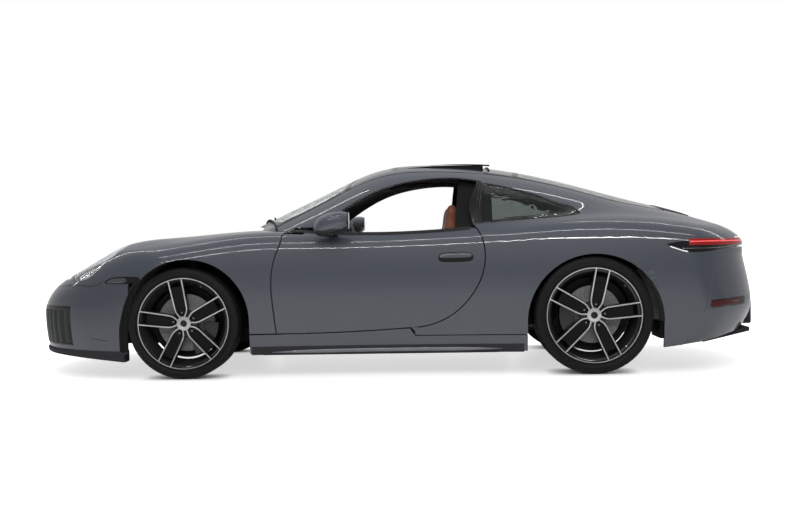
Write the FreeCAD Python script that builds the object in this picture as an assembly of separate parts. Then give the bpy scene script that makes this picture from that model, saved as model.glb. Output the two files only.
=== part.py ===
import FreeCAD, Part
import math
import os
import types

# Two-door coupe with its engine behind the rear axle
#
# Frame: X runs from the nose to the tail, Y to the car's right, Z up from the floor.
# The origin is on the floor, midway along the car. Lengths are millimetres.

Vector = FreeCAD.Vector
doc = FreeCAD.newDocument("coupe_car")
sheet = doc.addObject("Spreadsheet::Sheet", "sizes")

SIZES = (
    # overall
    ("front_overhang", 1027), ("wheelbase", 2450), ("rear_overhang", 1065),
    ("body_width", 1852), ("body_height", 1302),
    # gaps: seams between panels, round a door, at rest on a seat, at a butt joint, round moving parts
    ("seam_gap", 5.5), ("bonnet_inset", 4.4), ("door_gap", 6.5), ("fit_gap", 0.3),
    ("butt_gap", 0.6), ("running_gap", 6), ("overrun", 400),
    # body form
    ("shoulder_round", 100), ("rail_round", 120), ("nose_round", 120), ("tail_round", 60),
    ("waist_height", 580), ("under_tuck", 35), ("under_depth", 400),
    ("over_tuck", 55), ("over_depth", 330),
    ("crest_out", 650), ("crest_spread", 190), ("deck_crown", 35),
    ("belt_height", 890), ("belt_fade", 120), ("glass_bow_radius", 1111),
    ("roof_crown", 75), ("roof_reach", 600),
    ("corner_reach", 900), ("nose_sweep", 638), ("tail_sweep", 376),
    # where the body is looked at from inside, to find its skin
    ("side_hub_out", 330), ("side_hub_height", 470), ("rail_hub_out", 200),
    ("rail_hub_height", 780), ("nose_hub_back", 760), ("nose_hub_height", 300),
    ("tail_hub_ahead", 940), ("nose_fan", 86), ("nose_fan_low", -26), ("nose_fan_high", 50),
    ("tail_fan", 80), ("lip_fan", 84),
    # front pillars and door hinges
    ("pin_round", 9), ("pillar_long", 60), ("pillar_wide", 60), ("pillar_foot", 149),
    ("pillar_head", 800), ("hinge_low", 300), ("hinge_high", 600), ("hinge_length", 80),
    # walls of the panels
    ("wing_wall", 24), ("quarter_wall", 40), ("door_wall", 88), ("rail_wall", 42),
    ("roof_wall", 32), ("bonnet_wall", 30), ("lid_wall", 30), ("bumper_wall", 28),
    ("glass_wall", 6), ("lamp_wall", 60), ("sill_wall", 125), ("cowl_wall", 20), ("gutter_width", 30),
    ("tail_lamp_wall", 45), ("door_hinge_out", 795), ("bumper_top", 601),
    ("bonnet_hinge_height", 888), ("lid_hinge_height", 1006),
    ("lamp_long", 205), ("lamp_broad", 128), ("lamp_out", 662), ("lamp_height", 702),
    ("sunroof_wall", 22), ("sunroof_lift", 37), ("guard_round", 20),
    ("lip_reach", 20), ("lip_wall", 24), ("lip_height", 168), ("lip_sweep", 70),
    ("intake_inner", 420), ("intake_outer", 722), ("intake_foot", 196), ("intake_head", 438),
    ("slot_half_width", 330), ("slot_foot", 185), ("slot_head", 235), ("grille_wall", 12),
    ("guard_out", 330), ("guard_wide", 70), ("guard_deep", 60), ("guard_foot", 250),
    ("guard_head", 400), ("diffuser_half_width", 560), ("diffuser_foot", 150),
    ("diffuser_head", 216), ("diffuser_deep", 60), ("diffuser_long", 285),
    ("plate_inset", 16), ("plate_half_width", 270), ("plate_foot", 372), ("plate_head", 492),
    ("pipe_radius", 48), ("pipe_length", 150),
    ("pipe_out", 230), ("pipe_height", 292), ("pipe_wall", 4),
    # mirrors
    ("mirror_wide", 190), ("mirror_high", 160), ("mirror_deep", 300), ("mirror_out", 905),
    ("mirror_height", 912), ("mirror_foot_radius", 22),
    ("mirror_foot_out", 770), ("mirror_foot_root", 30), ("column_depth", 40),
    ("box_half_width", 380),
    # wheels and brakes
    ("front_track", 1589), ("rear_track", 1545),
    ("front_tyre_radius", 334), ("front_tyre_width", 245),
    ("rear_tyre_radius", 350), ("rear_tyre_width", 300),
    ("front_rim_radius", 270), ("rear_rim_radius", 283), ("rim_wall", 7), ("rim_flange", 16),
    ("tyre_shoulder", 34), ("tyre_bulge", 10), ("hub_radius", 76), ("hub_depth", 56),
    ("spoke_depth", 30), ("spoke_width", 92), ("spoke_slot", 46), ("spoke_dish", 34),
    ("spoke_face", 12), ("front_spoke_turn", 28), ("rear_spoke_turn", 7),
    ("axle_bore", 28), ("spoke_pinch", 8), ("rim_inset", 9),
    ("hub_inset", 76), ("disc_radius", 172), ("disc_wall", 32), ("disc_hat_radius", 84),
    ("disc_inset", 58), ("caliper_wall", 22), ("caliper_reach", 50), ("caliper_angle", 72),
    ("front_caliper_start", -28), ("rear_caliper_start", 152), ("spindle_radius", 26),
    ("spindle_gap", 0.05), ("knuckle_wall", 70),
    ("front_arch_radius", 372), ("front_arch_shift", 20), ("front_arch_lift", 11),
    ("rear_arch_radius", 403), ("rear_arch_shift", 10), ("rear_arch_drop", 38),
    ("liner_space", 26), ("liner_wall", 5), ("front_liner_in", 452), ("rear_liner_in", 606),
    ("liner_trim", 66), ("liner_drop", 60), ("tower_half", 75),
    # chassis
    ("pan_bottom", 122), ("pan_wall", 26), ("pan_half_width", 742), ("tunnel_half_width", 120),
    ("tunnel_height", 150), ("tub_half_width", 395), ("tub_bottom", 175), ("tub_wall", 22),
    ("tub_top", 590), ("bulkhead_wall", 26), ("bulkhead_top", 800), ("bulkhead_half_width", 640),
    ("rear_floor_half_width", 560),
    ("arm_height", 190), ("arm_wall", 26), ("arm_width", 60), ("arm_spread", 140),
    ("damper_radius", 26), ("spring_radius", 42), ("damper_out", 572), ("damper_foot", 430),
    ("damper_top", 735), ("spring_foot", 500),
    ("kingpin_out", 720), ("knuckle_half", 46), ("knuckle_high", 110), ("pin_radius", 26),
    ("engine_length", 520), ("engine_width", 840), ("engine_height", 400), ("engine_foot", 205),
    ("engine_back", 190), ("gearbox_length", 560), ("gearbox_width", 280),
    ("edge_round", 30),
    # cabin
    ("seat_out", 375), ("seat_width", 440), ("seat_length", 520), ("seat_base", 250),
    ("cushion_top", 470), ("back_wall", 120), ("back_top", 900), ("back_lean", 170),
    ("head_width", 280), ("head_top", 1045), ("seat_round", 40),
    ("dash_depth", 320), ("dash_foot", 590), ("dash_top", 850), ("dash_half_width", 640),
    ("dash_round", 60), ("ring_radius", 180), ("ring_wall", 15), ("ring_height", 745),
    ("ring_back", 222), ("column_radius", 26), ("ring_hub_radius", 70), ("ring_hub_wall", 40),
    ("spoke_bar", 24), ("console_width", 200), ("console_top", 470), ("console_length", 900),
    ("rear_cushion_top", 560), ("rear_back_top", 830), ("rear_seat_width", 440),
    ("rear_back_wall", 90),
)

for row, (alias, value) in enumerate(SIZES, 1):
    cell = "A%d" % row
    sheet.set(cell, str(value))
    sheet.setAlias(cell, alias)
doc.recompute()
size = types.SimpleNamespace(**{alias: float(sheet.get(alias)) for alias, value in SIZES})

# Stations along the car: -1 at the nose, 0 and 1 at the axles, 2 at the tail
nose_x = -(size.front_overhang + size.wheelbase + size.rear_overhang) / 2
front_axle = nose_x + size.front_overhang
rear_axle = front_axle + size.wheelbase
tail_x = rear_axle + size.rear_overhang
half_width = size.body_width / 2


def station(share):
    if share < 0:
        return front_axle + share * size.front_overhang
    if share < 1:
        return front_axle + share * size.wheelbase
    return rear_axle + (share - 1) * size.rear_overhang


def side_points(shares):
    return [Vector(station(along), 0, up * size.body_height) for along, up in shares]


def plan_points(shares):
    return [Vector(station(along), out * half_width, 0) for along, out in shares]


# Profiles of the body form: station share against height or half-width share
ROOF_SHARES = ((0.100, 0.661), (0.161, 0.714), (0.255, 0.796), (0.357, 0.885),
               (0.439, 0.955), (0.500, 0.987), (0.590, 1.000), (0.684, 0.994),
               (0.790, 0.971), (0.920, 0.921), (1.192, 0.837), (1.568, 0.743),
               (1.793, 0.672), (1.962, 0.611))
DECK_SHARES = ((-0.998, 0.376), (-0.852, 0.449), (-0.696, 0.503), (-0.511, 0.549),
               (-0.268, 0.595), (0.000, 0.636), (0.092, 0.664), (0.173, 0.682),
               (0.296, 0.687), (0.500, 0.689), (0.663, 0.699), (0.827, 0.717),
               (0.990, 0.733), (1.352, 0.718), (1.634, 0.680), (1.822, 0.641),
               (1.962, 0.607))
CREST_SHARES = ((-0.852, 0.000), (-0.657, 0.008), (-0.511, 0.035), (-0.365, 0.058),
                (-0.219, 0.054), (-0.024, 0.035), (0.092, 0.019), (0.173, 0.009),
                (0.296, 0.000), (0.500, 0.000))
FLANK_SHARES = ((-0.998, 0.972), (-0.560, 0.977), (0.000, 0.996), (0.173, 0.964),
                (0.378, 0.937), (0.582, 0.937), (0.745, 0.959), (0.908, 0.991),
                (1.000, 1.000), (1.352, 0.996), (1.634, 0.977), (1.962, 0.950))
GLASS_SHARES = ((0.133, 0.745), (0.296, 0.821), (0.418, 0.853), (0.582, 0.864),
                (0.745, 0.864), (0.908, 0.837), (1.164, 0.788), (1.540, 0.724),
                (1.915, 0.648))
FILLET_SHARES = ((0.092, 0.015), (0.704, 0.023), (0.867, 0.038), (0.990, 0.061),
                 (1.352, 0.108), (1.915, 0.108))
NOSE_SHARES = ((0.038, 0.078), (0.115, 0.029), (0.192, 0.008), (0.307, 0.000),
               (0.384, 0.012), (0.461, 0.049), (0.614, 0.195))
TAIL_SHARES = ((0.077, 0.282), (0.115, 0.188), (0.154, 0.103), (0.207, 0.038),
               (0.276, 0.000), (0.384, 0.005), (0.476, 0.028), (0.538, 0.042),
               (0.599, 0.047), (0.653, 0.094), (0.768, 0.282))
GLASS_LEAN_SHARE = 0.52
NOSE_POWER_SHARE = 3.55
TAIL_POWER_SHARE = 3.82


def fair_curve(points):
    """A natural cubic spline through points, straight beyond its two ends."""
    xs = [p[0] for p in points]
    ys = [p[1] for p in points]
    count = len(xs)
    gaps = [xs[i + 1] - xs[i] for i in range(count - 1)]
    bend = [0.0] * count
    upper = [0.0] * count
    for i in range(1, count - 1):
        slope_after = (ys[i + 1] - ys[i]) / gaps[i]
        slope_before = (ys[i] - ys[i - 1]) / gaps[i - 1]
        pivot = 2 * (gaps[i - 1] + gaps[i]) - gaps[i - 1] * upper[i - 1]
        upper[i] = gaps[i] / pivot
        bend[i] = (6 * (slope_after - slope_before) - gaps[i - 1] * bend[i - 1]) / pivot
    for i in range(count - 2, 0, -1):
        bend[i] -= upper[i] * bend[i + 1]

    def value(x):
        inside = min(max(x, xs[0]), xs[-1])
        k = 0
        while k < count - 2 and inside > xs[k + 1]:
            k += 1
        gap = gaps[k]
        a = (xs[k + 1] - inside) / gap
        b = (inside - xs[k]) / gap
        bow = (a ** 3 - a) * bend[k] + (b ** 3 - b) * bend[k + 1]
        level = a * ys[k] + b * ys[k + 1] + bow * gap * gap / 6
        if x == inside:
            return level
        pull = (3 * b * b - 1) * bend[k + 1] - (3 * a * a - 1) * bend[k]
        return level + (x - inside) * ((ys[k + 1] - ys[k]) / gap + pull * gap / 6)

    return value


def along_car(shares, scale):
    return fair_curve([(station(along), level * scale) for along, level in shares])


def up_car(shares, scale):
    return fair_curve([(up * size.body_height, level * scale) for up, level in shares])


roof_line = along_car(ROOF_SHARES, size.body_height)
deck_line = along_car(DECK_SHARES, size.body_height)
crest_rise = along_car(CREST_SHARES, size.body_height)
flank_line = along_car(FLANK_SHARES, half_width)
glass_line = along_car(GLASS_SHARES, half_width)
fillet_line = along_car(FILLET_SHARES, size.body_height)
nose_line = up_car(NOSE_SHARES, size.front_overhang)
tail_line = up_car(TAIL_SHARES, size.rear_overhang)


def smooth_max(a, b, radius):
    overlap = max(radius - abs(a - b), 0.0) / radius
    return max(a, b) + overlap * overlap * radius / 4


def lower_body(x, y, z):
    """How far a point is outside the bonnet, flanks and tail, without the glasshouse."""
    out = abs(y)
    rise = z - size.waist_height
    if rise < 0:
        tuck = size.under_tuck * (rise / size.under_depth) ** 2
    else:
        tuck = size.over_tuck * (rise / size.over_depth) ** 2
    side = out - flank_line(x) + tuck
    bump = math.exp(-((out - size.crest_out) / size.crest_spread) ** 2)
    top = z - deck_line(x) - crest_rise(x) * bump + size.deck_crown * (out / half_width) ** 2
    body = smooth_max(side, top, size.shoulder_round)
    sweep = size.nose_sweep * (out / size.corner_reach) ** NOSE_POWER_SHARE
    nose = nose_x + sweep + nose_line(z) - x
    return smooth_max(body, nose, size.nose_round)


def tail_face(x, y, z):
    sweep = size.tail_sweep * (abs(y) / size.corner_reach) ** TAIL_POWER_SHARE
    return x - (tail_x - sweep - tail_line(z))


def glasshouse(x, y, z):
    """How far a point is outside the roof, windscreen, rear window and side glass."""
    out = abs(y)
    rise = z - size.belt_height
    below = min(max(-rise, 0.0), size.belt_fade)
    bow = max(rise, 0.0) ** 2 / size.glass_bow_radius / 2
    lean = max(rise, 0.0) - below + below * below / size.belt_fade / 2
    side = out - glass_line(x) + GLASS_LEAN_SHARE * lean + bow
    top = z - roof_line(x) + size.roof_crown * (out / size.roof_reach) ** 2
    return smooth_max(side, top, size.rail_round)


def whole_body(x, y, z):
    joined = -smooth_max(-lower_body(x, y, z), -glasshouse(x, y, z), fillet_line(x))
    return smooth_max(joined, tail_face(x, y, z), size.tail_round)


def low_and_tail(x, y, z):
    return smooth_max(lower_body(x, y, z), tail_face(x, y, z), size.tail_round)


def cast(field, start, aim):
    """The point where a ray from inside the body leaves it."""
    near = 0.0
    far = size.body_width
    for _ in range(26):
        middle = (near + far) / 2
        spot = start + aim * middle
        if field(spot.x, spot.y, spot.z) < 0:
            near = middle
        else:
            far = middle
    return start + aim * near


def steps(first, last, count):
    return [first + (last - first) * i / (count - 1) for i in range(count)]


def skin_surface(grid):
    surface = Part.BSplineSurface()
    surface.interpolate(grid)
    return surface


def wall_of(field, rays, wall):
    """A solid wall under the skin that a grid of rays finds, as deep as wall along each ray."""
    outer = [[cast(field, start, aim) for start, aim in row] for row in rays]
    inner = [[spot - rays[i][j][1] * wall for j, spot in enumerate(row)]
             for i, row in enumerate(outer)]
    over = skin_surface(outer)
    under = skin_surface(inner)
    faces = [over.toShape(), under.toShape()]
    for edge in range(4):
        pair = []
        for surface in (over, under):
            u0, u1, v0, v1 = surface.bounds()
            curve = (surface.uIso(u0), surface.uIso(u1), surface.vIso(v0), surface.vIso(v1))[edge]
            pair.append(curve.toShape())
        faces.append(Part.makeRuledSurface(pair[0], pair[1]))
    shell = Part.makeShell([face for shape in faces for face in shape.Faces])
    shell.sewShape()
    solid = Part.Solid(shell)
    if solid.Volume < 0:
        solid.reverse()
    return solid


def ring_rays(x_first, x_last, low, high, hub_out, hub_height, nx, na):
    """Rays that fan round a line along the car, on its right."""
    rows = []
    for x in steps(x_first, x_last, nx):
        start = Vector(x, hub_out, hub_height)
        turns = [math.radians(a) for a in steps(low, high, na)]
        rows.append([(start, Vector(0, math.cos(a), math.sin(a))) for a in turns])
    return rows


def rising_rays(x_first, x_last, reach, foot, nx, ny):
    """Upright rays over a rectangle of the plan."""
    rows = []
    for x in steps(x_first, x_last, nx):
        rows.append([(Vector(x, y, foot), Vector(0, 0, 1)) for y in steps(-reach, reach, ny)])
    return rows


def nose_rays(reach, low, high, na, ne):
    """Rays that fan out over the nose, upward as well as sideways."""
    start = Vector(nose_x + size.nose_hub_back, 0, size.nose_hub_height)
    rows = []
    for turn in steps(-reach, reach, na):
        a = math.radians(turn)
        row = []
        for lift in steps(low, high, ne):
            e = math.radians(lift)
            row.append((start, Vector(-math.cos(a) * math.cos(e), math.sin(a) * math.cos(e),
                                      math.sin(e))))
        rows.append(row)
    return rows


def tail_rays(reach, foot, head, na, nz):
    """Level rays that fan out over the tail."""
    rows = []
    for turn in steps(-reach, reach, na):
        a = math.radians(turn)
        aim = Vector(math.cos(a), math.sin(a), 0)
        hub = tail_x - size.tail_hub_ahead
        rows.append([(Vector(hub, 0, z), aim) for z in steps(foot, head, nz)])
    return rows


# Outlines: a closed chain of runs; a run of two points is straight, a longer one is a fair curve


def run_edge(points):
    if len(points) == 2:
        return Part.LineSegment(points[0], points[1]).toShape()
    curve = Part.BSplineCurve()
    curve.interpolate(points)
    return curve.toShape()


def straight_runs(points):
    return [[points[i], points[i + 1]] for i in range(len(points) - 1)]


def closed_wire(runs):
    return Part.Wire([run_edge(run) for run in runs])


def widened(runs, gap, axis):
    """The closed runs moved outward by gap, or inward by a gap below zero."""
    sampled = []
    for run in runs:
        if len(run) == 2:
            sampled.append(list(run))
        else:
            sampled.append(run_edge(run).discretize(4 * len(run)))
    count = len(sampled)
    loop = [spot for points in sampled for spot in points]
    swept = sum(loop[i - 1].cross(loop[i]).dot(axis) for i in range(len(loop)))
    if swept < 0:
        gap = -gap
    moved = []
    for k, points in enumerate(sampled):
        result = []
        last = len(points) - 1
        for i, spot in enumerate(points):
            if i == 0:
                before = sampled[k - 1][-1] - sampled[k - 1][-2]
            else:
                before = spot - points[i - 1]
            if i == last:
                following = sampled[(k + 1) % count]
                after = following[1] - following[0]
            else:
                after = points[i + 1] - spot
            a = before.normalize().cross(axis)
            b = after.normalize().cross(axis)
            result.append(spot + (a + b) * (gap / (1 + a.dot(b))))
        moved.append(result)
    return moved


def side_prism(runs, gap=0.0, first=0.0, last=None):
    """What a side outline covers on the car's right."""
    if gap:
        runs = widened(runs, gap, Vector(0, 1, 0))
    wide = (half_width + size.overrun if last is None else last) - first
    wire = closed_wire(runs)
    wire.translate(Vector(0, first, 0))
    return Part.Face(wire).extrude(Vector(0, wide, 0))


def plan_prism(runs, gap=0.0):
    if gap:
        runs = widened(runs, gap, Vector(0, 0, -1))
    return Part.Face(closed_wire(runs)).extrude(Vector(0, 0, size.body_height + size.overrun))


def block(x0, x1, y0, y1, z0, z1):
    return Part.makeBox(x1 - x0, y1 - y0, z1 - z0, Vector(x0, y0, z0))


def drum(radius, start, aim, length):
    return Part.makeCylinder(radius, length, start, aim)


def mirrored(shape):
    return shape.mirror(Vector(0, 0, 0), Vector(0, 1, 0))


# Profiles: closed polygons in a plane, turned or drawn out


def polygon(points):
    return Part.Face(Part.makePolygon(points + [points[0]]))


def side_plate(corners, first, last):
    """A side profile, in x and z, drawn out across the car."""
    face = polygon([Vector(x, first, z) for x, z in corners])
    return face.extrude(Vector(0, last - first, 0))


def turned(corners, centre, outboard, angle=360.0, start=0.0):
    """A profile of radius and depth outboard, turned about an axle."""
    face = polygon([Vector(centre.x + radius, centre.y + outboard * depth, centre.z)
                    for radius, depth in corners])
    solid = face.revolve(centre, across, angle)
    solid.rotate(centre, across, start)
    return solid


def rounded(solid, radius, keep_edge):
    edges = [edge for edge in solid.Edges if keep_edge(edge)]
    return solid.makeFillet(radius, edges) if edges else solid


def along(edge, axis):
    first, last = edge.Vertexes[0].Point, edge.Vertexes[-1].Point
    return len(edge.Vertexes) == 2 and abs((last - first).normalize().dot(axis)) > 0.99


# Side outlines, in station and height shares
DOOR_FRONT_SHARES = ((0.253, 0.668), (0.224, 0.533), (0.217, 0.427), (0.221, 0.312),
                     (0.227, 0.203))
DOOR_FOOT_SHARES = ((0.180, 0.203), (0.227, 0.203), (0.456, 0.212), (0.553, 0.223))
DOOR_REAR_SHARES = ((0.553, 0.223), (0.627, 0.251), (0.664, 0.291), (0.700, 0.359),
                    (0.725, 0.436), (0.737, 0.518), (0.736, 0.591), (0.727, 0.647),
                    (0.709, 0.693))
DOOR_LEDGE_SHARES = ((0.709, 0.693), (0.700, 0.760), (0.180, 0.760), (0.180, 0.203))
DOOR_HINGE_SHARE = 0.263
WING_SHARES = ((-0.740, 0.458), (-0.100, 0.458), (0.020, 0.350), (0.100, 0.203),
               (0.263, 0.203), (0.263, 0.760), (-0.740, 0.760), (-0.740, 0.458))
SILL_SHARES = ((0.150, 0.108), (0.850, 0.108), (0.850, 0.182), (0.566, 0.182),
               (0.553, 0.217), (0.227, 0.197), (0.150, 0.197), (0.150, 0.108))
QUARTER_SHARES = ((0.566, 0.186), (0.850, 0.186), (1.250, 0.460), (1.360, 0.505),
                  (1.450, 0.545), (1.500, 0.560), (1.600, 0.590), (1.900, 0.590),
                  (1.900, 0.980), (0.700, 0.980), (0.620, 0.690), (0.566, 0.250),
                  (0.566, 0.186))
RAIL_LOWER_SHARES = ((0.268, 0.690), (0.330, 0.690), (0.381, 0.757), (0.431, 0.816),
                     (0.482, 0.862), (0.533, 0.891), (0.608, 0.912), (0.683, 0.912),
                     (0.733, 0.897))
RAIL_BACK_SHARES = ((0.733, 0.897), (0.745, 0.980), (0.740, 1.040), (0.180, 1.040),
                    (0.180, 0.640), (0.246, 0.640), (0.268, 0.690))
QUARTER_GLASS_TOP_SHARES = ((0.742, 0.886), (0.783, 0.873), (0.833, 0.848), (0.882, 0.818),
                            (0.932, 0.782), (0.969, 0.755), (0.977, 0.738))
QUARTER_GLASS_FOOT_SHARES = ((0.977, 0.738), (0.966, 0.733), (0.924, 0.723), (0.827, 0.711),
                             (0.716, 0.698))
QUARTER_GLASS_FRONT_SHARES = ((0.716, 0.698), (0.742, 0.886))
POST_SHARES = ((0.690, 0.690), (0.727, 0.900), (0.300, 0.900), (0.300, 0.690),
               (0.690, 0.690))
TAIL_LAMP_TOP_SHARES = ((1.404, 0.588), (1.510, 0.602), (1.640, 0.610), (1.800, 0.612),
                        (2.100, 0.612))
TAIL_LAMP_FOOT_SHARES = ((2.100, 0.574), (1.800, 0.567), (1.680, 0.556), (1.560, 0.549),
                         (1.480, 0.556), (1.404, 0.588))
BUMPER_SHARES = ((1.150, 0.112), (1.404, 0.118), (1.500, 0.128), (1.604, 0.138),
                 (1.715, 0.153), (1.800, 0.168), (2.100, 0.190), (2.100, 0.570),
                 (1.500, 0.560), (1.450, 0.545), (1.360, 0.505), (1.250, 0.460),
                 (1.150, 0.460), (1.150, 0.112))
FRONT_BUMPER_SHARES = ((-1.100, 0.140), (-0.800, 0.125), (-0.400, 0.118), (-0.200, 0.118),
                       (-0.200, 0.458), (-1.100, 0.458), (-1.100, 0.140))

# Plan outlines, in station and half-width shares
ROOF_EDGE_SHARES = ((0.222, 0.705), (0.303, 0.675), (0.380, 0.632), (0.444, 0.589),
                    (0.500, 0.562), (0.622, 0.551), (0.745, 0.556), (0.908, 0.572),
                    (1.164, 0.599), (1.446, 0.621))
SCREEN_FOOT_SHARES = ((0.222, 0.705), (0.182, 0.470), (0.154, 0.220), (0.147, 0.000))
SCREEN_HEAD_SHARES = ((0.405, 0.616), (0.418, 0.330), (0.424, 0.000))
BACKLIGHT_HEAD_SHARES = ((0.815, 0.562), (0.824, 0.300), (0.829, 0.000))
BACKLIGHT_FOOT_SHARES = ((1.446, 0.621), (1.462, 0.330), (1.468, 0.000))
LID_EDGE_SHARES = ((1.446, 0.621), (1.530, 0.660), (1.634, 0.702), (1.760, 0.715),
                   (1.870, 0.690))
LID_END_SHARES = ((1.870, 0.690), (1.915, 0.420), (1.925, 0.000))
BONNET_EDGE_SHARES = ((-0.800, 0.440), (-0.609, 0.524), (-0.365, 0.572), (0.010, 0.621),
                      (0.173, 0.664))
BONNET_END_SHARES = ((0.173, 0.664), (0.150, 0.420), (0.134, 0.200), (0.130, 0.000))
BONNET_NOSE_SHARES = ((-0.900, 0.000), (-0.880, 0.250), (-0.800, 0.440))
COWL_REACH_SHARE = 0.74
BONNET_REACH_SHARE = 0.72
BUMPER_FOOT_SHARE = 0.10
BUMPER_HEAD_SHARE = 0.64
TAIL_LAMP_FOOT_SHARE = 0.50
TAIL_LAMP_HEAD_SHARE = 0.66
PAN_FIRST_SHARE = 0.185
SCREEN_SIDE_SHARES = ((0.173, 0.664), (0.231, 0.752), (0.300, 0.800))
SUNROOF_FIRST_SHARE = 0.508
SUNROOF_LAST_SHARE = 0.764
SUNROOF_OUT_SHARE = 0.455
BONNET_HINGE_SHARE = 0.184
LID_HINGE_SHARE = 1.440


def both_sides(run):
    """A plan run that starts on the right and ends on the centre line, carried on to the left."""
    other = [Vector(p.x, -p.y, p.z) for p in reversed(run[:-1])]
    return run + other


def part_of_run(shares, first, last):
    """The stretch of a plan curve between two stations, as five points on the same curve."""
    curve = fair_curve([(station(a), out * half_width) for a, out in shares])
    return [Vector(x, curve(x), 0) for x in steps(station(first), station(last), 5)]


def left_of(run):
    return [Vector(p.x, -p.y, p.z) for p in run]


def top_region(front, edge, back):
    """A closed plan outline: across the front, down the right, across the back, up the left."""
    return [both_sides(front)[::-1], edge, both_sides(back), left_of(edge)[::-1]]


screen_foot = plan_points(SCREEN_FOOT_SHARES)
screen_head = plan_points(SCREEN_HEAD_SHARES)
screen_edge = part_of_run(ROOF_EDGE_SHARES, 0.222, 0.405)
roof_edge = part_of_run(ROOF_EDGE_SHARES, 0.405, 0.815)
back_edge = part_of_run(ROOF_EDGE_SHARES, 0.815, 1.446)
back_head = plan_points(BACKLIGHT_HEAD_SHARES)
back_foot = plan_points(BACKLIGHT_FOOT_SHARES)
lid_edge = plan_points(LID_EDGE_SHARES)
lid_end = plan_points(LID_END_SHARES)
bonnet_edge = plan_points(BONNET_EDGE_SHARES)
bonnet_end = plan_points(BONNET_END_SHARES)
bonnet_nose = plan_points(BONNET_NOSE_SHARES)[::-1]
for join, edge in ((screen_head, screen_edge), (screen_head, roof_edge)):
    edge[-1 if edge is screen_edge else 0] = join[0]
roof_edge[-1] = back_head[0]
back_edge[0] = back_head[0]
back_edge[-1] = back_foot[0]
screen_edge[0] = screen_foot[0]

screen_region = top_region(screen_foot, screen_edge, screen_head)
roof_region = top_region(screen_head, roof_edge, back_head)
back_region = top_region(back_head, back_edge, back_foot)
lid_region = top_region(back_foot, lid_edge, lid_end)
bonnet_region = top_region(bonnet_nose, bonnet_edge, bonnet_end)
cowl_back = [p + Vector(-size.running_gap, 0, 0) for p in screen_foot]
cowl_region = [both_sides(bonnet_end)[::-1], [bonnet_end[0], cowl_back[0]],
               both_sides(cowl_back), [left_of(cowl_back)[0], left_of(bonnet_end)[0]]]
half_gap = size.seam_gap / 2

# Arches and lamps, cut through the panels round them
front_arch = Vector(front_axle + size.front_arch_shift, 0,
                    size.front_tyre_radius + size.front_arch_lift)
rear_arch = Vector(rear_axle + size.rear_arch_shift, 0,
                   size.rear_tyre_radius - size.rear_arch_drop)
across = Vector(0, 1, 0)
upward = Vector(0, 0, 1)


def arch_cut(centre, radius):
    """An arch opening: round above its centre and straight down below it."""
    width = size.body_width + size.overrun
    first = Vector(centre.x, -width / 2, centre.z)
    round_part = drum(radius, first, across, width)
    lower = block(centre.x - radius, centre.x + radius, -width / 2, width / 2, 0, centre.z)
    return round_part.fuse(lower)


front_arch_cut = arch_cut(front_arch, size.front_arch_radius)
rear_arch_cut = arch_cut(rear_arch, size.rear_arch_radius)

LAMP_STATION_SHARE = -0.525
LAMP_AIM_SHARES = (-0.50, 0.20, 0.84)
LAMP_RISE_SHARES = (0.86, 0.00, 0.50)


def lamp_column(extra):
    """An oval column along the way the right headlamp looks."""
    aim = Vector(*LAMP_AIM_SHARES).normalize()
    rise = Vector(*LAMP_RISE_SHARES)
    rise = (rise - aim * rise.dot(aim)).normalize()
    centre = Vector(station(LAMP_STATION_SHARE), size.lamp_out, size.lamp_height)
    oval = Part.Ellipse(centre + rise * (size.lamp_long + extra),
                        centre + aim.cross(rise) * (size.lamp_broad + extra), centre)
    disc = Part.Face(Part.Wire(oval.toShape()))
    disc.translate(aim * -size.overrun)
    return disc.extrude(aim * 2 * size.overrun)


lamp_cut = lamp_column(size.butt_gap)
lamp_cuts = lamp_cut.fuse(mirrored(lamp_cut))

# Doors turn about an upright axis behind their front seam, so that seam is round about it
door_hinge = Vector(station(DOOR_HINGE_SHARE), size.door_hinge_out, 0)


def door_swing(extra):
    """The round body that a door's front edge keeps to as it turns."""
    seam = side_points(DOOR_FRONT_SHARES)
    curve = fair_curve([(p.z, p.x) for p in reversed(seam)])
    profile = []
    for z in steps(seam[-1].z - size.running_gap, seam[0].z, 9):
        skin = cast(lower_body, Vector(curve(z), 0, z), across)
        reach = math.hypot(door_hinge.x - skin.x, door_hinge.y - skin.y) + extra
        profile.append(Vector(door_hinge.x + reach, door_hinge.y, z))
    foot = Vector(profile[0].x, door_hinge.y, 0)
    head = Vector(profile[-1].x, door_hinge.y, size.body_height)
    axis_foot = Vector(door_hinge.x, door_hinge.y, 0)
    axis_head = Vector(door_hinge.x, door_hinge.y, size.body_height)
    runs = [[axis_foot, foot], [foot, profile[0]], profile, [profile[-1], head],
            [head, axis_head], [axis_head, axis_foot]]
    return Part.Face(closed_wire(runs)).revolve(axis_foot, upward, 360)


door_foot = side_points(DOOR_FOOT_SHARES)
door_outline = [door_foot[:2], door_foot[1:], side_points(DOOR_REAR_SHARES)]
door_outline += straight_runs(side_points(DOOR_LEDGE_SHARES))
door_area = side_prism(door_outline)
door_clear = side_prism(door_outline, size.door_gap)
behind_hinge = block(door_hinge.x, station(1), 0, size.body_width, 0, size.body_height)
ahead_clear = block(station(-1), door_hinge.x, 0, size.body_width, 0, size.body_height)

TUB_FIRST_SHARE = -0.740
SEAT_SHARE = 0.415
MIRROR_SHARE = 0.384
RING_LEAN_SHARE = 0.220
REAR_FLOOR_SHARES = ((0.772, 0.100), (0.772, 0.360), (0.930, 0.360), (1.000, 0.660),
                     (1.440, 0.690))

parts = {}


def keep(name, shape):
    """Stores a piece as a document object whose label names its file."""
    feature = doc.addObject("Part::Feature", name)
    feature.Label = name
    feature.Shape = shape
    feature.Placement = FreeCAD.Placement()
    parts[name] = feature
    return feature


def main_solid(shape):
    """The largest solid of a cut, without the slivers that the cut leaves."""
    return max(shape.Solids, key=lambda solid: solid.Volume)


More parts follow.
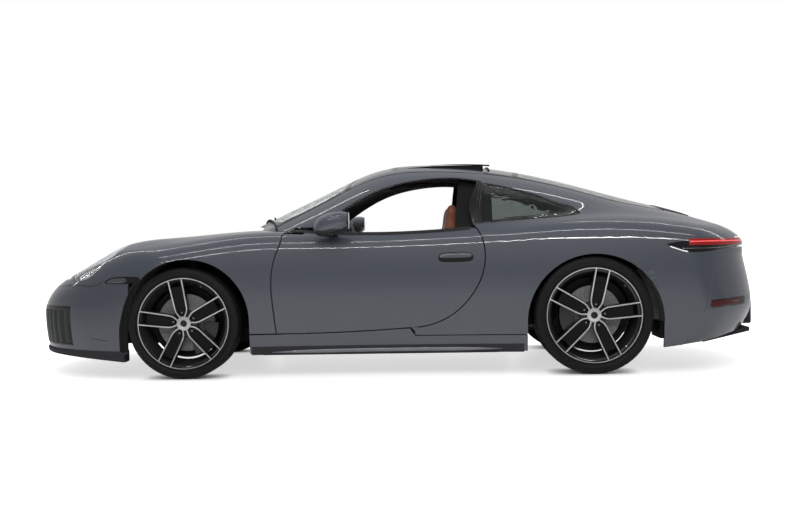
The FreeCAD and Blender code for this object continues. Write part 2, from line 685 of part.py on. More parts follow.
def keep_pair(name, shape):
    keep(name + "_right", shape)
    keep(name + "_left", mirrored(shape))


def keep_twins(name, shape):
    keep(name, Part.Compound([shape, mirrored(shape)]))


# Front wings: from the bumper over the wheel to the door
wing_skin = wall_of(low_and_tail, ring_rays(station(-0.78), station(0.29), -35, 84,
                                            size.side_hub_out, size.side_hub_height, 26, 22),
                    size.wing_wall)
wing = wing_skin.common(side_prism(straight_runs(side_points(WING_SHARES))))
wing = wing.cut(front_arch_cut)
wing = wing.cut(plan_prism(bonnet_region, half_gap))
screen_side = plan_points(SCREEN_SIDE_SHARES)
inner_side = [screen_side, [screen_side[-1], Vector(screen_side[-1].x, 0, 0)],
              [Vector(screen_side[-1].x, 0, 0), Vector(screen_side[0].x, 0, 0)],
              [Vector(screen_side[0].x, 0, 0), screen_side[0]]]
wing = wing.cut(plan_prism(inner_side))
wing = wing.cut(plan_prism(cowl_region))
wing = wing.cut(lamp_cut)
wing = wing.cut(door_swing(size.door_gap))
wing = wing.cut(door_clear.common(behind_hinge))
keep_twins("front_wings", main_solid(wing))

# Sills
sill_skin = wall_of(low_and_tail, ring_rays(station(0.12), station(0.88), -44, -10,
                                            size.side_hub_out, size.side_hub_height, 16, 8),
                    size.sill_wall)
sill = sill_skin.common(side_prism(straight_runs(side_points(SILL_SHARES))))
sill = sill.cut(front_arch_cut)
sill = sill.cut(rear_arch_cut).cut(door_clear)
sill = sill.cut(block(front_axle, rear_axle, 0, size.pan_half_width + size.fit_gap, 0,
                      size.body_height))
keep_twins("sills", sill)

# Doors: as thick as the whole door, with the ledge that the side glass comes out of
door_skin = wall_of(low_and_tail, ring_rays(station(0.17), station(0.76), -35, 62,
                                            size.side_hub_out, size.side_hub_height, 22, 18),
                    size.door_wall)
door = door_skin.common(door_area)
door = door.common(behind_hinge.fuse(door_swing(0)))
glass_slot = fair_curve([(station(a), out * half_width) for a, out in GLASS_SHARES])
slot_run = [Vector(x, glass_slot(x) - size.glass_wall, 0)
            for x in steps(station(0.17), station(0.76), 6)]
inner_strip = [slot_run, [slot_run[-1], Vector(slot_run[-1].x, 0, 0)],
               [Vector(slot_run[-1].x, 0, 0), Vector(slot_run[0].x, 0, 0)],
               [Vector(slot_run[0].x, 0, 0), slot_run[0]]]
slot_area = plan_prism(inner_strip)
slot_area = slot_area.common(block(station(0), station(1), 0, half_width,
                                   size.belt_height - size.door_wall, size.body_height))
door = door.cut(slot_area)

# Front pillars, with the pins that the doors turn on
hinge_room = block(front_axle, door_hinge.x + size.pin_round + size.pillar_long +
                   size.running_gap, 0, door_hinge.y + size.fit_gap, 0, size.body_height)
door = door.cut(hinge_room)
pillar = block(door_hinge.x + size.pin_round, door_hinge.x + size.pin_round + size.pillar_long,
               size.pan_half_width + size.fit_gap - size.pillar_wide,
               door_hinge.y - size.pin_round, size.pillar_foot, size.pillar_head)
for foot in (size.hinge_low, size.hinge_high):
    pin = drum(size.pin_round, Vector(door_hinge.x, door_hinge.y, foot), upward,
               size.hinge_length)
    leaf = block(door_hinge.x, door_hinge.x + size.pin_round + size.pillar_long,
                 door_hinge.y - 2 * size.pin_round, door_hinge.y, foot,
                 foot + size.hinge_length)
    leaf = leaf.common(block(door_hinge.x, door_hinge.x + 2 * size.pin_round, 0,
                             size.body_width, 0, size.body_height))
    pillar = pillar.fuse(leaf).fuse(pin)
    door = door.cut(drum(size.pin_round + size.fit_gap, Vector(door_hinge.x, door_hinge.y,
                                                               foot - size.fit_gap),
                         upward, size.hinge_length + 2 * size.fit_gap))
keep_twins("door_pillars", main_solid(pillar.cut(sill)))
keep_pair("door", main_solid(door))

# Rear quarters: the haunch over the rear wheel, the rear pillar and the side of the tail
quarter_skin = wall_of(whole_body, ring_rays(station(0.54), station(1.90), -36, 80,
                                             size.side_hub_out, size.side_hub_height, 40, 30),
                       size.quarter_wall)
quarter_glass_outline = [side_points(QUARTER_GLASS_TOP_SHARES),
                         side_points(QUARTER_GLASS_FOOT_SHARES),
                         side_points(QUARTER_GLASS_FRONT_SHARES)]
tail_lamp_top = side_points(TAIL_LAMP_TOP_SHARES)
tail_lamp_foot = side_points(TAIL_LAMP_FOOT_SHARES)
tail_lamp_outline = [tail_lamp_top, [tail_lamp_top[-1], tail_lamp_foot[0]], tail_lamp_foot]
tail_lamp_clear = side_prism(tail_lamp_outline, size.butt_gap, -half_width, half_width)
rail_outline = [side_points(RAIL_LOWER_SHARES)[:2], side_points(RAIL_LOWER_SHARES)[1:]]
rail_outline += straight_runs(side_points(RAIL_BACK_SHARES))
quarter = quarter_skin.common(side_prism(straight_runs(side_points(QUARTER_SHARES))))
quarter = quarter.cut(rear_arch_cut)
quarter = quarter.cut(door_clear)
quarter = quarter.cut(side_prism(straight_runs(side_points(POST_SHARES))))
quarter = quarter.cut(side_prism(quarter_glass_outline))
for region, gap in ((roof_region, size.fit_gap), (back_region, size.fit_gap),
                    (lid_region, half_gap)):
    quarter = quarter.cut(plan_prism(region, gap))
quarter = quarter.cut(tail_lamp_clear)
quarter = quarter.cut(side_prism(rail_outline))
keep_twins("rear_quarters", main_solid(quarter))

# Cowl between the bonnet and the windscreen, with the gutter that the bonnet closes on
cowl_rays = rising_rays(station(0.08), station(0.26), half_width * COWL_REACH_SHARE,
                        size.nose_hub_height, 8, 17)
cowl = wall_of(low_and_tail, cowl_rays, size.cowl_wall)
cowl = cowl.common(plan_prism(cowl_region, -half_gap))
gutter = wall_of(low_and_tail, cowl_rays, size.bonnet_wall + size.butt_gap + size.cowl_wall)
gutter = gutter.cut(wall_of(low_and_tail, cowl_rays, size.bonnet_wall + size.butt_gap))
gutter_rear = [p + Vector(size.gutter_width, 0, 0) for p in bonnet_end]
gutter_front = [p - Vector(size.gutter_width, 0, 0) for p in bonnet_end]
gutter_region = [both_sides(gutter_front)[::-1], [gutter_front[0], gutter_rear[0]],
                 both_sides(gutter_rear), [left_of(gutter_rear)[0], left_of(gutter_front)[0]]]
gutter = gutter.common(plan_prism(gutter_region))
gutter_wall = wall_of(low_and_tail, cowl_rays, size.bonnet_wall + size.cowl_wall)
wall_region = [[p + Vector(size.running_gap, 0, 0) for p in both_sides(bonnet_end)[::-1]],
               [bonnet_end[0] + Vector(size.running_gap, 0, 0), gutter_rear[0]],
               both_sides(gutter_rear), [left_of(gutter_rear)[0],
                                         left_of(bonnet_end)[0] +
                                         Vector(size.running_gap, 0, 0)]]
gutter_wall = gutter_wall.common(plan_prism(wall_region))
cowl = cowl.fuse(gutter).fuse(gutter_wall)
cowl = main_solid(cowl.cut(main_solid(wing)).cut(mirrored(main_solid(wing))))
keep("cowl", cowl)

# Windscreen pillars and roof rails
rail_skin = wall_of(glasshouse, ring_rays(station(0.17), station(0.78), -8, 80,
                                          size.rail_hub_out, size.rail_hub_height, 26, 14),
                    size.rail_wall)
rail = rail_skin.common(side_prism(rail_outline))
for region in (screen_region, roof_region):
    rail = rail.cut(plan_prism(region, size.fit_gap))
rail = rail.cut(main_solid(wing)).cut(cowl)
below_ledge = block(front_axle, rear_axle, 0, size.body_width, 0,
                    DOOR_LEDGE_SHARES[0][1] * size.body_height + size.door_gap)
rail = rail.cut(door_swing(size.door_gap).common(below_ledge))
keep_twins("roof_rails", rail)

# Side windows behind the doors
quarter_glass_skin = wall_of(whole_body, ring_rays(station(0.70), station(1.00), 30, 75,
                                                   size.side_hub_out, size.side_hub_height,
                                                   12, 12), size.glass_wall)
side_glass = quarter_glass_skin.common(side_prism(quarter_glass_outline, -size.fit_gap))

# Roof, windscreen, rear window and engine lid lie between the rails
roof_skin = wall_of(glasshouse, rising_rays(station(0.38), station(0.86), size.roof_reach,
                                            size.side_hub_height, 16, 17), size.roof_wall)
roof = roof_skin.common(plan_prism(roof_region, -size.fit_gap))
sunroof_hole = block(station(SUNROOF_FIRST_SHARE), station(SUNROOF_LAST_SHARE),
                     -SUNROOF_OUT_SHARE * half_width, SUNROOF_OUT_SHARE * half_width,
                     0, size.body_height + size.overrun)
roof = roof.cut(sunroof_hole)
keep("roof", roof)

sunroof = wall_of(glasshouse, rising_rays(station(SUNROOF_FIRST_SHARE) + size.butt_gap,
                                          station(SUNROOF_LAST_SHARE) - size.seam_gap,
                                          SUNROOF_OUT_SHARE * half_width - size.seam_gap,
                                          size.side_hub_height, 9, 9), size.sunroof_wall)
sunroof_length = station(SUNROOF_LAST_SHARE) - station(SUNROOF_FIRST_SHARE)
sunroof_front = Vector(station(SUNROOF_FIRST_SHARE), 0, roof_line(station(SUNROOF_FIRST_SHARE)))
sunroof.rotate(sunroof_front, across, -math.degrees(size.sunroof_lift / sunroof_length))
keep("sunroof", sunroof)

screen_skin = wall_of(glasshouse, rising_rays(station(0.12), station(0.45), size.roof_reach,
                                              size.side_hub_height, 14, 17), size.glass_wall)
keep("windscreen", screen_skin.common(plan_prism(screen_region, -size.fit_gap)))
back_skin = wall_of(whole_body, rising_rays(station(0.78), station(1.50), size.roof_reach,
                                            size.side_hub_height, 16, 21), size.glass_wall)
back_glass = back_skin.common(plan_prism(back_region, -size.fit_gap))
keep("rear_windows", Part.Compound([back_glass, side_glass, mirrored(side_glass)]))

lid_skin = wall_of(whole_body, ring_rays(station(1.40), station(1.93), 25, 155, 0,
                                         size.side_hub_height, 18, 27), size.lid_wall)
lid = lid_skin.common(plan_prism(lid_region, -half_gap))
lid = lid.cut(side_prism(tail_lamp_outline, size.running_gap, -half_width, half_width))
lid = lid.cut(plan_prism(back_region, size.running_gap))
lid = main_solid(lid)
keep("engine_lid", lid)

# Channel under the joint of rear window and engine lid, which the lid closes on
channel_rays = ring_rays(station(1.40), station(1.55), 25, 155, 0, size.side_hub_height, 8, 27)
channel_front = [p - Vector(size.gutter_width, 0, 0) for p in back_foot]
channel_rear = [p + Vector(size.gutter_width, 0, 0) for p in back_foot]
channel_region = [both_sides(channel_front)[::-1], [channel_front[0], channel_rear[0]],
                  both_sides(channel_rear), [left_of(channel_rear)[0],
                                             left_of(channel_front)[0]]]
channel = wall_of(whole_body, channel_rays, size.lid_wall + size.cowl_wall)
channel = channel.cut(wall_of(whole_body, channel_rays, 2 * size.running_gap))
channel = channel.common(plan_prism(channel_region, size.running_gap))
lid_room = wall_of(whole_body, channel_rays, size.lid_wall + size.butt_gap)
lid_front = [p - Vector(half_gap, 0, 0) for p in back_foot]
lid_back = [p + Vector(3 * size.gutter_width, 0, 0) for p in back_foot]
lid_strip = [both_sides(lid_front)[::-1], [lid_front[0], lid_back[0]], both_sides(lid_back),
             [left_of(lid_back)[0], left_of(lid_front)[0]]]
channel = channel.cut(lid_room.common(plan_prism(lid_strip, size.running_gap)))
channel = channel.cut(main_solid(quarter)).cut(mirrored(main_solid(quarter)))
keep("lid_channel", main_solid(channel))

# Bonnet
bonnet_skin = wall_of(low_and_tail, rising_rays(station(-0.93), station(0.20),
                                                BONNET_REACH_SHARE * half_width,
                                                size.nose_hub_height, 26, 25),
                      size.bonnet_wall)
bonnet = bonnet_skin.common(plan_prism(bonnet_region, -size.bonnet_inset))
bonnet = bonnet.common(block(nose_x, 0, -half_width, half_width, size.bumper_top + half_gap,
                             size.body_height))
bonnet = bonnet.cut(lamp_cuts)
keep("bonnet", bonnet)

# Bumpers
front_skin = wall_of(low_and_tail, nose_rays(size.nose_fan, size.nose_fan_low,
                                            size.nose_fan_high, 41, 17), size.bumper_wall)
front_outline = straight_runs(side_points(FRONT_BUMPER_SHARES))
front_bumper = front_skin.common(side_prism(front_outline, 0.0, -half_width - size.overrun,
                                            half_width + size.overrun))
front_bumper = front_bumper.cut(front_arch_cut)
front_bumper = front_bumper.cut(lamp_cuts)
intake = block(nose_x - size.overrun, front_axle, size.intake_inner, size.intake_outer,
               size.intake_foot, size.intake_head)
slot = block(nose_x - size.overrun, front_axle, -size.slot_half_width, size.slot_half_width,
             size.slot_foot, size.slot_head)
openings = intake.fuse(mirrored(intake)).fuse(slot)
grilles = front_skin.common(openings)
front_bumper = front_bumper.cut(openings)
lip_points = [cast(low_and_tail, start, aim) for start, aim in
              [(Vector(nose_x + size.nose_hub_back, 0, size.lip_height),
                Vector(-math.cos(math.radians(a)), math.sin(math.radians(a)), 0))
               for a in steps(-size.lip_fan, size.lip_fan, 17)]]
lip_outer = [p + Vector(-size.lip_reach, 0, 0) for p in lip_points]
lip_inner = [p + Vector(size.lip_sweep, -p.y * size.lip_sweep / size.corner_reach, 0)
             for p in lip_points]
lip_runs = [lip_outer, [lip_outer[-1], lip_inner[-1]], lip_inner[::-1],
            [lip_inner[0], lip_outer[0]]]
lip = Part.Face(closed_wire(lip_runs)).extrude(Vector(0, 0, -size.lip_wall))
lip = lip.cut(front_arch_cut)
keep("front_lip", lip)
front_bumper = front_bumper.cut(lip)
keep("front_bumper", front_bumper)
keep("front_grilles", Part.Compound(grilles.Solids))

rear_skin = wall_of(whole_body, tail_rays(size.tail_fan, BUMPER_FOOT_SHARE * size.body_height,
                                          BUMPER_HEAD_SHARE * size.body_height, 37, 15),
                    size.bumper_wall)
rear_bumper = rear_skin.common(side_prism(straight_runs(side_points(BUMPER_SHARES)), 0.0,
                                          -half_width - size.overrun,
                                          half_width + size.overrun))
rear_bumper = rear_bumper.cut(rear_arch_cut)
rear_bumper = rear_bumper.cut(tail_lamp_clear)
guard = block(tail_x - size.guard_deep, tail_x, size.guard_out, size.guard_out +
              size.guard_wide, size.guard_foot, size.guard_head)
guard = rounded(guard, size.guard_round,
                lambda edge: edge.CenterOfMass.x > tail_x - size.fit_gap)
keep_twins("bumper_guards", guard)
rear_bumper = rear_bumper.cut(guard).cut(mirrored(guard))
pipe_room = drum(size.pipe_radius + size.running_gap,
                 Vector(rear_axle, size.pipe_out, size.pipe_height), Vector(1, 0, 0),
                 size.rear_overhang + size.overrun)
rear_bumper = rear_bumper.cut(pipe_room).cut(mirrored(pipe_room))

# Flat recess for the rear number plate
plate_face = tail_x - size.plate_inset
rear_bumper = rear_bumper.cut(block(plate_face, tail_x, -size.plate_half_width,
                                    size.plate_half_width, size.plate_foot, size.plate_head))

# Diffuser, let into the foot of the rear bumper
diffuser_last = tail_x - size.diffuser_deep
diffuser_first = diffuser_last - size.diffuser_long


def diffuser_plate(grow):
    """The sloping plate under the tail, or the room for it."""
    return side_plate([(diffuser_first - grow, size.diffuser_foot - grow),
                       (diffuser_last + grow, size.diffuser_head - grow),
                       (diffuser_last + grow, size.diffuser_head + size.lip_wall + grow),
                       (diffuser_first - grow, size.diffuser_foot + size.lip_wall + grow)],
                      -size.diffuser_half_width - grow, size.diffuser_half_width + grow)


keep("diffuser", diffuser_plate(0))
rear_bumper = rear_bumper.cut(diffuser_plate(size.fit_gap))
keep("rear_bumper", main_solid(rear_bumper))

lamp_skin = wall_of(whole_body, tail_rays(size.tail_fan, TAIL_LAMP_FOOT_SHARE * size.body_height,
                                          TAIL_LAMP_HEAD_SHARE * size.body_height, 37, 7),
                    size.tail_lamp_wall)
keep("tail_lamps", lamp_skin.common(side_prism(tail_lamp_outline, 0.0, -half_width,
                                               half_width)))

lens_skin = wall_of(low_and_tail, ring_rays(station(-0.80), station(-0.25), 5, 84,
                                            size.side_hub_out, size.side_hub_height, 14, 14),
                    size.lamp_wall)
keep_twins("headlamps", lens_skin.common(lamp_column(0)))

# Wheels: tyre, rim with five double spokes, and brake disc turn together


class Wheel:
    """The sizes of one wheel that follow from its tyre and rim."""

    def __init__(self, axle_x, track, tyre_radius, tyre_width, rim_radius):
        self.centre = Vector(axle_x, track / 2, tyre_radius)
        self.tyre_radius = tyre_radius
        self.half_tyre = tyre_width / 2
        self.half_rim = self.half_tyre - size.rim_inset
        self.rim_radius = rim_radius
        self.bead = rim_radius - size.rim_flange
        self.seat = self.half_rim - size.rim_flange / 2
        self.face = self.half_rim - size.hub_inset


front_wheel = Wheel(front_axle, size.front_track, size.front_tyre_radius,
                    size.front_tyre_width, size.front_rim_radius)
rear_wheel = Wheel(rear_axle, size.rear_track, size.rear_tyre_radius,
                   size.rear_tyre_width, size.rear_rim_radius)


def tyre(wheel):
    edge = wheel.seat - size.fit_gap
    above = wheel.rim_radius + size.fit_gap
    shoulder = wheel.tyre_radius - size.tyre_shoulder
    wall = wheel.half_tyre - size.tyre_bulge
    half = [(wheel.bead, edge), (above, edge), (above + size.tyre_bulge, wall),
            ((above + shoulder) / 2, wheel.half_tyre), (shoulder, wall),
            (wheel.tyre_radius, wall - size.tyre_shoulder)]
    return turned(half + [(r, -d) for r, d in reversed(half)], wheel.centre, 1)


def rim(wheel, first_turn):
    inner = wheel.bead - size.rim_wall
    half = [(wheel.bead, wheel.seat), (wheel.rim_radius, wheel.seat),
            (wheel.rim_radius, wheel.half_rim), (inner, wheel.half_rim)]
    barrel = turned(half + [(r, -d) for r, d in reversed(half)], wheel.centre, 1)
    hub_front = wheel.face + size.hub_depth
    hub = turned([(size.axle_bore, wheel.face), (size.hub_radius, wheel.face),
                  (size.hub_radius, hub_front), (0, hub_front), (0, hub_front - size.spoke_face),
                  (size.axle_bore, hub_front - size.spoke_face)], wheel.centre, 1)
    rim_front = wheel.half_rim - size.spoke_face
    wheel_dish = [(0, hub_front), (size.hub_radius, hub_front), (inner + size.rim_wall, rim_front),
                  (inner + size.rim_wall, rim_front - size.spoke_depth),
                  (size.hub_radius, hub_front - size.spoke_depth),
                  (0, hub_front - size.spoke_depth)]
    dish = turned(wheel_dish, wheel.centre, 1)
    out = size.spoke_width / 2
    slot = size.spoke_slot / 2
    bars = None
    for sign in (1, -1):
        corners = [(0, sign * size.spoke_pinch), (wheel.bead, sign * slot),
                   (wheel.bead, sign * out), (0, sign * (size.spoke_pinch + out - slot))]
        face = polygon([Vector(wheel.centre.x + r, wheel.centre.y - wheel.half_tyre,
                               wheel.centre.z + w) for r, w in corners])
        bar = face.extrude(Vector(0, 2 * wheel.half_tyre, 0))
        bars = bar if bars is None else bars.fuse(bar)
    spoke = bars.common(dish)
    solid = barrel.fuse(hub)
    for k in range(5):
        turn = spoke.copy()
        turn.rotate(wheel.centre, across, -first_turn - 360.0 * k / 5)
        solid = solid.fuse(turn)
    return solid.removeSplitter()


def brake_disc(wheel):
    back = wheel.face - size.disc_inset
    ring = back + size.disc_wall
    return turned([(size.spindle_radius + size.spindle_gap, back), (size.disc_radius, back),
                   (size.disc_radius, ring), (size.disc_hat_radius, ring),
                   (size.disc_hat_radius, wheel.face), (size.spindle_radius + size.spindle_gap,
                                                        wheel.face)], wheel.centre, 1)


def caliper(wheel, start):
    back = wheel.face - size.disc_inset - size.running_gap
    front = wheel.face - size.disc_inset + size.disc_wall + size.running_gap
    reach = size.disc_radius + size.running_gap
    low = size.disc_radius - size.caliper_reach
    return turned([(low, back - size.caliper_wall), (reach + size.caliper_wall,
                                                     back - size.caliper_wall),
                   (reach + size.caliper_wall, front + size.caliper_wall),
                   (low, front + size.caliper_wall), (low, front), (reach, front),
                   (reach, back), (low, back)], wheel.centre, 1, size.caliper_angle, start)


def upright(wheel):
    """The knuckle or carrier that the wheel turns on, with its spindle and caliper arm."""
    back = wheel.face - size.disc_inset - size.running_gap
    x, y, z = wheel.centre
    half = size.knuckle_half
    post = block(x - half, x + half, y + back - size.knuckle_wall, y + back,
                 z - size.knuckle_high / 2, z + size.knuckle_high / 2)
    spindle = drum(size.spindle_radius, Vector(x, y + back, z), across,
                   wheel.face - back - size.fit_gap)
    return post.fuse(spindle)


for label, wheel, start, spoke_turn in (
        ("front", front_wheel, size.front_caliper_start, size.front_spoke_turn),
        ("rear", rear_wheel, size.rear_caliper_start, size.rear_spoke_turn)):
    keep_pair(label + "_tyre", tyre(wheel))
    keep_pair(label + "_rim", rim(wheel, spoke_turn))
    keep_pair(label + "_disc", brake_disc(wheel))
    holder = upright(wheel)
    back = wheel.face - size.disc_inset - size.running_gap - size.caliper_wall
    low = size.disc_radius - size.caliper_reach
    middle = start + size.caliper_angle / 2
    arm = block(wheel.centre.x, wheel.centre.x + low + size.caliper_reach / 2,
                wheel.centre.y + back - size.arm_wall, wheel.centre.y + back,
                wheel.centre.z - size.arm_width / 2, wheel.centre.z + size.arm_width / 2)
    arm.rotate(wheel.centre, across, middle)
    if label == "front":
        knuckle = holder.fuse(arm)
        keep_pair("knuckle", knuckle)
        keep_pair("front_caliper", caliper(wheel, start))
    else:
        carrier = holder.fuse(arm)
        keep_twins("rear_calipers", caliper(wheel, start))

# Rear carriers with their arms and drive shafts
x, y, z = rear_wheel.centre
carrier_back = y + rear_wheel.face - size.disc_inset - size.running_gap - size.knuckle_wall
shaft = drum(size.spindle_radius, Vector(x, size.gearbox_width / 2, z), across,
             carrier_back - size.gearbox_width / 2 + size.running_gap)
lower = polygon([Vector(x - size.arm_spread, size.gearbox_width / 2, size.arm_height),
                 Vector(x + size.arm_spread, size.gearbox_width / 2, size.arm_height),
                 Vector(x + size.knuckle_half, carrier_back + size.knuckle_wall / 2,
                        size.arm_height),
                 Vector(x - size.knuckle_half, carrier_back + size.knuckle_wall / 2,
                        size.arm_height)]).extrude(Vector(0, 0, size.arm_wall))
post = block(x - size.knuckle_half, x + size.knuckle_half, carrier_back,
             carrier_back + size.knuckle_wall, size.arm_height, z)
keep_twins("rear_suspension", carrier.fuse(shaft).fuse(lower).fuse(post))

# Front lower arms and dampers
x, y, z = front_wheel.centre
arm_top = z - size.knuckle_high / 2 - size.fit_gap
wishbone = None
for sign in (1, -1):
    leg = polygon([Vector(x + sign * size.arm_spread, size.tub_half_width + size.fit_gap, 0),
                   Vector(x + sign * (size.arm_spread - size.arm_width),
                          size.tub_half_width + size.fit_gap, 0),
                   Vector(x - sign * size.arm_width / 4, size.kingpin_out, 0),
                   Vector(x + sign * size.arm_width / 4, size.kingpin_out, 0)])
    leg = leg.extrude(Vector(0, 0, size.arm_wall))
    wishbone = leg if wishbone is None else wishbone.fuse(leg)
wishbone = wishbone.fuse(drum(size.pin_radius, Vector(x, size.kingpin_out, 0), upward,
                              size.arm_wall))
wishbone.translate(Vector(0, 0, arm_top - size.arm_wall))
damper = drum(size.damper_radius, Vector(x, size.damper_out, size.damper_foot), upward,
              size.damper_top - size.damper_foot)
spring = drum(size.spring_radius, Vector(x, size.damper_out, size.spring_foot), upward,
              size.damper_top - size.spring_foot)
tower = block(x - size.tower_half, x + size.tower_half, size.tub_half_width + size.fit_gap,
              size.damper_out + size.tower_half, size.damper_top,
              size.damper_top + size.arm_wall)
brace = block(x - size.tower_half, x + size.tower_half, size.tub_half_width + size.fit_gap,
              size.tub_half_width + size.arm_wall, size.tub_top, size.damper_top)
tower_room = block(x - size.tower_half - size.fit_gap, x + size.tower_half + size.fit_gap, 0,
                   size.damper_out + size.tower_half + size.fit_gap, front_arch.z,
                   size.body_height)
strut = damper.fuse(spring).fuse(tower).fuse(brace)
keep("front_suspension", Part.Compound([wishbone, mirrored(wishbone), strut, mirrored(strut)]))

# Wheel housings over the wheels, behind the arches


def housing(arch, radius, inner, outer):
    ring = drum(radius + size.liner_wall, arch + Vector(0, inner, 0), across, outer - inner)
    ring = ring.cut(drum(radius, arch + Vector(0, inner, 0), across, outer - inner))
    below = block(arch.x - 2 * radius, arch.x + 2 * radius, 0, outer + radius, -radius,
                  arch.z - size.liner_drop)
    return ring.cut(below)


front_liner = housing(front_arch, size.front_arch_radius + size.liner_space,
                      size.front_liner_in, half_width - size.liner_trim)
rear_liner = housing(rear_arch, size.rear_arch_radius + size.liner_space,
                     size.rear_liner_in, half_width - size.liner_trim)
front_liner = main_solid(front_liner.cut(tower_room).cut(main_solid(wing)).cut(front_bumper))
rear_liner = main_solid(rear_liner.cut(main_solid(quarter)))
keep("wheel_housings", Part.Compound([front_liner, mirrored(front_liner), rear_liner,
                                      mirrored(rear_liner)]))

# Floor, front luggage tub, bulkhead and rear floor
pan_first = station(PAN_FIRST_SHARE)
rear_steps = [(station(a), up * size.body_height) for a, up in REAR_FLOOR_SHARES]
pan_last = rear_steps[0][0] - size.fit_gap
pan_top = size.pan_bottom + size.pan_wall
pan_section = [(-size.pan_half_width, size.pan_bottom), (-size.tunnel_half_width,
                                                         size.pan_bottom),
               (-size.tunnel_half_width, pan_top + size.tunnel_height - size.pan_wall),
               (size.tunnel_half_width, pan_top + size.tunnel_height - size.pan_wall),
               (size.tunnel_half_width, size.pan_bottom), (size.pan_half_width,
                                                           size.pan_bottom),
               (size.pan_half_width, pan_top),
               (size.tunnel_half_width + size.pan_wall, pan_top),
               (size.tunnel_half_width + size.pan_wall, pan_top + size.tunnel_height),
               (-size.tunnel_half_width - size.pan_wall, pan_top + size.tunnel_height),
               (-size.tunnel_half_width - size.pan_wall, pan_top),
               (-size.pan_half_width, pan_top)]
pan = polygon([Vector(pan_first, y, z) for y, z in pan_section])
keep("floor_pan", pan.extrude(Vector(pan_last - pan_first, 0, 0)))

bulkhead_x = pan_first - size.bulkhead_wall
keep("bulkhead", block(bulkhead_x, pan_first, -size.bulkhead_half_width,
                       size.bulkhead_half_width, size.pan_bottom, size.bulkhead_top))

tub_first = station(TUB_FIRST_SHARE)
tub = block(tub_first, bulkhead_x - size.fit_gap, -size.tub_half_width, size.tub_half_width,
            size.tub_bottom, size.tub_top)
hollow = block(tub_first + size.tub_wall, bulkhead_x - size.tub_wall,
               -size.tub_half_width + size.tub_wall, size.tub_half_width - size.tub_wall,
               size.tub_bottom + size.tub_wall, size.body_height)
keep("luggage_tub", tub.cut(hollow))

inner_steps = [(px + size.bulkhead_wall, pz - size.bulkhead_wall) for px, pz in rear_steps]
inner_steps[0] = (inner_steps[0][0], rear_steps[0][1])
inner_steps[-1] = (rear_steps[-1][0], inner_steps[-1][1])
keep("rear_floor", side_plate(rear_steps + inner_steps[::-1], -size.rear_floor_half_width,
                              size.rear_floor_half_width))

# Engine and gearbox, each one block
engine_x = rear_axle + size.engine_back
engine = block(engine_x, engine_x + size.engine_length, -size.engine_width / 2,
               size.engine_width / 2, size.engine_foot, size.engine_foot + size.engine_height)
keep("engine", rounded(engine, size.edge_round, lambda edge: along(edge, across)))
gearbox = block(engine_x - size.gearbox_length, engine_x - size.fit_gap,
                -size.gearbox_width / 2 + size.fit_gap, size.gearbox_width / 2 - size.fit_gap,
                size.engine_foot, rear_steps[1][1] - size.bulkhead_wall - size.fit_gap)
keep("gearbox", rounded(gearbox, size.edge_round, lambda edge: along(edge, Vector(1, 0, 0))))

# Cabin
seat_x = station(SEAT_SHARE)
seat_profile = [(0, size.seat_base), (0, size.cushion_top - size.seat_round),
                (size.seat_round, size.cushion_top),
                (size.seat_length - size.back_wall, size.cushion_top - size.seat_round),
                (size.seat_length - size.back_wall + size.back_lean, size.back_top),
                (size.seat_length + size.back_lean - size.seat_round, size.back_top),
                (size.seat_length, size.cushion_top - size.seat_round),
                (size.seat_length, size.seat_base)]
seat_first = size.seat_out - size.seat_width / 2
seat = side_plate([(seat_x + px, pz) for px, pz in seat_profile], seat_first,
                  seat_first + size.seat_width)
head_x = seat_x + size.seat_length - size.back_wall + size.back_lean
head = block(head_x, head_x + size.back_wall - size.seat_round, size.seat_out -
             size.head_width / 2, size.seat_out + size.head_width / 2,
             size.back_top - size.seat_round, size.head_top)
seat = seat.fuse(head)
for offset in (size.seat_round, size.seat_width - 2 * size.seat_round):
    seat = seat.fuse(block(seat_x + size.seat_round, seat_x + size.seat_length -
                           size.seat_round, seat_first + offset,
                           seat_first + offset + size.seat_round, pan_top, size.seat_base))
keep_twins("front_seats", seat)

rear_seat_x = rear_steps[1][0]
rear_seat = side_plate([(rear_seat_x, rear_steps[1][1] + size.fit_gap),
                        (rear_seat_x, size.rear_cushion_top),
                        (rear_steps[2][0] - size.rear_back_wall, size.rear_cushion_top),
                        (rear_steps[3][0] - size.rear_back_wall, size.rear_back_top),
                        (rear_steps[3][0] - size.seat_round, size.rear_back_top),
                        (rear_steps[2][0] - size.fit_gap, rear_steps[2][1] + size.fit_gap)],
                       size.tunnel_half_width / 2,
                       size.tunnel_half_width / 2 + size.rear_seat_width)
keep_twins("rear_seats", rear_seat)

dash_x = pan_first + size.fit_gap
dash = side_plate([(dash_x, size.dash_foot), (dash_x, size.dash_top - size.dash_round),
                   (dash_x + size.dash_round, size.dash_top),
                   (dash_x + size.dash_depth, size.dash_top),
                   (dash_x + size.dash_depth + size.dash_round,
                    size.dash_top - size.dash_round),
                   (dash_x + size.dash_depth, size.dash_foot)],
                  -size.dash_half_width, size.dash_half_width)

console = block(dash_x, dash_x + size.console_length, -size.console_width / 2,
                size.console_width / 2, pan_top + size.tunnel_height + size.fit_gap,
                size.console_top)
keep("console", rounded(console, size.edge_round, lambda edge: along(edge, Vector(1, 0, 0)) and
                        edge.CenterOfMass.z > size.console_top - size.edge_round))

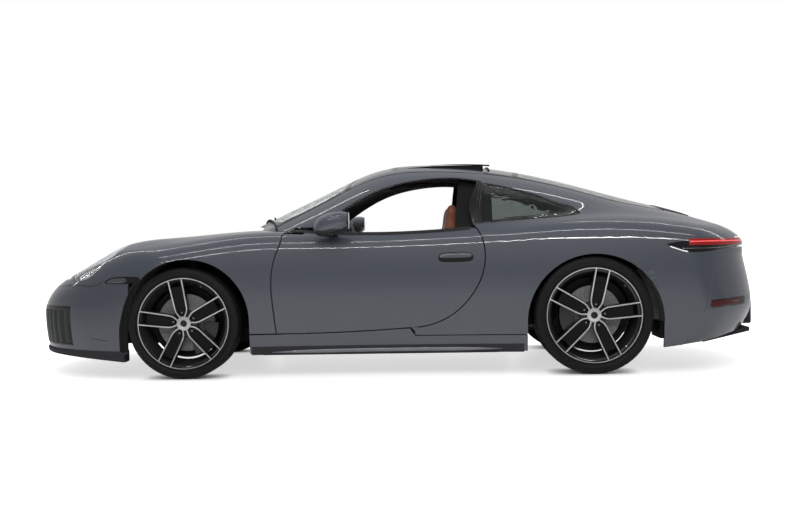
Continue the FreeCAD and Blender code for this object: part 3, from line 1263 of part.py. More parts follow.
# Steering wheel and its shaft, on the left
lean = math.radians(RING_LEAN_SHARE * 90)
ring_centre = Vector(dash_x + size.dash_depth + size.dash_round + size.ring_back,
                     -size.seat_out, size.ring_height)
ring_axis = Vector(math.cos(lean), 0, math.sin(lean))
ring = Part.makeTorus(size.ring_radius, size.ring_wall, ring_centre, ring_axis)
hub = drum(size.ring_hub_radius, ring_centre - ring_axis * size.ring_hub_wall, ring_axis,
           size.ring_hub_wall)
bar = block(-size.spoke_bar / 2, size.spoke_bar / 2, -size.ring_radius, size.ring_radius,
            -size.spoke_bar / 2, size.spoke_bar / 2)
bar.rotate(Vector(0, 0, 0), across, -math.degrees(lean))
bar.translate(ring_centre - ring_axis * size.spoke_bar / 2)
shaft_length = size.ring_back + size.dash_round + size.column_depth
column = drum(size.column_radius, ring_centre - ring_axis * shaft_length, ring_axis,
              shaft_length - size.ring_hub_wall / 2)
dash = dash.cut(drum(size.column_radius + size.fit_gap, ring_centre - ring_axis *
                     (shaft_length + size.fit_gap), ring_axis, shaft_length))
keep("dashboard", dash)
keep("steering_wheel", ring.fuse(hub).fuse(bar).fuse(column))

# Mirrors, each on a foot on its door
mirror_x = station(MIRROR_SHARE)
shell = Part.makeSphere(size.mirror_wide / 2)
squash = FreeCAD.Matrix()
squash.scale(size.mirror_deep / size.mirror_wide, 1, size.mirror_high / size.mirror_wide)
mirror = shell.transformGeometry(squash)
mirror.translate(Vector(mirror_x, size.mirror_out, size.mirror_height))
mirror = mirror.cut(block(mirror_x + size.mirror_deep / 4, mirror_x + size.mirror_deep, 0,
                          size.body_width, 0, size.body_height))
foot_top = Vector(mirror_x, size.mirror_out - size.mirror_wide / 4, size.mirror_height)
foot_spot = cast(lower_body, Vector(mirror_x, size.mirror_foot_out, size.waist_height), upward)
foot_aim = foot_top - foot_spot
foot = drum(size.mirror_foot_radius, foot_spot - foot_aim.normalize() * size.mirror_foot_root,
            foot_aim, (foot_top - foot_spot).Length + size.mirror_foot_root)
keep_pair("mirror", main_solid(mirror.fuse(foot).cut(main_solid(door))))

# Exhaust
pipe_start = Vector(tail_x - size.pipe_length - size.pipe_radius, size.pipe_out,
                    size.pipe_height)
pipe = drum(size.pipe_radius, pipe_start, Vector(1, 0, 0), size.pipe_length)
pipe = pipe.cut(drum(size.pipe_radius - size.pipe_wall, pipe_start, Vector(1, 0, 0),
                     size.pipe_length))
box = block(engine_x + size.engine_length + size.fit_gap, pipe_start.x, -size.box_half_width,
            size.box_half_width, size.pipe_height - size.pipe_radius,
            size.pipe_height + size.pipe_radius)
keep("exhaust", box.fuse(pipe).fuse(mirrored(pipe)))

# Checks, then one file for each piece
doc.recompute()
for item in doc.Objects:
    if "Invalid" in item.State or "Error" in item.State:
        raise RuntimeError("failed object " + item.Label)
os.makedirs("parts", exist_ok=True)
for name, feature in parts.items():
    shape = feature.Shape
    if shape.isNull() or not shape.isValid() or not shape.Solids:
        raise RuntimeError("bad shape " + name)
    shape.exportStep("parts/%s.step" % name)
    print(name, len(shape.Solids), round(shape.Volume / 1e6, 2))
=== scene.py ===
"""Looks of a two-door coupe with its engine behind the rear axle.

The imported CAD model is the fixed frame. Painted panels and glass are copied from it,
divided finely and laid exactly on the body form, and every detail rides on a body of it.
X runs from the nose to the tail, Y to the car's right, Z up, in metres.
"""

from __future__ import annotations

import logging
import math
from dataclasses import dataclass, field
from enum import Enum
from typing import Callable, Iterable, Sequence

import bmesh
import bpy
import numpy as np
from mathutils import Matrix, Vector


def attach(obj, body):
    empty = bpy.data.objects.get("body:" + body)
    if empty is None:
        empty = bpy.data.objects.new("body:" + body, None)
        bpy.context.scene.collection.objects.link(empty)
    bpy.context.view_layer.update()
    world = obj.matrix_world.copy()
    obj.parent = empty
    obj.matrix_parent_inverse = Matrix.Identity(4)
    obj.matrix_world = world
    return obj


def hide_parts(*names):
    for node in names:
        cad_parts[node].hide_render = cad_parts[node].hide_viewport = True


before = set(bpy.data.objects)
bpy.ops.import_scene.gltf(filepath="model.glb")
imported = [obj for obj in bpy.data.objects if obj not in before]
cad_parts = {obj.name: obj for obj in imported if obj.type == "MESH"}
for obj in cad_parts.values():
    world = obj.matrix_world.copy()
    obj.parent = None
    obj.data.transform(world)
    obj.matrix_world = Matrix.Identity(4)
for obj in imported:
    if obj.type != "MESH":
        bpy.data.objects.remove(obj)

log = logging.getLogger("coupe")
SETTLE_STEPS = 6
FLATTEST_SLOPE = 0.05
HALVINGS = 30
Field = Callable[[np.ndarray], np.ndarray]
Point = tuple[float, float, float]


# ---------------------------------------------------------------- body form

class Body(Enum):
    """The moving bodies that pieces ride on."""

    SHELL = "shell"
    DOOR_LEFT = "door_left"
    DOOR_RIGHT = "door_right"
    BONNET = "bonnet"
    ENGINE_LID = "engine_lid"
    STEERING = "steering_wheel"


class FairCurve:
    """A natural cubic spline through points, straight beyond its two ends."""

    def __init__(self, points: Sequence[tuple[float, float]]) -> None:
        """Solves the bends at the points.

        Args:
            points: Pairs of place and level, in rising order of place.
        """
        self.xs = np.array([p[0] for p in points], float)
        self.ys = np.array([p[1] for p in points], float)
        gaps = np.diff(self.xs)
        count = len(self.xs)
        matrix, right = np.eye(count), np.zeros(count)
        for i in range(1, count - 1):
            matrix[i, i - 1:i + 2] = gaps[i - 1], 2 * (gaps[i - 1] + gaps[i]), gaps[i]
            slopes = np.diff(self.ys[i - 1:i + 2]) / gaps[i - 1:i + 1]
            right[i] = 6 * (slopes[1] - slopes[0])
        self.bend = np.linalg.solve(matrix, right)

    def __call__(self, x: np.ndarray | float) -> np.ndarray:
        """The level at x."""
        x = np.asarray(x, float)
        inside = np.clip(x, self.xs[0], self.xs[-1])
        k = np.clip(np.searchsorted(self.xs, inside) - 1, 0, len(self.xs) - 2)
        gap = self.xs[k + 1] - self.xs[k]
        a = (self.xs[k + 1] - inside) / gap
        b = (inside - self.xs[k]) / gap
        bow = (a ** 3 - a) * self.bend[k] + (b ** 3 - b) * self.bend[k + 1]
        level = a * self.ys[k] + b * self.ys[k + 1] + bow * gap * gap / 6
        pull = (3 * b * b - 1) * self.bend[k + 1] - (3 * a * a - 1) * self.bend[k]
        slope = (self.ys[k + 1] - self.ys[k]) / gap + pull * gap / 6
        return level + (x - inside) * slope


@dataclass
class BodyForm:
    """The car's outer form, as fields that are zero on the skin and below zero inside.

    The tables give shares: stations along the car, and parts of the height, of half the width
    or of an overhang. Rays that look for the skin from above start at the height within.
    """

    front_overhang: float = 1.027
    wheelbase: float = 2.450
    rear_overhang: float = 1.065
    half_width: float = 0.926
    height: float = 1.302
    shoulder_round: float = 0.100
    rail_round: float = 0.120
    nose_round: float = 0.120
    tail_round: float = 0.060
    waist: float = 0.580
    under: tuple[float, float] = (0.035, 0.400)
    over: tuple[float, float] = (0.055, 0.330)
    crest: tuple[float, float] = (0.650, 0.190)
    deck_crown: float = 0.035
    belt: float = 0.890
    belt_fade: float = 0.120
    glass_bow: float = 1.111
    glass_lean: float = 0.52
    roof_crown: float = 0.075
    roof_reach: float = 0.600
    corner_reach: float = 0.900
    nose_sweep: tuple[float, float] = (0.638, 3.55)
    tail_sweep: tuple[float, float] = (0.376, 3.82)
    within: float = 0.45

    ROOF = ((0.100, 0.661), (0.161, 0.714), (0.255, 0.796), (0.357, 0.885), (0.439, 0.955),
            (0.500, 0.987), (0.590, 1.000), (0.684, 0.994), (0.790, 0.971), (0.920, 0.921),
            (1.192, 0.837), (1.568, 0.743), (1.793, 0.672), (1.962, 0.611))
    DECK = ((-0.998, 0.376), (-0.852, 0.449), (-0.696, 0.503), (-0.511, 0.549),
            (-0.268, 0.595), (0.000, 0.636), (0.092, 0.664), (0.173, 0.682), (0.296, 0.687),
            (0.500, 0.689), (0.663, 0.699), (0.827, 0.717), (0.990, 0.733), (1.352, 0.718),
            (1.634, 0.680), (1.822, 0.641), (1.962, 0.607))
    CREST = ((-0.852, 0.000), (-0.657, 0.008), (-0.511, 0.035), (-0.365, 0.058),
             (-0.219, 0.054), (-0.024, 0.035), (0.092, 0.019), (0.173, 0.009),
             (0.296, 0.000), (0.500, 0.000))
    FLANK = ((-0.998, 0.972), (-0.560, 0.977), (0.000, 0.996), (0.173, 0.964),
             (0.378, 0.937), (0.582, 0.937), (0.745, 0.959), (0.908, 0.991), (1.000, 1.000),
             (1.352, 0.996), (1.634, 0.977), (1.962, 0.950))
    GLASS = ((0.133, 0.745), (0.296, 0.821), (0.418, 0.853), (0.582, 0.864), (0.745, 0.864),
             (0.908, 0.837), (1.164, 0.788), (1.540, 0.724), (1.915, 0.648))
    FILLET = ((0.092, 0.015), (0.704, 0.023), (0.867, 0.038), (0.990, 0.061),
              (1.352, 0.108), (1.915, 0.108))
    NOSE = ((0.038, 0.078), (0.115, 0.029), (0.192, 0.008), (0.307, 0.000), (0.384, 0.012),
            (0.461, 0.049), (0.614, 0.195))
    TAIL = ((0.077, 0.282), (0.115, 0.188), (0.154, 0.103), (0.207, 0.038), (0.276, 0.000),
            (0.384, 0.005), (0.476, 0.028), (0.538, 0.042), (0.599, 0.047), (0.653, 0.094),
            (0.768, 0.282))

    def __post_init__(self) -> None:
        """Works out the axles, the ends and the fair curves."""
        self.nose_x = -(self.front_overhang + self.wheelbase + self.rear_overhang) / 2
        self.front_axle = self.nose_x + self.front_overhang
        self.rear_axle = self.front_axle + self.wheelbase
        self.tail_x = self.rear_axle + self.rear_overhang
        self.roof = self.along(self.ROOF, self.height)
        self.deck = self.along(self.DECK, self.height)
        self.crest_rise = self.along(self.CREST, self.height)
        self.flank = self.along(self.FLANK, self.half_width)
        self.glass = self.along(self.GLASS, self.half_width)
        self.fillet = self.along(self.FILLET, self.height)
        self.nose_line = FairCurve([(z * self.height, x * self.front_overhang)
                                    for z, x in self.NOSE])
        self.tail_line = FairCurve([(z * self.height, x * self.rear_overhang)
                                    for z, x in self.TAIL])

    def station(self, share: float) -> float:
        """The place along the car of a station: -1 nose, 0 and 1 axles, 2 tail."""
        if share < 0:
            return self.front_axle + share * self.front_overhang
        if share < 1:
            return self.front_axle + share * self.wheelbase
        return self.rear_axle + (share - 1) * self.rear_overhang

    def along(self, shares: Sequence[tuple[float, float]], scale: float) -> FairCurve:
        """A fair curve along the car from a table of shares."""
        return FairCurve([(self.station(a), level * scale) for a, level in shares])

    @staticmethod
    def join(a: np.ndarray, b: np.ndarray, radius: np.ndarray | float) -> np.ndarray:
        """The greater of two fields, rounded where they meet."""
        overlap = np.maximum(radius - np.abs(a - b), 0.0) / radius
        return np.maximum(a, b) + overlap * overlap * radius / 4

    def lower(self, p: np.ndarray) -> np.ndarray:
        """Bonnet, flanks and deck, without the glasshouse."""
        x, out, z = p[..., 0], np.abs(p[..., 1]), p[..., 2]
        rise = z - self.waist
        tuck = np.where(rise < 0, self.under[0] * (rise / self.under[1]) ** 2,
                        self.over[0] * (rise / self.over[1]) ** 2)
        side = out - self.flank(x) + tuck
        bump = np.exp(-((out - self.crest[0]) / self.crest[1]) ** 2)
        top = (z - self.deck(x) - self.crest_rise(x) * bump
               + self.deck_crown * (out / self.half_width) ** 2)
        body = self.join(side, top, self.shoulder_round)
        sweep = self.nose_sweep[0] * (out / self.corner_reach) ** self.nose_sweep[1]
        return self.join(body, self.nose_x + sweep + self.nose_line(z) - x, self.nose_round)

    def tail(self, p: np.ndarray) -> np.ndarray:
        """The face of the tail."""
        out = np.abs(p[..., 1])
        sweep = self.tail_sweep[0] * (out / self.corner_reach) ** self.tail_sweep[1]
        return p[..., 0] - (self.tail_x - sweep - self.tail_line(p[..., 2]))

    def house(self, p: np.ndarray) -> np.ndarray:
        """Roof, windscreen, rear window and side glass."""
        x, out, z = p[..., 0], np.abs(p[..., 1]), p[..., 2]
        rise = z - self.belt
        below = np.clip(-rise, 0.0, self.belt_fade)
        above = np.maximum(rise, 0.0)
        lean = above - below + below * below / self.belt_fade / 2
        side = out - self.glass(x) + self.glass_lean * lean + above ** 2 / self.glass_bow / 2
        top = z - self.roof(x) + self.roof_crown * (out / self.roof_reach) ** 2
        return self.join(side, top, self.rail_round)

    def low(self, p: np.ndarray) -> np.ndarray:
        """The body without the glasshouse, closed at the tail."""
        return self.join(self.lower(p), self.tail(p), self.tail_round)

    def whole(self, p: np.ndarray) -> np.ndarray:
        """The whole outer form."""
        joined = -self.join(-self.lower(p), -self.house(p), self.fillet(p[..., 0]))
        return self.join(joined, self.tail(p), self.tail_round)

    @staticmethod
    def slope(skin: Field, p: np.ndarray, step: float = 2e-4) -> np.ndarray:
        """The outward direction of a field, as its gradient."""
        parts = []
        for axis in range(3):
            shift = np.zeros(3)
            shift[axis] = step
            parts.append((skin(p + shift) - skin(p - shift)) / (2 * step))
        return np.stack(parts, -1)

    def settle(self, skin: Field, p: np.ndarray, height: np.ndarray | float = 0.0
               ) -> np.ndarray:
        """Moves points along the field's slope until they lie height above the skin."""
        p = np.array(p, float)
        level = np.asarray(height, float)[..., None]
        for _ in range(SETTLE_STEPS):
            g = self.slope(skin, p)
            square = np.maximum((g * g).sum(-1, keepdims=True), FLATTEST_SLOPE)
            p -= (skin(p)[..., None] - level * np.sqrt(square)) * g / square
        return p

    @staticmethod
    def cast(skin: Field, start: np.ndarray, aim: np.ndarray, far: float = 1.9) -> np.ndarray:
        """The points where rays from inside the body leave it.

        Args:
            skin: The field whose zero is looked for.
            start: Points inside the body.
            aim: Unit directions.
            far: The longest way a ray goes.

        Returns:
            The points on the skin.
        """
        start, aim = np.broadcast_arrays(np.asarray(start, float), np.asarray(aim, float))
        near = np.zeros(start.shape[:-1])
        end = np.full(start.shape[:-1], far)
        for _ in range(HALVINGS):
            middle = (near + end) / 2
            inside = skin(start + aim * middle[..., None]) < 0
            near = np.where(inside, middle, near)
            end = np.where(inside, end, middle)
        return start + aim * near[..., None]

    def side_spot(self, x: np.ndarray, z: np.ndarray, side: int, skin: Field | None = None
                  ) -> np.ndarray:
        """Points of the skin seen from one side, at x and z."""
        x, z = np.broadcast_arrays(np.asarray(x, float), np.asarray(z, float))
        start = np.stack([x, np.zeros_like(x), z], -1)
        return self.cast(skin or self.whole, start, np.array([0.0, side, 0.0]))

    def top_spot(self, x: np.ndarray, y: np.ndarray, skin: Field | None = None) -> np.ndarray:
        """Points of the skin seen from above, at x and y."""
        x, y = np.broadcast_arrays(np.asarray(x, float), np.asarray(y, float))
        start = np.stack([x, y, np.full_like(x, self.within)], -1)
        return self.cast(skin or self.whole, start, np.array([0.0, 0.0, 1.0]))


form = BodyForm()


# ---------------------------------------------------------------- finishes

BUMP_STRENGTH = 0.35
COAT_ROUGHNESS = 0.03


def set_inputs(node: bpy.types.Node, values: dict[str | int, object]) -> None:
    """Sets the values of a node's inputs."""
    for socket, value in values.items():
        node.inputs[socket].default_value = value


def new_node(tree: bpy.types.NodeTree, kind: str, values: dict[str | int, object] | None = None,
             operation: str = "") -> bpy.types.Node:
    """A new node.

    Args:
        tree: The tree that it goes into.
        kind: Its type.
        values: Values for its inputs.
        operation: What it works out, where its type asks for that.

    Returns:
        The node.
    """
    node = tree.nodes.new(kind)
    if operation:
        node.operation = operation
    set_inputs(node, values or {})
    return node


def wire(tree: bpy.types.NodeTree, *links: tuple) -> None:
    """Joins nodes; each link is a node, its output, the next node and that one's input."""
    for source, out, target, into in links:
        tree.links.new(source.outputs[out], target.inputs[into])
class Texture(Enum):
    """The fine relief of a finish."""

    NONE = "none"
    ORANGE_PEEL = "orange_peel"
    MOULDED = "moulded"
    GRAIN = "grain"
    BRUSHED = "brushed"
    CAST = "cast"
    WEAVE = "weave"


@dataclass(frozen=True)
class Finish:
    """A finish, and the node tree that shows it."""

    name: str
    colour: Point
    roughness: float
    metallic: float = 0.0
    coat: float = 0.0
    transmission: float = 0.0
    glow: float = 0.0
    relief: Texture = Texture.MOULDED
    vary: float = 0.15
    patch: float = 6.0
    relief_scale: float = 700.0
    relief_depth: float = 0.0002
    sheen: float = 0.0
    specular: float = 0.5

    def material(self) -> bpy.types.Material:
        """The Blender material, made once."""
        found = bpy.data.materials.get(self.name)
        if found:
            return found
        made = bpy.data.materials.new(self.name)
        made.use_nodes = True
        tree = made.node_tree
        shader = tree.nodes["Principled BSDF"]
        set_inputs(shader, {"Metallic": self.metallic, "Coat Weight": self.coat,
                            "Coat Roughness": COAT_ROUGHNESS,
                            "Transmission Weight": self.transmission,
                            "Sheen Weight": self.sheen, "Specular IOR Level": self.specular})
        if self.glow:
            set_inputs(shader, {"Emission Color": (*self.colour, 1.0),
                                "Emission Strength": self.glow})
        place = new_node(tree, "ShaderNodeTexCoord")
        cloud = new_node(tree, "ShaderNodeTexNoise", {"Scale": self.patch, "Detail": 6.0})
        ramp = new_node(tree, "ShaderNodeValToRGB")
        low, high = ramp.color_ramp.elements[0], ramp.color_ramp.elements[1]
        low.position, high.position = 0.3, 0.7
        low.color = (*[c * (1 - self.vary) for c in self.colour], 1.0)
        high.color = (*[min(c * (1 + self.vary), 1.0) for c in self.colour], 1.0)
        wear = new_node(tree, "ShaderNodeMapRange",
                        {"To Min": max(self.roughness * (1 - self.vary), 0.0),
                         "To Max": min(self.roughness * (1 + self.vary), 1.0)})
        wire(tree, (place, "Object", cloud, "Vector"), (cloud, "Fac", ramp, "Fac"),
             (ramp, "Color", shader, "Base Color"), (cloud, "Fac", wear, "Value"),
             (wear, "Result", shader, "Roughness"))
        if self.relief is not Texture.NONE:
            self.add_relief(tree, place, shader)
        return made

    def add_relief(self, tree: bpy.types.NodeTree, place: bpy.types.Node,
                   shader: bpy.types.Node) -> None:
        """Adds the fine bumps of the finish."""
        height = "Fac"
        if self.relief is Texture.GRAIN:
            bumps, height = new_node(tree, "ShaderNodeTexVoronoi"), "Distance"
            bumps.feature = "DISTANCE_TO_EDGE"
        elif self.relief is Texture.WEAVE:
            bumps = new_node(tree, "ShaderNodeTexWave", {"Distortion": 1.5})
        else:
            bumps = new_node(tree, "ShaderNodeTexNoise", {"Detail": 3.0})
        set_inputs(bumps, {"Scale": self.relief_scale})
        bump = new_node(tree, "ShaderNodeBump", {"Strength": BUMP_STRENGTH,
                                                 "Distance": self.relief_depth})
        wire(tree, (place, "Object", bumps, "Vector"), (bumps, height, bump, "Height"),
             (bump, "Normal", shader, "Normal"))
        if self.relief is Texture.ORANGE_PEEL:
            wire(tree, (bump, "Normal", shader, "Coat Normal"))


PAINT = Finish("slate_paint", (0.052, 0.059, 0.076), 0.42, coat=1.0, relief=Texture.ORANGE_PEEL,
               vary=0.03, patch=900.0, relief_scale=120.0, relief_depth=0.000006)
GLOSS_BLACK = Finish("gloss_black", (0.006, 0.006, 0.007), 0.12, coat=1.0,
                     relief=Texture.ORANGE_PEEL, relief_scale=90.0, relief_depth=0.00001)
BLACK_TRIM = Finish("black_trim", (0.010, 0.010, 0.011), 0.5, specular=0.3)
RUBBER = Finish("seal_rubber", (0.007, 0.007, 0.007), 0.6, relief_scale=900.0, specular=0.2)
GLASS = Finish("tinted_glass", (0.62, 0.68, 0.67), 0.0, transmission=1.0, relief=Texture.NONE,
               vary=0.0)
DARK_GLASS = Finish("dark_glass", (0.33, 0.36, 0.345), 0.0, transmission=1.0,
                    relief=Texture.NONE, vary=0.0)
LENS = Finish("clear_lens", (0.93, 0.95, 0.96), 0.02, transmission=1.0, relief=Texture.NONE,
              vary=0.0)
RED_LENS = Finish("red_lens", (0.100, 0.006, 0.010), 0.08, coat=1.0, relief=Texture.NONE,
                  vary=0.1)
RED_GLOW = Finish("red_glow", (0.80, 0.10, 0.10), 0.2, glow=0.55, relief=Texture.NONE, vary=0.05)
DARK_RED = Finish("reflector_red", (0.060, 0.004, 0.007), 0.35, vary=0.1, specular=0.4)
SMOKED = Finish("smoked_lens", (0.010, 0.008, 0.009), 0.06, coat=1.0, relief=Texture.NONE)
TYRE = Finish("tyre_rubber", (0.0065, 0.0065, 0.0068), 0.55, vary=0.25, patch=20.0,
              relief_scale=450.0, relief_depth=0.0004, specular=0.25)
# Dark finish of the rims and the lamp housings, and the painted shade of the discs' drilled holes.
RIM_DARK_AND_HOLE_SHADE = Finish("rim_dark_and_hole_shade", (0.009, 0.009, 0.010), 0.30, metallic=0.0, coat=0.4,
                  relief=Texture.ORANGE_PEEL, relief_depth=0.00002)
ROOF_GLASS = Finish("roof_glass", (0.004, 0.004, 0.005), 0.10, relief=Texture.NONE,
                    specular=0.25)
WEB_BLACK = Finish("web_black", (0.004, 0.004, 0.004), 0.5, specular=0.2)
RIM_INNER = Finish("rim_inner", (0.030, 0.031, 0.034), 0.35, metallic=0.6)
MACHINED = Finish("machined_edge", (0.66, 0.66, 0.67), 0.34, metallic=0.75,
                  relief=Texture.BRUSHED, relief_scale=900.0, relief_depth=0.00003)
DISC = Finish("disc_iron", (0.17, 0.17, 0.175), 0.38, metallic=0.85, relief=Texture.BRUSHED,
              relief_scale=500.0, relief_depth=0.0001, vary=0.2)
CALIPER = Finish("caliper_black", (0.012, 0.012, 0.013), 0.3, coat=0.6)
STEEL = Finish("bare_steel", (0.30, 0.30, 0.31), 0.35, metallic=0.9, relief=Texture.BRUSHED)
CHASSIS = Finish("chassis_coat", (0.030, 0.031, 0.033), 0.6, relief=Texture.CAST,
                 relief_scale=260.0)
ALLOY_CAST = Finish("cast_alloy", (0.33, 0.335, 0.34), 0.5, metallic=0.8, relief=Texture.CAST,
                    relief_scale=220.0, relief_depth=0.0005)
LEATHER = Finish("cognac_leather", (0.235, 0.072, 0.030), 0.48, relief=Texture.GRAIN,
                 relief_scale=420.0, relief_depth=0.0006, vary=0.16, patch=9.0, sheen=0.15)
BLACK_LEATHER = Finish("black_leather", (0.020, 0.019, 0.018), 0.5, relief=Texture.GRAIN,
                       relief_scale=420.0, relief_depth=0.0005)
THREAD = Finish("seam_thread", (0.36, 0.20, 0.11), 0.7)
CARPET = Finish("carpet", (0.018, 0.018, 0.019), 0.95, relief_scale=1200.0,
                relief_depth=0.001, sheen=0.3)
HEADLINING = Finish("headlining", (0.028, 0.028, 0.029), 0.9, relief=Texture.WEAVE,
                    relief_scale=900.0)
SATIN_METAL = Finish("satin_metal", (0.45, 0.455, 0.46), 0.32, metallic=1.0,
                     relief=Texture.BRUSHED)
REFLECTOR = Finish("lamp_reflector", (0.78, 0.80, 0.82), 0.12, metallic=1.0,
                   relief=Texture.NONE)
# Glowing white: the headlamps' own light, and on the tail lamps' hooks a painted highlight.
LAMP_WHITE_AND_PAINTED_HIGHLIGHT = Finish("lamp_white_and_painted_highlight", (0.80, 0.83, 0.87), 0.3, glow=0.15, relief=Texture.NONE,
                    vary=0.03)
MARKER = Finish("marker_lens", (0.060, 0.063, 0.070), 0.08, coat=1.0, relief=Texture.NONE)
FLAP = Finish("intake_flap", (0.024, 0.029, 0.029), 0.4, specular=0.3)
# Light grey of the sill blade: a painted highlight along the sill.
SILL_BLADE_PAINTED_HIGHLIGHT = Finish("sill_blade_painted_highlight", (0.16, 0.17, 0.19), 0.35, coat=0.5)
BELT = Finish("belt_webbing", (0.012, 0.012, 0.013), 0.8, relief=Texture.WEAVE)
POLISHED = Finish("polished_steel", (0.62, 0.61, 0.60), 0.14, metallic=1.0,
                  relief=Texture.BRUSHED, relief_depth=0.00003)
PLATE = Finish("blank_plate_white", (0.74, 0.74, 0.73), 0.4, vary=0.03)
SCREEN = Finish("screen_glass", (0.010, 0.012, 0.016), 0.08, coat=1.0, relief=Texture.NONE)


# ---------------------------------------------------------------- mesh tools

def finish_object(name: str, mesh: bpy.types.Mesh, finishes: Sequence[Finish],
                  body: str, stands_for: Sequence[str] = ()) -> bpy.types.Object:
    """Links a mesh as a piece, dresses it and rides it on its body.

    Args:
        name: The piece's name.
        mesh: Its mesh, already in place.
        finishes: Its finishes, by material index.
        body: The body that it rides on.
        stands_for: CAD nodes that it replaces.

    Returns:
        The piece.
    """
    piece = bpy.data.objects.new(name, mesh)
    bpy.context.scene.collection.objects.link(piece)
    for index, finish in enumerate(finishes):
        if index < len(mesh.materials):
            mesh.materials[index] = finish.material()
        else:
            mesh.materials.append(finish.material())
    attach(piece, body)
    if stands_for:
        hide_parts(*stands_for)
    log.info("%s: %d faces on %s", name, len(mesh.polygons), body)
    return piece


@dataclass
class MeshDraft:
    """Vertices and faces that are gathered before they become one mesh."""

    spots: list[Point] = field(default_factory=list)
    faces: list[tuple[int, ...]] = field(default_factory=list)
    tints: list[int] = field(default_factory=list)

    def add(self, spots: Iterable[Sequence[float]], faces: Iterable[Sequence[int]],
            tint: int = 0) -> None:
        """Adds a patch of vertices and faces with one material index."""
        base = len(self.spots)
        self.spots.extend(tuple(float(c) for c in s) for s in spots)
        for face in faces:
            self.faces.append(tuple(base + i for i in face))
            self.tints.append(tint)

    def add_grid(self, grid: np.ndarray, tints: Sequence[int] | int = 0, closed_u: bool = False,
                 closed_v: bool = False, caps: bool = False) -> None:
        """Adds rows of points as quads.

        Args:
            grid: The rows of points.
            tints: The material index, or one for each run between two columns.
            closed_u: Whether the last row joins the first.
            closed_v: Whether the last column joins the first.
            caps: Whether one face closes the first row and one the last.
        """
        count, width = grid.shape[:2]
        runs = width if closed_v else width - 1
        shades = [tints] * runs if isinstance(tints, int) else tints[:runs]
        base = len(self.spots)
        self.spots.extend(tuple(s) for s in grid.reshape(-1, 3).tolist())
        for i in range(count if closed_u else count - 1):
            here, there = base + i * width, base + (i + 1) % count * width
            for j, shade in enumerate(shades):
                b = (j + 1) % width
                self.faces.append((here + j, there + j, there + b, here + b))
                self.tints.append(shade)
        if caps:
            last = base + (count - 1) * width
            self.faces += [tuple(range(base, base + width)),
                           tuple(range(last + width - 1, last - 1, -1))]
            self.tints += [shades[0]] * 2

    def add_lathe(self, profile: Sequence[tuple[float, float]], centre: Point, outboard: int,
                  segments: int = 96, tints: Sequence[int] | int = 0, closed: bool = True) -> None:
        """Adds a profile of radius and depth turned about an axle along Y."""
        turns = np.radians(360.0 * np.arange(segments) / segments)
        radii, depths = np.array(profile, float).T
        grid = np.stack([centre[0] + np.outer(np.cos(turns), radii),
                         np.broadcast_to(centre[1] + outboard * depths, (segments, len(radii))),
                         centre[2] + np.outer(np.sin(turns), radii)], -1)
        self.add_grid(grid, tints, closed_u=True, closed_v=closed)

    def add_sweep(self, path: np.ndarray, section: np.ndarray, up: np.ndarray | Point = (0, 0, 1),
                  tints: Sequence[int] | int = 0, loop: bool = False,
                  scales: Sequence[float] | None = None) -> None:
        """Adds a closed section swept along a path, with its ends closed.

        Args:
            path: The points of the path.
            section: The section's points, sideways and upward of the path.
            up: The upward direction, one for all or one a point.
            tints: The material index, or one for each side of the section.
            loop: Whether the path closes on itself.
            scales: How large the section is at each point of the path.
        """
        path, section = np.asarray(path, float), np.asarray(section, float)
        if loop:
            ahead = np.roll(path, -1, 0) - np.roll(path, 1, 0)
        else:
            ahead = np.gradient(path, axis=0)
        ahead /= np.linalg.norm(ahead, axis=1, keepdims=True)
        ups = np.broadcast_to(np.asarray(up, float), path.shape)
        aside = np.cross(ahead, ups)
        aside /= np.maximum(np.linalg.norm(aside, axis=1, keepdims=True), 1e-9)
        rise = np.cross(aside, ahead)
        size = np.ones(len(path)) if scales is None else np.asarray(scales, float)
        grid = (path[:, None] + size[:, None, None] *
                (aside[:, None] * section[None, :, 0:1] + rise[:, None] * section[None, :, 1:2]))
        self.add_grid(grid, tints, closed_u=loop, closed_v=True, caps=not loop)

    def add_shell(self, top: np.ndarray, foot: np.ndarray, tint: int = 0) -> None:
        """Adds a closed plate between two grids of the same size."""
        nu, nv = top.shape[:2]
        base = len(self.spots)
        self.spots.extend(tuple(s) for s in top.reshape(-1, 3).tolist())
        self.spots.extend(tuple(s) for s in foot.reshape(-1, 3).tolist())
        low = base + nu * nv
        for i in range(nu - 1):
            for j in range(nv - 1):
                a, b, c, d = i * nv + j, (i + 1) * nv + j, (i + 1) * nv + j + 1, i * nv + j + 1
                self.faces.append((base + a, base + b, base + c, base + d))
                self.faces.append((low + d, low + c, low + b, low + a))
        rim = ([j for j in range(nv)] + [i * nv + nv - 1 for i in range(1, nu)]
               + [(nu - 1) * nv + j for j in range(nv - 2, -1, -1)]
               + [i * nv for i in range(nu - 2, 0, -1)])
        for k, a in enumerate(rim):
            b = rim[(k + 1) % len(rim)]
            self.faces.append((base + a, base + b, low + b, low + a))
        self.tints.extend([tint] * (len(self.faces) - len(self.tints)))

    def add_band(self, skin: Field, path: np.ndarray, widths: np.ndarray | float,
                 height: float, sink: float = 0.003, tint: int = 0, rows: int = 5) -> None:
        """Adds a closed band that lies on the body form along a path.

        Args:
            skin: The field that it lies on.
            path: The points of its middle line.
            widths: Its width, one or one a point.
            height: How far its middle stands above the skin.
            sink: How far it goes below the skin.
            tint: The material index.
            rows: Points across it.
        """
        path = form.settle(skin, path)
        ahead = np.gradient(path, axis=0)
        normal = form.slope(skin, path)
        aside = np.cross(normal, ahead)
        aside /= np.linalg.norm(aside, axis=1, keepdims=True)
        wide = np.broadcast_to(np.asarray(widths, float), (len(path),))
        across = np.linspace(-0.5, 0.5, rows)
        grid = path[:, None] + aside[:, None] * (across[None, :] * wide[:, None])[..., None]
        lift = height * (1 - 0.8 * np.abs(2 * across) ** 4)
        top = form.settle(skin, grid, np.broadcast_to(lift, grid.shape[:2]))
        self.add_shell(top, form.settle(skin, grid, -sink), tint)

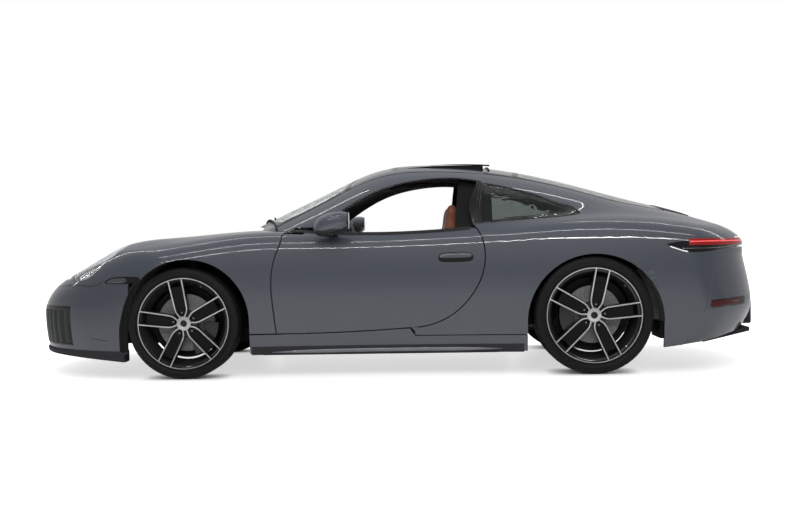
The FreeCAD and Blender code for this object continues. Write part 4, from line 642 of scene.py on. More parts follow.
    def add_patch(self, skin: Field, outline: np.ndarray, height: float, sink: float = 0.004,
                  tint: int = 0, rings: int = 5, crown: float = 0.0) -> None:
        """Adds a closed patch that lies on the body form inside an outline.

        Args:
            skin: The field that it lies on.
            outline: The points round it, near the skin.
            height: How far it stands above the skin.
            sink: How far it goes below the skin.
            tint: The material index.
            rings: Rings of points between its middle and its edge.
            crown: How much higher its middle stands.
        """
        outline = np.asarray(outline, float)
        middle = outline.mean(0)
        shares = np.linspace(0, 1, rings + 1)[1:]
        rows = middle + (outline - middle)[None] * shares[:, None, None]
        level = height + crown * (1 - shares ** 2)
        level[-1] = height * 0.3
        top = form.settle(skin, rows, np.broadcast_to(level[:, None], rows.shape[:2]))
        count = len(outline)
        peak = form.settle(skin, middle[None], height + crown)
        foot = form.settle(skin, outline, -sink)
        deep = form.settle(skin, middle[None], -sink)
        spots = np.concatenate([peak, top.reshape(-1, 3), foot, deep])
        faces = [(0, 1 + k, 1 + (k + 1) % count) for k in range(count)]
        for ring in range(rings):
            for k in range(count):
                a, b = 1 + ring * count + k, 1 + ring * count + (k + 1) % count
                faces.append((a, a + count, b + count, b))
        last = 1 + (rings + 1) * count
        faces += [(last, last - count + (k + 1) % count, last - count + k) for k in range(count)]
        self.add(spots.tolist(), faces, tint)

    def add_side_patch(self, skin: Field, outline: np.ndarray, side: int, *shape: float) -> None:
        """Adds a patch inside an outline of places along the car and heights."""
        self.add_patch(skin, form.side_spot(outline[:, 0], outline[:, 1], side, skin), *shape)

    def add_box(self, low: Point, high: Point, tint: int = 0) -> None:
        """Adds a box between two corners."""
        self.add([(x, y, z) for x in (low[0], high[0]) for y in (low[1], high[1])
                  for z in (low[2], high[2])],
                 [(0, 1, 3, 2), (4, 6, 7, 5), (0, 4, 5, 1), (2, 3, 7, 6), (0, 2, 6, 4),
                  (1, 5, 7, 3)], tint)

    def add_draft(self, other: MeshDraft, move: Matrix) -> None:
        """Adds another draft, moved, with its own material indices."""
        base = len(self.spots)
        self.spots.extend(tuple(move @ Vector(s)) for s in other.spots)
        self.faces.extend(tuple(base + i for i in face) for face in other.faces)
        self.tints.extend(other.tints)

    def mesh(self, name: str, bevel: float = 0.0, sharp: float = 38.0,
             merge: float = 1e-5) -> bpy.types.Mesh:
        """The gathered mesh, its doubles merged and its faces turned outward.

        Args:
            name: The mesh's name.
            bevel: How wide the sharp edges are rounded, in metres.
            sharp: The angle above which an edge stays sharp.
            merge: How near two vertices are one.

        Returns:
            The mesh.
        """
        bm = bmesh.new()
        made = [bm.verts.new(s) for s in self.spots]
        for face, tint in zip(self.faces, self.tints):
            try:
                patch = bm.faces.new([made[i] for i in dict.fromkeys(face)])
            except ValueError:
                continue
            patch.material_index = tint
        bmesh.ops.remove_doubles(bm, verts=bm.verts, dist=merge)
        bmesh.ops.recalc_face_normals(bm, faces=bm.faces)
        if bevel:
            edges = [e for e in bm.edges
                     if len(e.link_faces) == 2 and e.calc_face_angle(0.0) > math.radians(sharp)]
            bmesh.ops.bevel(bm, geom=edges, offset=bevel, segments=2, affect="EDGES",
                            clamp_overlap=True, profile=0.7)
        mesh = bpy.data.meshes.new(name)
        bm.to_mesh(mesh)
        bm.free()
        mesh.shade_smooth()
        mesh.set_sharp_from_angle(angle=math.radians(sharp))
        return mesh
    def piece(self, name: str, finishes: Sequence[Finish], body: str, slot: str,
              stands_for: Sequence[str] = (), **shape: float) -> bpy.types.Object:
        """The gathered mesh as a piece of that name.

        Args:
            name: The name of the piece and of its mesh.
            finishes: Its finishes, by material index.
            body: The body that it rides on.
            slot: The record's material slot; not used.
            stands_for: CAD nodes that it replaces.
            **shape: How wide the sharp edges are rounded and the rest that mesh() asks for.

        Returns:
            The piece.
        """
        return finish_object(name, self.mesh(name, **shape), finishes, body, stands_for)


ORIGIN = (0.0, 0.0, 0.0)
SIDES = ((-1, "left"), (1, "right"))


def facing_back(x: float, y: float, z: float) -> Matrix:
    """The move that turns a lathe's axle backward and puts it in its place."""
    return Matrix(((0, 1, 0, x), (1, 0, 0, y), (0, 0, 1, z), (0, 0, 0, 1)))


def facing_up(x: float, y: float, z: float) -> Matrix:
    """The move that turns a lathe's axle upward and puts it in its place."""
    return Matrix(((1, 0, 0, x), (0, 0, 1, y), (0, 1, 0, z), (0, 0, 0, 1)))
def oval(width: float, height: float, count: int = 16, power: float = 2.0) -> np.ndarray:
    """A closed oval section, squarer as power grows."""
    turns = np.linspace(0, 2 * math.pi, count, endpoint=False)
    c, s = np.cos(turns), np.sin(turns)
    return np.stack([width / 2 * np.sign(c) * np.abs(c) ** (2 / power),
                     height / 2 * np.sign(s) * np.abs(s) ** (2 / power)], -1)


def rounded(corners: Sequence[Sequence[float]], times: int = 3) -> np.ndarray:
    """A closed outline whose corners are cut again and again until they are round."""
    spots = np.array(corners, float)
    for _ in range(times):
        after = np.roll(spots, -1, 0)
        spots = np.stack([spots * 0.8 + after * 0.2, spots * 0.2 + after * 0.8], 1)
        spots = spots.reshape(-1, spots.shape[-1])
    return spots


def smooth_path(points: Sequence[Sequence[float]], count: int) -> np.ndarray:
    """Points spaced evenly on a spline through a few given ones."""
    spots = np.array(points, float)
    lengths = np.concatenate([[0], np.cumsum(np.linalg.norm(np.diff(spots, axis=0), axis=1))])
    curves = [FairCurve(list(zip(lengths, spots[:, k]))) for k in range(spots.shape[1])]
    t = np.linspace(0, lengths[-1], count)
    return np.stack([curve(t) for curve in curves], -1)


# ---------------------------------------------------------------- painted panels and glass

@dataclass
class Panel:
    """A CAD panel copied, divided finely and laid on the body form.

    Edges longer than the pitch are divided, in a number of rounds. A face is an outer one if
    its vertices are near the skin and it looks along the skin's slope. Its vertices move onto
    the skin where they reach it.
    """

    node: str
    skin: Field
    body: str
    finish: Finish
    slot: str
    pitch: float = 0.026
    near: float = 0.0022
    turn: Matrix | None = None
    merge: float = 1.2e-5
    rounds: int = 5
    facing: float = 0.75
    reach: float = 0.004

    def build(self) -> bpy.types.Object:
        """Makes the panel, which stands for its node."""
        bm = bmesh.new()
        bm.from_mesh(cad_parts[self.node].data)
        bmesh.ops.remove_doubles(bm, verts=bm.verts, dist=self.merge)
        bmesh.ops.triangulate(bm, faces=bm.faces)
        for _ in range(self.rounds):
            outer = self.outer_faces(bm)
            edges = [e for e in bm.edges if e.calc_length() > self.pitch
                     and any(outer[f.index] for f in e.link_faces)]
            if not edges:
                break
            bmesh.ops.subdivide_edges(bm, edges=edges, cuts=1)
            bmesh.ops.triangulate(bm, faces=[f for f in bm.faces if len(f.verts) > 3])
            self.lay(bm)
        mesh = bpy.data.meshes.new(self.node + "_skin")
        outer = self.outer_faces(bm)
        bm.to_mesh(mesh)
        spots = self.local(np.array([v.co for v in bm.verts], float))
        slopes = form.slope(self.skin, spots)
        slopes /= np.linalg.norm(slopes, axis=1, keepdims=True)
        if self.turn is not None:
            slopes = slopes @ np.array(self.turn.to_3x3()).T
        bm.free()
        mesh.shade_smooth()
        corners = np.zeros(len(mesh.loops), np.int64)
        mesh.loops.foreach_get("vertex_index", corners)
        normals = np.zeros((len(mesh.loops), 3))
        for face in mesh.polygons:
            run = slice(face.loop_start, face.loop_start + face.loop_total)
            normals[run] = slopes[corners[run]] if outer[face.index] else face.normal
        mesh.normals_split_custom_set(normals.tolist())
        return finish_object(self.node + "_skin", mesh, [self.finish], self.body,
                             [self.node])

    def local(self, spots: np.ndarray) -> np.ndarray:
        """The points where they were before the panel was turned."""
        if self.turn is None:
            return spots
        back = np.array(self.turn.inverted())
        return spots @ back[:3, :3].T + back[:3, 3]

    def outer_faces(self, bm: bmesh.types.BMesh) -> list[bool]:
        """Which faces lie on the body form and look outward."""
        bm.verts.index_update()
        bm.faces.index_update()
        bm.normal_update()
        spots = self.local(np.array([v.co for v in bm.verts], float))
        on = np.abs(self.skin(spots)) < self.near
        middles = self.local(np.array([f.calc_center_median() for f in bm.faces], float))
        normals = np.array([f.normal for f in bm.faces], float)
        slopes = form.slope(self.skin, middles)
        if self.turn is not None:
            slopes = slopes @ np.array(self.turn.to_3x3()).T
        slopes /= np.maximum(np.linalg.norm(slopes, axis=1, keepdims=True), 1e-9)
        facing = (normals * slopes).sum(1) > self.facing
        return [bool(facing[f.index]) and all(on[v.index] for v in f.verts) for f in bm.faces]

    def lay(self, bm: bmesh.types.BMesh) -> None:
        """Moves the vertices of the outer faces onto the body form."""
        outer = self.outer_faces(bm)
        verts = sorted({v.index for f in bm.faces if outer[f.index] for v in f.verts})
        bm.verts.ensure_lookup_table()
        spots = self.local(np.array([bm.verts[i].co for i in verts], float))
        moved = form.settle(self.skin, spots)
        shift = np.linalg.norm(moved - spots, axis=1, keepdims=True)
        moved = np.where(shift < self.reach, moved, spots)
        if self.turn is not None:
            m = np.array(self.turn)
            moved = moved @ m[:3, :3].T + m[:3, 3]
        for i, spot in zip(verts, moved):
            bm.verts[i].co = spot


@dataclass
class Shell:
    """The painted panels and the glass.

    The sunroof lies between two shares of the wheelbase and is tilted: its rear edge stands
    above the roof on a dark frame.
    """

    sunroof: tuple[float, float] = (0.508, 0.764)
    tilt: float = 0.037
    frame_y: float = 0.404
    frame_thick: float = 0.008

    def build(self) -> None:
        """Makes every panel from its CAD node."""
        low, whole, house = form.low, form.whole, form.house
        moving = {body.value for body in Body}
        for node, skin in (("front_wings", low), ("sills", low), ("rear_quarters", whole),
                           ("roof_rails", house), ("roof", house), ("front_bumper", low),
                           ("rear_bumper", whole), ("door_left", low), ("door_right", low),
                           ("bonnet", low), ("engine_lid", whole)):
            body = node if node in moving else Body.SHELL.value
            Panel(node, skin, body, PAINT, "body_paint").build()
        Panel("windscreen", house, "shell", GLASS, "window_glass").build()
        Panel("rear_windows", whole, "shell", DARK_GLASS, "window_glass").build()
        Panel("tail_lamps", whole, "shell", SMOKED, "red_lens", pitch=0.014).build()
        first = form.station(self.sunroof[0])
        length = form.station(self.sunroof[1]) - first
        pivot = Vector((first, 0.0, float(form.roof(first))))
        turn = (Matrix.Translation(pivot) @ Matrix.Rotation(-self.tilt / length, 4, "Y")
                @ Matrix.Translation(-pivot))
        Panel("sunroof", house, "shell", ROOF_GLASS, "gloss_black", turn=turn).build()
        self.build_frame(first, length)

    def build_frame(self, first: float, length: float) -> None:
        """The dark frame between the tilted sunroof and the roof, with its edge and its foot."""
        draft = MeshDraft()
        x = np.linspace(first + 0.05, first + 0.93 * length, 30)
        for side in (-1, 1):
            rows = []
            for y in (self.frame_y, self.frame_y - self.frame_thick):
                foot = form.top_spot(x, np.full(30, side * y), form.house) - (0, 0, 0.012)
                head = foot + np.outer(self.tilt * (x - first) / length + 0.006, (0, 0, 1.0))
                rows.append(np.stack([foot, head], 1))
            draft.add_shell(rows[0], rows[1])
        x = np.linspace(first + 0.25, first + 0.995 * length, 30)
        for side in (-1, 1):
            spots = form.top_spot(x, np.full(30, side * self.frame_y), form.house)
            spots[:, 2] += self.tilt * (x - first) / length
            deep = np.linspace(0.0008, 0.0060, 30)[:, None] * (0, 0, 1.0)
            rows = np.stack([spots - deep, spots + 0.58 * deep], 1)
            draft.add_shell(rows, rows - (0, side * 0.010, 0))
        y = np.linspace(-0.40, 0.40, 20)
        foot = form.top_spot(np.full(20, x[-1]), y, form.house) - (0, 0, 0.010)
        rows = np.stack([foot, foot + (0, 0, 0.020)], 1)
        draft.add_shell(rows, rows - (self.frame_thick, 0, 0))
        draft.piece("sunroof_frame", [WEB_BLACK], "shell", "black_trim", merge=1e-6)


# ---------------------------------------------------------------- wheels

@dataclass
class WheelSet:
    """One wheel: tyre with its tread, rim with five twin blades, and the brake disc."""

    label: str
    side: int
    centre: Point
    tyre_radius: float
    half_tyre: float
    rim_radius: float
    first_pair: float
    segments: int = 120
    blade_face: float = 0.0075
    blade_back: float = 0.018
    blade_deep: float = 0.034
    disc_sink: float = 0.076
    disc_thick: float = 0.058
    hub_rise: float = 0.056
    bolt_circle: float = 0.065
    blocks: int = 64
    block_deep: float = 0.0075
    vanes: int = 30

    def __post_init__(self) -> None:
        """Works out the names and the depths that follow from the tyre."""
        self.side_name = "left" if self.side < 0 else "right"
        self.body = f"{self.label}_wheel_{self.side_name}"
        self.half_rim = self.half_tyre - 0.009
        self.hub_front = self.half_rim - self.disc_sink + self.hub_rise
        self.pairs = [self.first_pair + 72.0 * k for k in range(5)]

    def node(self, part: str) -> str:
        """The CAD node of one part of this wheel."""
        return f"{self.label}_{part}_{self.side_name}"

    def place(self, r: np.ndarray, w: np.ndarray, depth: np.ndarray, turn: float) -> np.ndarray:
        """Points of the wheel's own frame, at a turn in degrees, put in the car's frame."""
        a = math.radians(turn)
        x = r * math.cos(a) - w * math.sin(a)
        z = r * math.sin(a) + w * math.cos(a)
        return np.stack([self.centre[0] + x, self.centre[1] + self.side * depth,
                         self.centre[2] + z], -1)

    def build(self) -> None:
        """Makes the parts of the wheel."""
        self.build_tyre()
        self.build_rim()
        self.build_disc()

    def build_tyre(self) -> None:
        """The tyre's carcass with its grooves, and the blocks of its shoulders."""
        big, half, bead = self.tyre_radius, self.half_tyre, self.rim_radius
        depth = big - bead
        half_profile = [(bead - 0.012, half - 0.020), (bead - 0.002, half - 0.0135),
                        (bead + 0.004, half - 0.0125), (bead + 0.009, half - 0.0135),
                        (bead + 0.011, half - 0.010), (bead + 0.016, half - 0.0045),
                        (bead + 0.38 * depth, half - 0.0008), (bead + 0.44 * depth, half),
                        (bead + 0.49 * depth, half - 0.0002), (bead + 0.52 * depth, half - 0.002),
                        (bead + 0.56 * depth, half - 0.0022), (big - 0.020, half - 0.0045),
                        (big - 0.013, half - 0.0075), (big - 0.007, half - 0.0125),
                        (big - 0.0035, half - 0.019), (big - 0.0052, half - 0.0225),
                        (big - 0.0052, half - 0.041), (big - 0.0030, half - 0.043)]
        inner = half - 0.045
        tread = []
        for groove in (0.72, 0.26):
            place = inner * groove
            tread += [(big - 0.0008, place + 0.0052), (big - 0.0065, place + 0.0040),
                      (big - 0.0065, place - 0.0040), (big - 0.0003, place - 0.0052)]
        crown = half_profile + [(big - 0.0012, inner)] + tread
        profile = crown + [(r, -d) for r, d in reversed(crown)]
        draft = MeshDraft()
        draft.add_lathe(profile, self.centre, self.side, self.segments)
        draft.piece(self.node("tyre") + "_carcass", [TYRE], self.body, "tyre",
                    [self.node("tyre")], sharp=32.0)
        self.build_blocks()

    def build_blocks(self) -> None:
        """The shoulder blocks of the tread, repeated by Geometry Nodes."""
        big, half = self.tyre_radius, self.half_tyre
        pitch = 2 * math.pi / self.blocks
        draft = MeshDraft()
        for sign in (1, -1):
            rows = []
            for t in np.linspace(-0.40, 0.40, 4):
                row = []
                for depth, lift in ((half - 0.0200, -0.0030), (half - 0.0245, -0.0014),
                                    (half - 0.0330, -0.0006), (half - 0.0405, -0.0004)):
                    skew = t * pitch + 0.10 * (half - depth)
                    r = big + lift
                    row.append((r * math.sin(skew), sign * depth, r * math.cos(skew)))
                rows.append(row)
            top = np.array(rows)
            base = top.copy()
            base[..., [0, 2]] *= (big - self.block_deep) / big
            draft.add_grid(top)
            draft.add_grid(base[::-1])
            rim_top = np.concatenate([top[0], top[1:, -1], top[-1, -2::-1], top[-2:0:-1, 0]])
            rim_base = np.concatenate([base[0], base[1:, -1], base[-1, -2::-1],
                                       base[-2:0:-1, 0]])
            draft.add_grid(np.stack([rim_top, rim_base]), closed_v=True)
        block = draft.mesh(self.node("tread") + "_block", sharp=40.0)
        ring = RingOfCopies(block, self.blocks, self.centre, [TYRE])
        mesh = ring.mesh(self.node("tread") + "_blocks")
        finish_object(self.node("tread") + "_blocks", mesh, [TYRE], self.body)

    def build_rim(self) -> None:
        """The barrel with its machined lip, ten blades in five pairs, and the hub."""
        edge, half, front = self.rim_radius, self.half_rim, self.hub_front
        lip = half - 0.0105
        draft = MeshDraft()
        outer = [(edge - 0.0120, lip - 0.016, 0), (edge - 0.0068, half - 0.0060, 0),
                 (edge - 0.0052, half - 0.0012, 1), (edge - 0.0008, half - 0.0006, 1),
                 (edge + 0.0008, half - 0.0022, 0), (edge + 0.0030, half - 0.0060, 0),
                 (edge + 0.0012, half - 0.010, 0), (edge - 0.014, half - 0.020, 0),
                 (edge - 0.014, -half + 0.020, 0), (edge + 0.0012, -half + 0.010, 0),
                 (edge + 0.0012, -half + 0.002, 0), (edge - 0.010, -half + 0.004, 2),
                 (edge - 0.022, -half + 0.030, 2), (edge - 0.026, -half * 0.45, 2),
                 (edge - 0.050, -half * 0.25, 2), (edge - 0.052, half * 0.10, 2),
                 (edge - 0.047, half * 0.34, 2), (edge - 0.030, half * 0.62, 2),
                 (edge - 0.0215, half * 0.78, 0)]
        draft.add_lathe([(r, d) for r, d, _ in outer], self.centre, self.side, self.segments,
                        [t for _, _, t in outer])
        face, back, deep = self.blade_face / 2, self.blade_back / 2, self.blade_deep
        section = np.array([(-face, 0.0), (face, 0.0), (face + 0.0016, -0.0022),
                            (back, -deep), (-back, -deep), (-face - 0.0016, -0.0022)])
        reach = edge - 0.0045
        knee = 0.31 * edge
        route = [(0.036, 0.011), (0.050, 0.0205), (0.066, 0.0295), (knee, 0.0345),
                 (knee + 0.020, 0.0358), (0.5 * (knee + reach), 0.0378), (reach, 0.0400)]
        for turn in self.pairs:
            edges = []
            for sign in (1, -1):
                bent = smooth_path([(r, sign * w) for r, w in route], 22)
                depth = np.interp(bent[:, 0], [0.04, 0.09, reach],
                                  [front, front - 0.0015, half - 0.0018])
                path = self.place(bent[:, 0], bent[:, 1], depth, turn)
                draft.add_sweep(path, section, (0.0, float(self.side), 0.0), [1, 0, 0, 0, 0, 0])
                web = bent[:18]
                edges.append([self.place(web[:, 0], web[:, 1], depth[:18] - sink, turn)
                              for sink in (0.011, 0.024)])
            shares = np.linspace(0, 1, 5)[None, :, None]
            plates = [edges[0][i][:, None] * (1 - shares) + edges[1][i][:, None] * shares
                      for i in (0, 1)]
            draft.add_shell(plates[0], plates[1], 4)
        hub = [(0.0, front + 0.0030, 3), (0.0190, front + 0.0030, 3), (0.0205, front + 0.0020, 1),
               (0.0225, front + 0.0032, 1), (0.0400, front + 0.0016, 1), (0.0430, front - 0.002, 0),
               (0.0445, front - 0.018, 0), (0.0790, front - 0.026, 0), (0.0840, front - 0.034, 0),
               (0.0840, front - 0.050, 0), (0.0, front - 0.050, 0)]
        draft.add_lathe([(r, d) for r, d, _ in hub], self.centre, self.side, 60,
                        [t for _, _, t in hub], closed=False)
        draft.piece(self.node("rim") + "_blades",
                    [RIM_DARK_AND_HOLE_SHADE, MACHINED, RIM_INNER, GLOSS_BLACK, WEB_BLACK], self.body, "alloy",
                    [self.node("rim")], sharp=30.0, merge=1e-7)
        self.build_bolts()

    def build_bolts(self) -> None:
        """Five wheel bolts with hexagon heads, and the valve."""
        draft = MeshDraft()
        for turn in self.pairs:
            spot = self.place(np.array(self.bolt_circle), np.array(0.0),
                              np.array(self.hub_front - 0.024), turn)
            for radius, low, high, sides in ((0.0135, -0.010, 0.000, 24), (0.0095, 0.0, 0.012, 6),
                                             (0.0055, 0.012, 0.0135, 12)):
                draft.add_lathe([(0.0, low), (radius, low), (radius, high), (0.0, high)],
                                tuple(spot), self.side, sides, closed=False)
        spot = self.place(np.array(self.rim_radius - 0.030), np.array(0.0),
                          np.array(self.hub_front - 0.010), self.first_pair + 36.0)
        draft.add_lathe([(0.0, -0.03), (0.005, -0.03), (0.005, 0.0), (0.004, 0.008),
                         (0.0, 0.008)], tuple(spot), self.side, 14, closed=False)
        draft.piece(self.node("rim") + "_bolts", [STEEL], self.body, "steel_parts", sharp=30.0,
                    merge=1e-7)

    def build_disc(self) -> None:
        """A vented disc: two friction rings, vanes, dark dots painted as the shade of drilled
        holes, a hat and a dust shield.
        """
        face = self.half_rim - self.disc_sink
        back = face - self.disc_thick
        draft = MeshDraft()
        for low, high in ((0.0, 0.0105), (0.0215, 0.032)):
            draft.add_lathe([(0.098, back + low), (0.1705, back + low), (0.172, back + low + 0.001),
                             (0.172, back + high - 0.001), (0.1705, back + high),
                             (0.098, back + high)], self.centre, self.side, 96)
        draft.add_lathe([(0.0262, face), (0.078, face - 0.0005), (0.084, face - 0.006),
                         (0.0865, back + 0.034), (0.100, back + 0.0315), (0.100, back + 0.0225),
                         (0.082, back + 0.0225), (0.076, face - 0.010), (0.0262, face - 0.010)],
                        self.centre, self.side, 72)
        draft.piece(self.node("disc") + "_rings", [DISC], self.body, "disc_iron",
                    [self.node("disc")], sharp=30.0, merge=1e-7)
        vane = MeshDraft()
        vane.add_box((-0.0022, back + 0.0105, 0.104), (0.0022, back + 0.0215, 0.168))
        # Dark dots on the disc face stand for drilled holes: painted shade.
        for radius, skew in ((0.112, 0.0), (0.125, 0.045), (0.138, 0.09), (0.151, 0.135),
                             (0.162, 0.17)):
            place = (radius * math.sin(skew), back + 0.032, radius * math.cos(skew))
            vane.add_lathe([(0.0, 0.0), (0.0024, 0.0), (0.0024, 0.00035), (0.0, 0.00035)],
                           place, 1, 10, 1, closed=False)
        shield = MeshDraft()
        rim = 0.213 if self.label == "front" else 0.222
        shield.add_lathe([(0.100, back - 0.012), (0.176, back - 0.012), (rim, back - 0.004),
                          (rim, back - 0.006), (0.176, back - 0.014), (0.100, back - 0.014)],
                         self.centre, self.side, 96)
        holder = f"knuckle_{self.side_name}" if self.label == "front" else "shell"
        shield.piece(self.node("disc") + "_shield", [WEB_BLACK], holder, "steel_parts",
                     merge=1e-7)
        vanes = RingOfCopies(vane.mesh(self.node("disc") + "_vane", merge=1e-7), self.vanes,
                             self.centre, [DISC, RIM_DARK_AND_HOLE_SHADE], self.side)
        finish_object(self.node("disc") + "_vanes", vanes.mesh(self.node("disc") + "_vanes"),
                      [DISC, RIM_DARK_AND_HOLE_SHADE], self.body)


@dataclass
class RingOfCopies:
    """Copies of a small mesh, turned about an axle along Y by Geometry Nodes."""

    pattern: bpy.types.Mesh
    count: int
    centre: Point
    finishes: Sequence[Finish]
    side: int = 1

    def mesh(self, name: str) -> bpy.types.Mesh:
        """The copies as one plain mesh.

        Args:
            name: The mesh's name.

        Returns:
            The mesh, in the car's frame.
        """
        for finish in self.finishes:
            self.pattern.materials.append(finish.material())
        carrier = bpy.data.objects.new(name + "_carrier", self.pattern)
        bpy.context.scene.collection.objects.link(carrier)
        modifier = carrier.modifiers.new("copies", "NODES")
        modifier.node_group = tree = self.tree(name)
        for item in tree.interface.items_tree:
            if item.item_type == "SOCKET" and item.in_out == "INPUT" and item.name == "Count":
                modifier[item.identifier] = self.count
        bpy.context.view_layer.update()
        solved = carrier.evaluated_get(bpy.context.evaluated_depsgraph_get())
        mesh = bpy.data.meshes.new_from_object(solved)
        mesh.name = name
        bpy.data.objects.remove(carrier)
        flip = Matrix.Diagonal((1.0, float(self.side), 1.0, 1.0))
        mesh.transform(Matrix.Translation(Vector(self.centre)) @ flip)
        if self.side < 0:
            mesh.flip_normals()
        return mesh

    def tree(self, name: str) -> bpy.types.NodeTree:
        """The node tree that lays the copies round the axle."""
        tree = bpy.data.node_groups.new(name + "_tree", "GeometryNodeTree")
        face = tree.interface
        face.new_socket("Geometry", in_out="INPUT", socket_type="NodeSocketGeometry")
        face.new_socket("Count", in_out="INPUT", socket_type="NodeSocketInt")
        face.new_socket("Geometry", in_out="OUTPUT", socket_type="NodeSocketGeometry")
        source, result = new_node(tree, "NodeGroupInput"), new_node(tree, "NodeGroupOutput")
        line = new_node(tree, "GeometryNodeMeshLine", {"Offset": ORIGIN})
        points = new_node(tree, "GeometryNodeMeshToPoints")
        index = new_node(tree, "GeometryNodeInputIndex")
        share = new_node(tree, "ShaderNodeMath", operation="DIVIDE")
        turn = new_node(tree, "ShaderNodeMath", {1: 2 * math.pi}, "MULTIPLY")
        spin = new_node(tree, "ShaderNodeCombineXYZ")
        copies = new_node(tree, "GeometryNodeInstanceOnPoints")
        real = new_node(tree, "GeometryNodeRealizeInstances")
        wire(tree, (source, "Count", line, "Count"), (line, "Mesh", points, "Mesh"),
             (index, "Index", share, 0), (source, "Count", share, 1), (share, 0, turn, 0),
             (turn, 0, spin, "Y"), (points, "Points", copies, "Points"),
             (source, "Geometry", copies, "Instance"), (spin, "Vector", copies, "Rotation"),
             (copies, "Instances", real, "Geometry"), (real, "Geometry", result, "Geometry"))
        return tree


# ---------------------------------------------------------------- lamps and trim

@dataclass
class HeadLamps:
    """Two oval front lamps: lens, bezel, projector and light guides.

    The rays that find the lens start behind it, inside the wing.
    """

    station_share: float = -0.525
    out: float = 0.662
    height: float = 0.702
    long: float = 0.205
    broad: float = 0.128
    aim: Point = (-0.50, 0.20, 0.84)
    rise: Point = (0.86, 0.0, 0.50)
    count: int = 72
    rings: int = 14
    behind: float = 0.25

    def frame_of(self, side: int) -> tuple[np.ndarray, np.ndarray, np.ndarray, np.ndarray]:
        """The lamp's centre, the way it looks, and the oval's long and short ways."""
        aim = np.array(self.aim, float) / np.linalg.norm(self.aim)
        rise = np.array(self.rise, float)
        rise -= aim * rise.dot(aim)
        rise /= np.linalg.norm(rise)
        centre = np.array([form.station(self.station_share), self.out, self.height])
        flip = np.array([1.0, float(side), 1.0])
        return centre * flip, aim * flip, rise * flip, np.cross(aim, rise) * flip

    def oval_points(self, side: int, share: float, sink: float) -> np.ndarray:
        """Points round the oval at a share of its size, sunk along the way it looks."""
        centre, aim, rise, broad = self.frame_of(side)
        turns = np.linspace(0, 2 * math.pi, self.count, endpoint=False)
        spots = (centre + rise * (self.long * share * np.cos(turns))[:, None]
                 + broad * (self.broad * share * np.sin(turns))[:, None])
        return form.cast(form.low, spots - aim * self.behind, aim) - aim * sink

    def dish(self, draft: MeshDraft, side: int, profile: Sequence[tuple[float, float]],
             tints: Sequence[int], wall: float = 0.003) -> None:
        """Adds a closed dish whose rings follow the lens at shares and depths."""
        _, aim, _, _ = self.frame_of(side)
        rows = [self.oval_points(side, share, sink) for share, sink in profile]
        for near, far, tint in zip(rows, rows[1:], tints):
            pair = np.stack([near, far], 1)
            pair = np.concatenate([pair, pair[:1]])
            draft.add_shell(pair, pair - aim * wall, tint)

    def build(self) -> None:
        """Makes the lenses, which stand for the CAD lamps, and what is behind them."""
        lens, inside = MeshDraft(), MeshDraft()
        for side in (-1, 1):
            shares = np.linspace(0.004, 0.995, self.rings)
            outer, inner = (np.stack([self.oval_points(side, t, sink) for t in shares], 1)
                            for sink in (0.0, 0.0035))
            lens.add_shell(np.concatenate([outer, outer[:1]]), np.concatenate([inner, inner[:1]]))
            self.dish(inside, side, [(0.990, 0.0045), (0.955, 0.0060), (0.925, 0.012),
                                     (0.90, 0.030), (0.80, 0.036), (0.77, 0.052), (0.45, 0.058),
                                     (0.01, 0.060)], [0, 0, 0, 0, 1, 0, 0])
            self.guides(inside, side)
            self.modules(inside, side)
        lens.piece("headlamp_lenses", [LENS], "shell", "lamp_lens", ["headlamps"], sharp=60.0,
                   merge=1e-4)
        inside.piece("headlamp_inside", [RIM_DARK_AND_HOLE_SHADE, REFLECTOR, LAMP_WHITE_AND_PAINTED_HIGHLIGHT, SATIN_METAL], "shell",
                     "lamp_lens", sharp=35.0, merge=1e-6)

    def guides(self, draft: MeshDraft, side: int) -> None:
        """Adds the ring of light and the fins of the bezel."""
        _, aim, _, _ = self.frame_of(side)
        loop = self.oval_points(side, 0.855, 0.028)
        draft.add_sweep(loop, oval(0.007, 0.007, 8), aim, 2, loop=True)
        for share, sink in ((0.60, 0.050), (0.70, 0.047)):
            loop = self.oval_points(side, share, sink)
            draft.add_sweep(loop[8:65], oval(0.003, 0.012, 8), aim, 3)

    def modules(self, draft: MeshDraft, side: int) -> None:
        """Adds a round projector and six small lamps round it."""
        centre, aim, rise, broad = self.frame_of(side)
        base = form.cast(form.low, centre - aim * self.behind, aim) - aim * 0.056
        turn = Matrix((tuple(rise), tuple(broad), tuple(aim))).transposed().to_4x4()
        small = [(0.090, 0.0, 0.019, 0.014), (-0.090, 0.0, 0.019, 0.014)]
        small += [(along, across, 0.017, 0.012) for across in (0.058, -0.058)
                  for along in (0.052, -0.052)]
        for along, across, radius, deep in [(0.0, 0.0, 0.036, 0.024)] + small:
            spot = base + rise * along + broad * across
            ring = MeshDraft()
            ring.add_lathe([(radius * 1.28, -0.010), (radius * 1.28, deep * 0.7),
                            (radius * 1.15, deep), (radius, deep * 0.8)], ORIGIN, 1, 28)
            dome = [(radius * math.cos(t), deep * 0.5 + radius * 0.45 * math.sin(t))
                    for t in np.linspace(0, math.pi / 2, 7)]
            ring.add_lathe([(0.0001, -0.008), (radius, -0.008)] + dome[:-1]
                           + [(0.0001, dome[-1][1])], ORIGIN, 1, 28,
                           [0] * 2 + [2 if deep < 0.02 else 1] * 7)
            move = Matrix.Translation(Vector(spot)) @ turn @ Matrix.Rotation(math.pi / 2, 4, "X")
            draft.add_draft(ring, move)


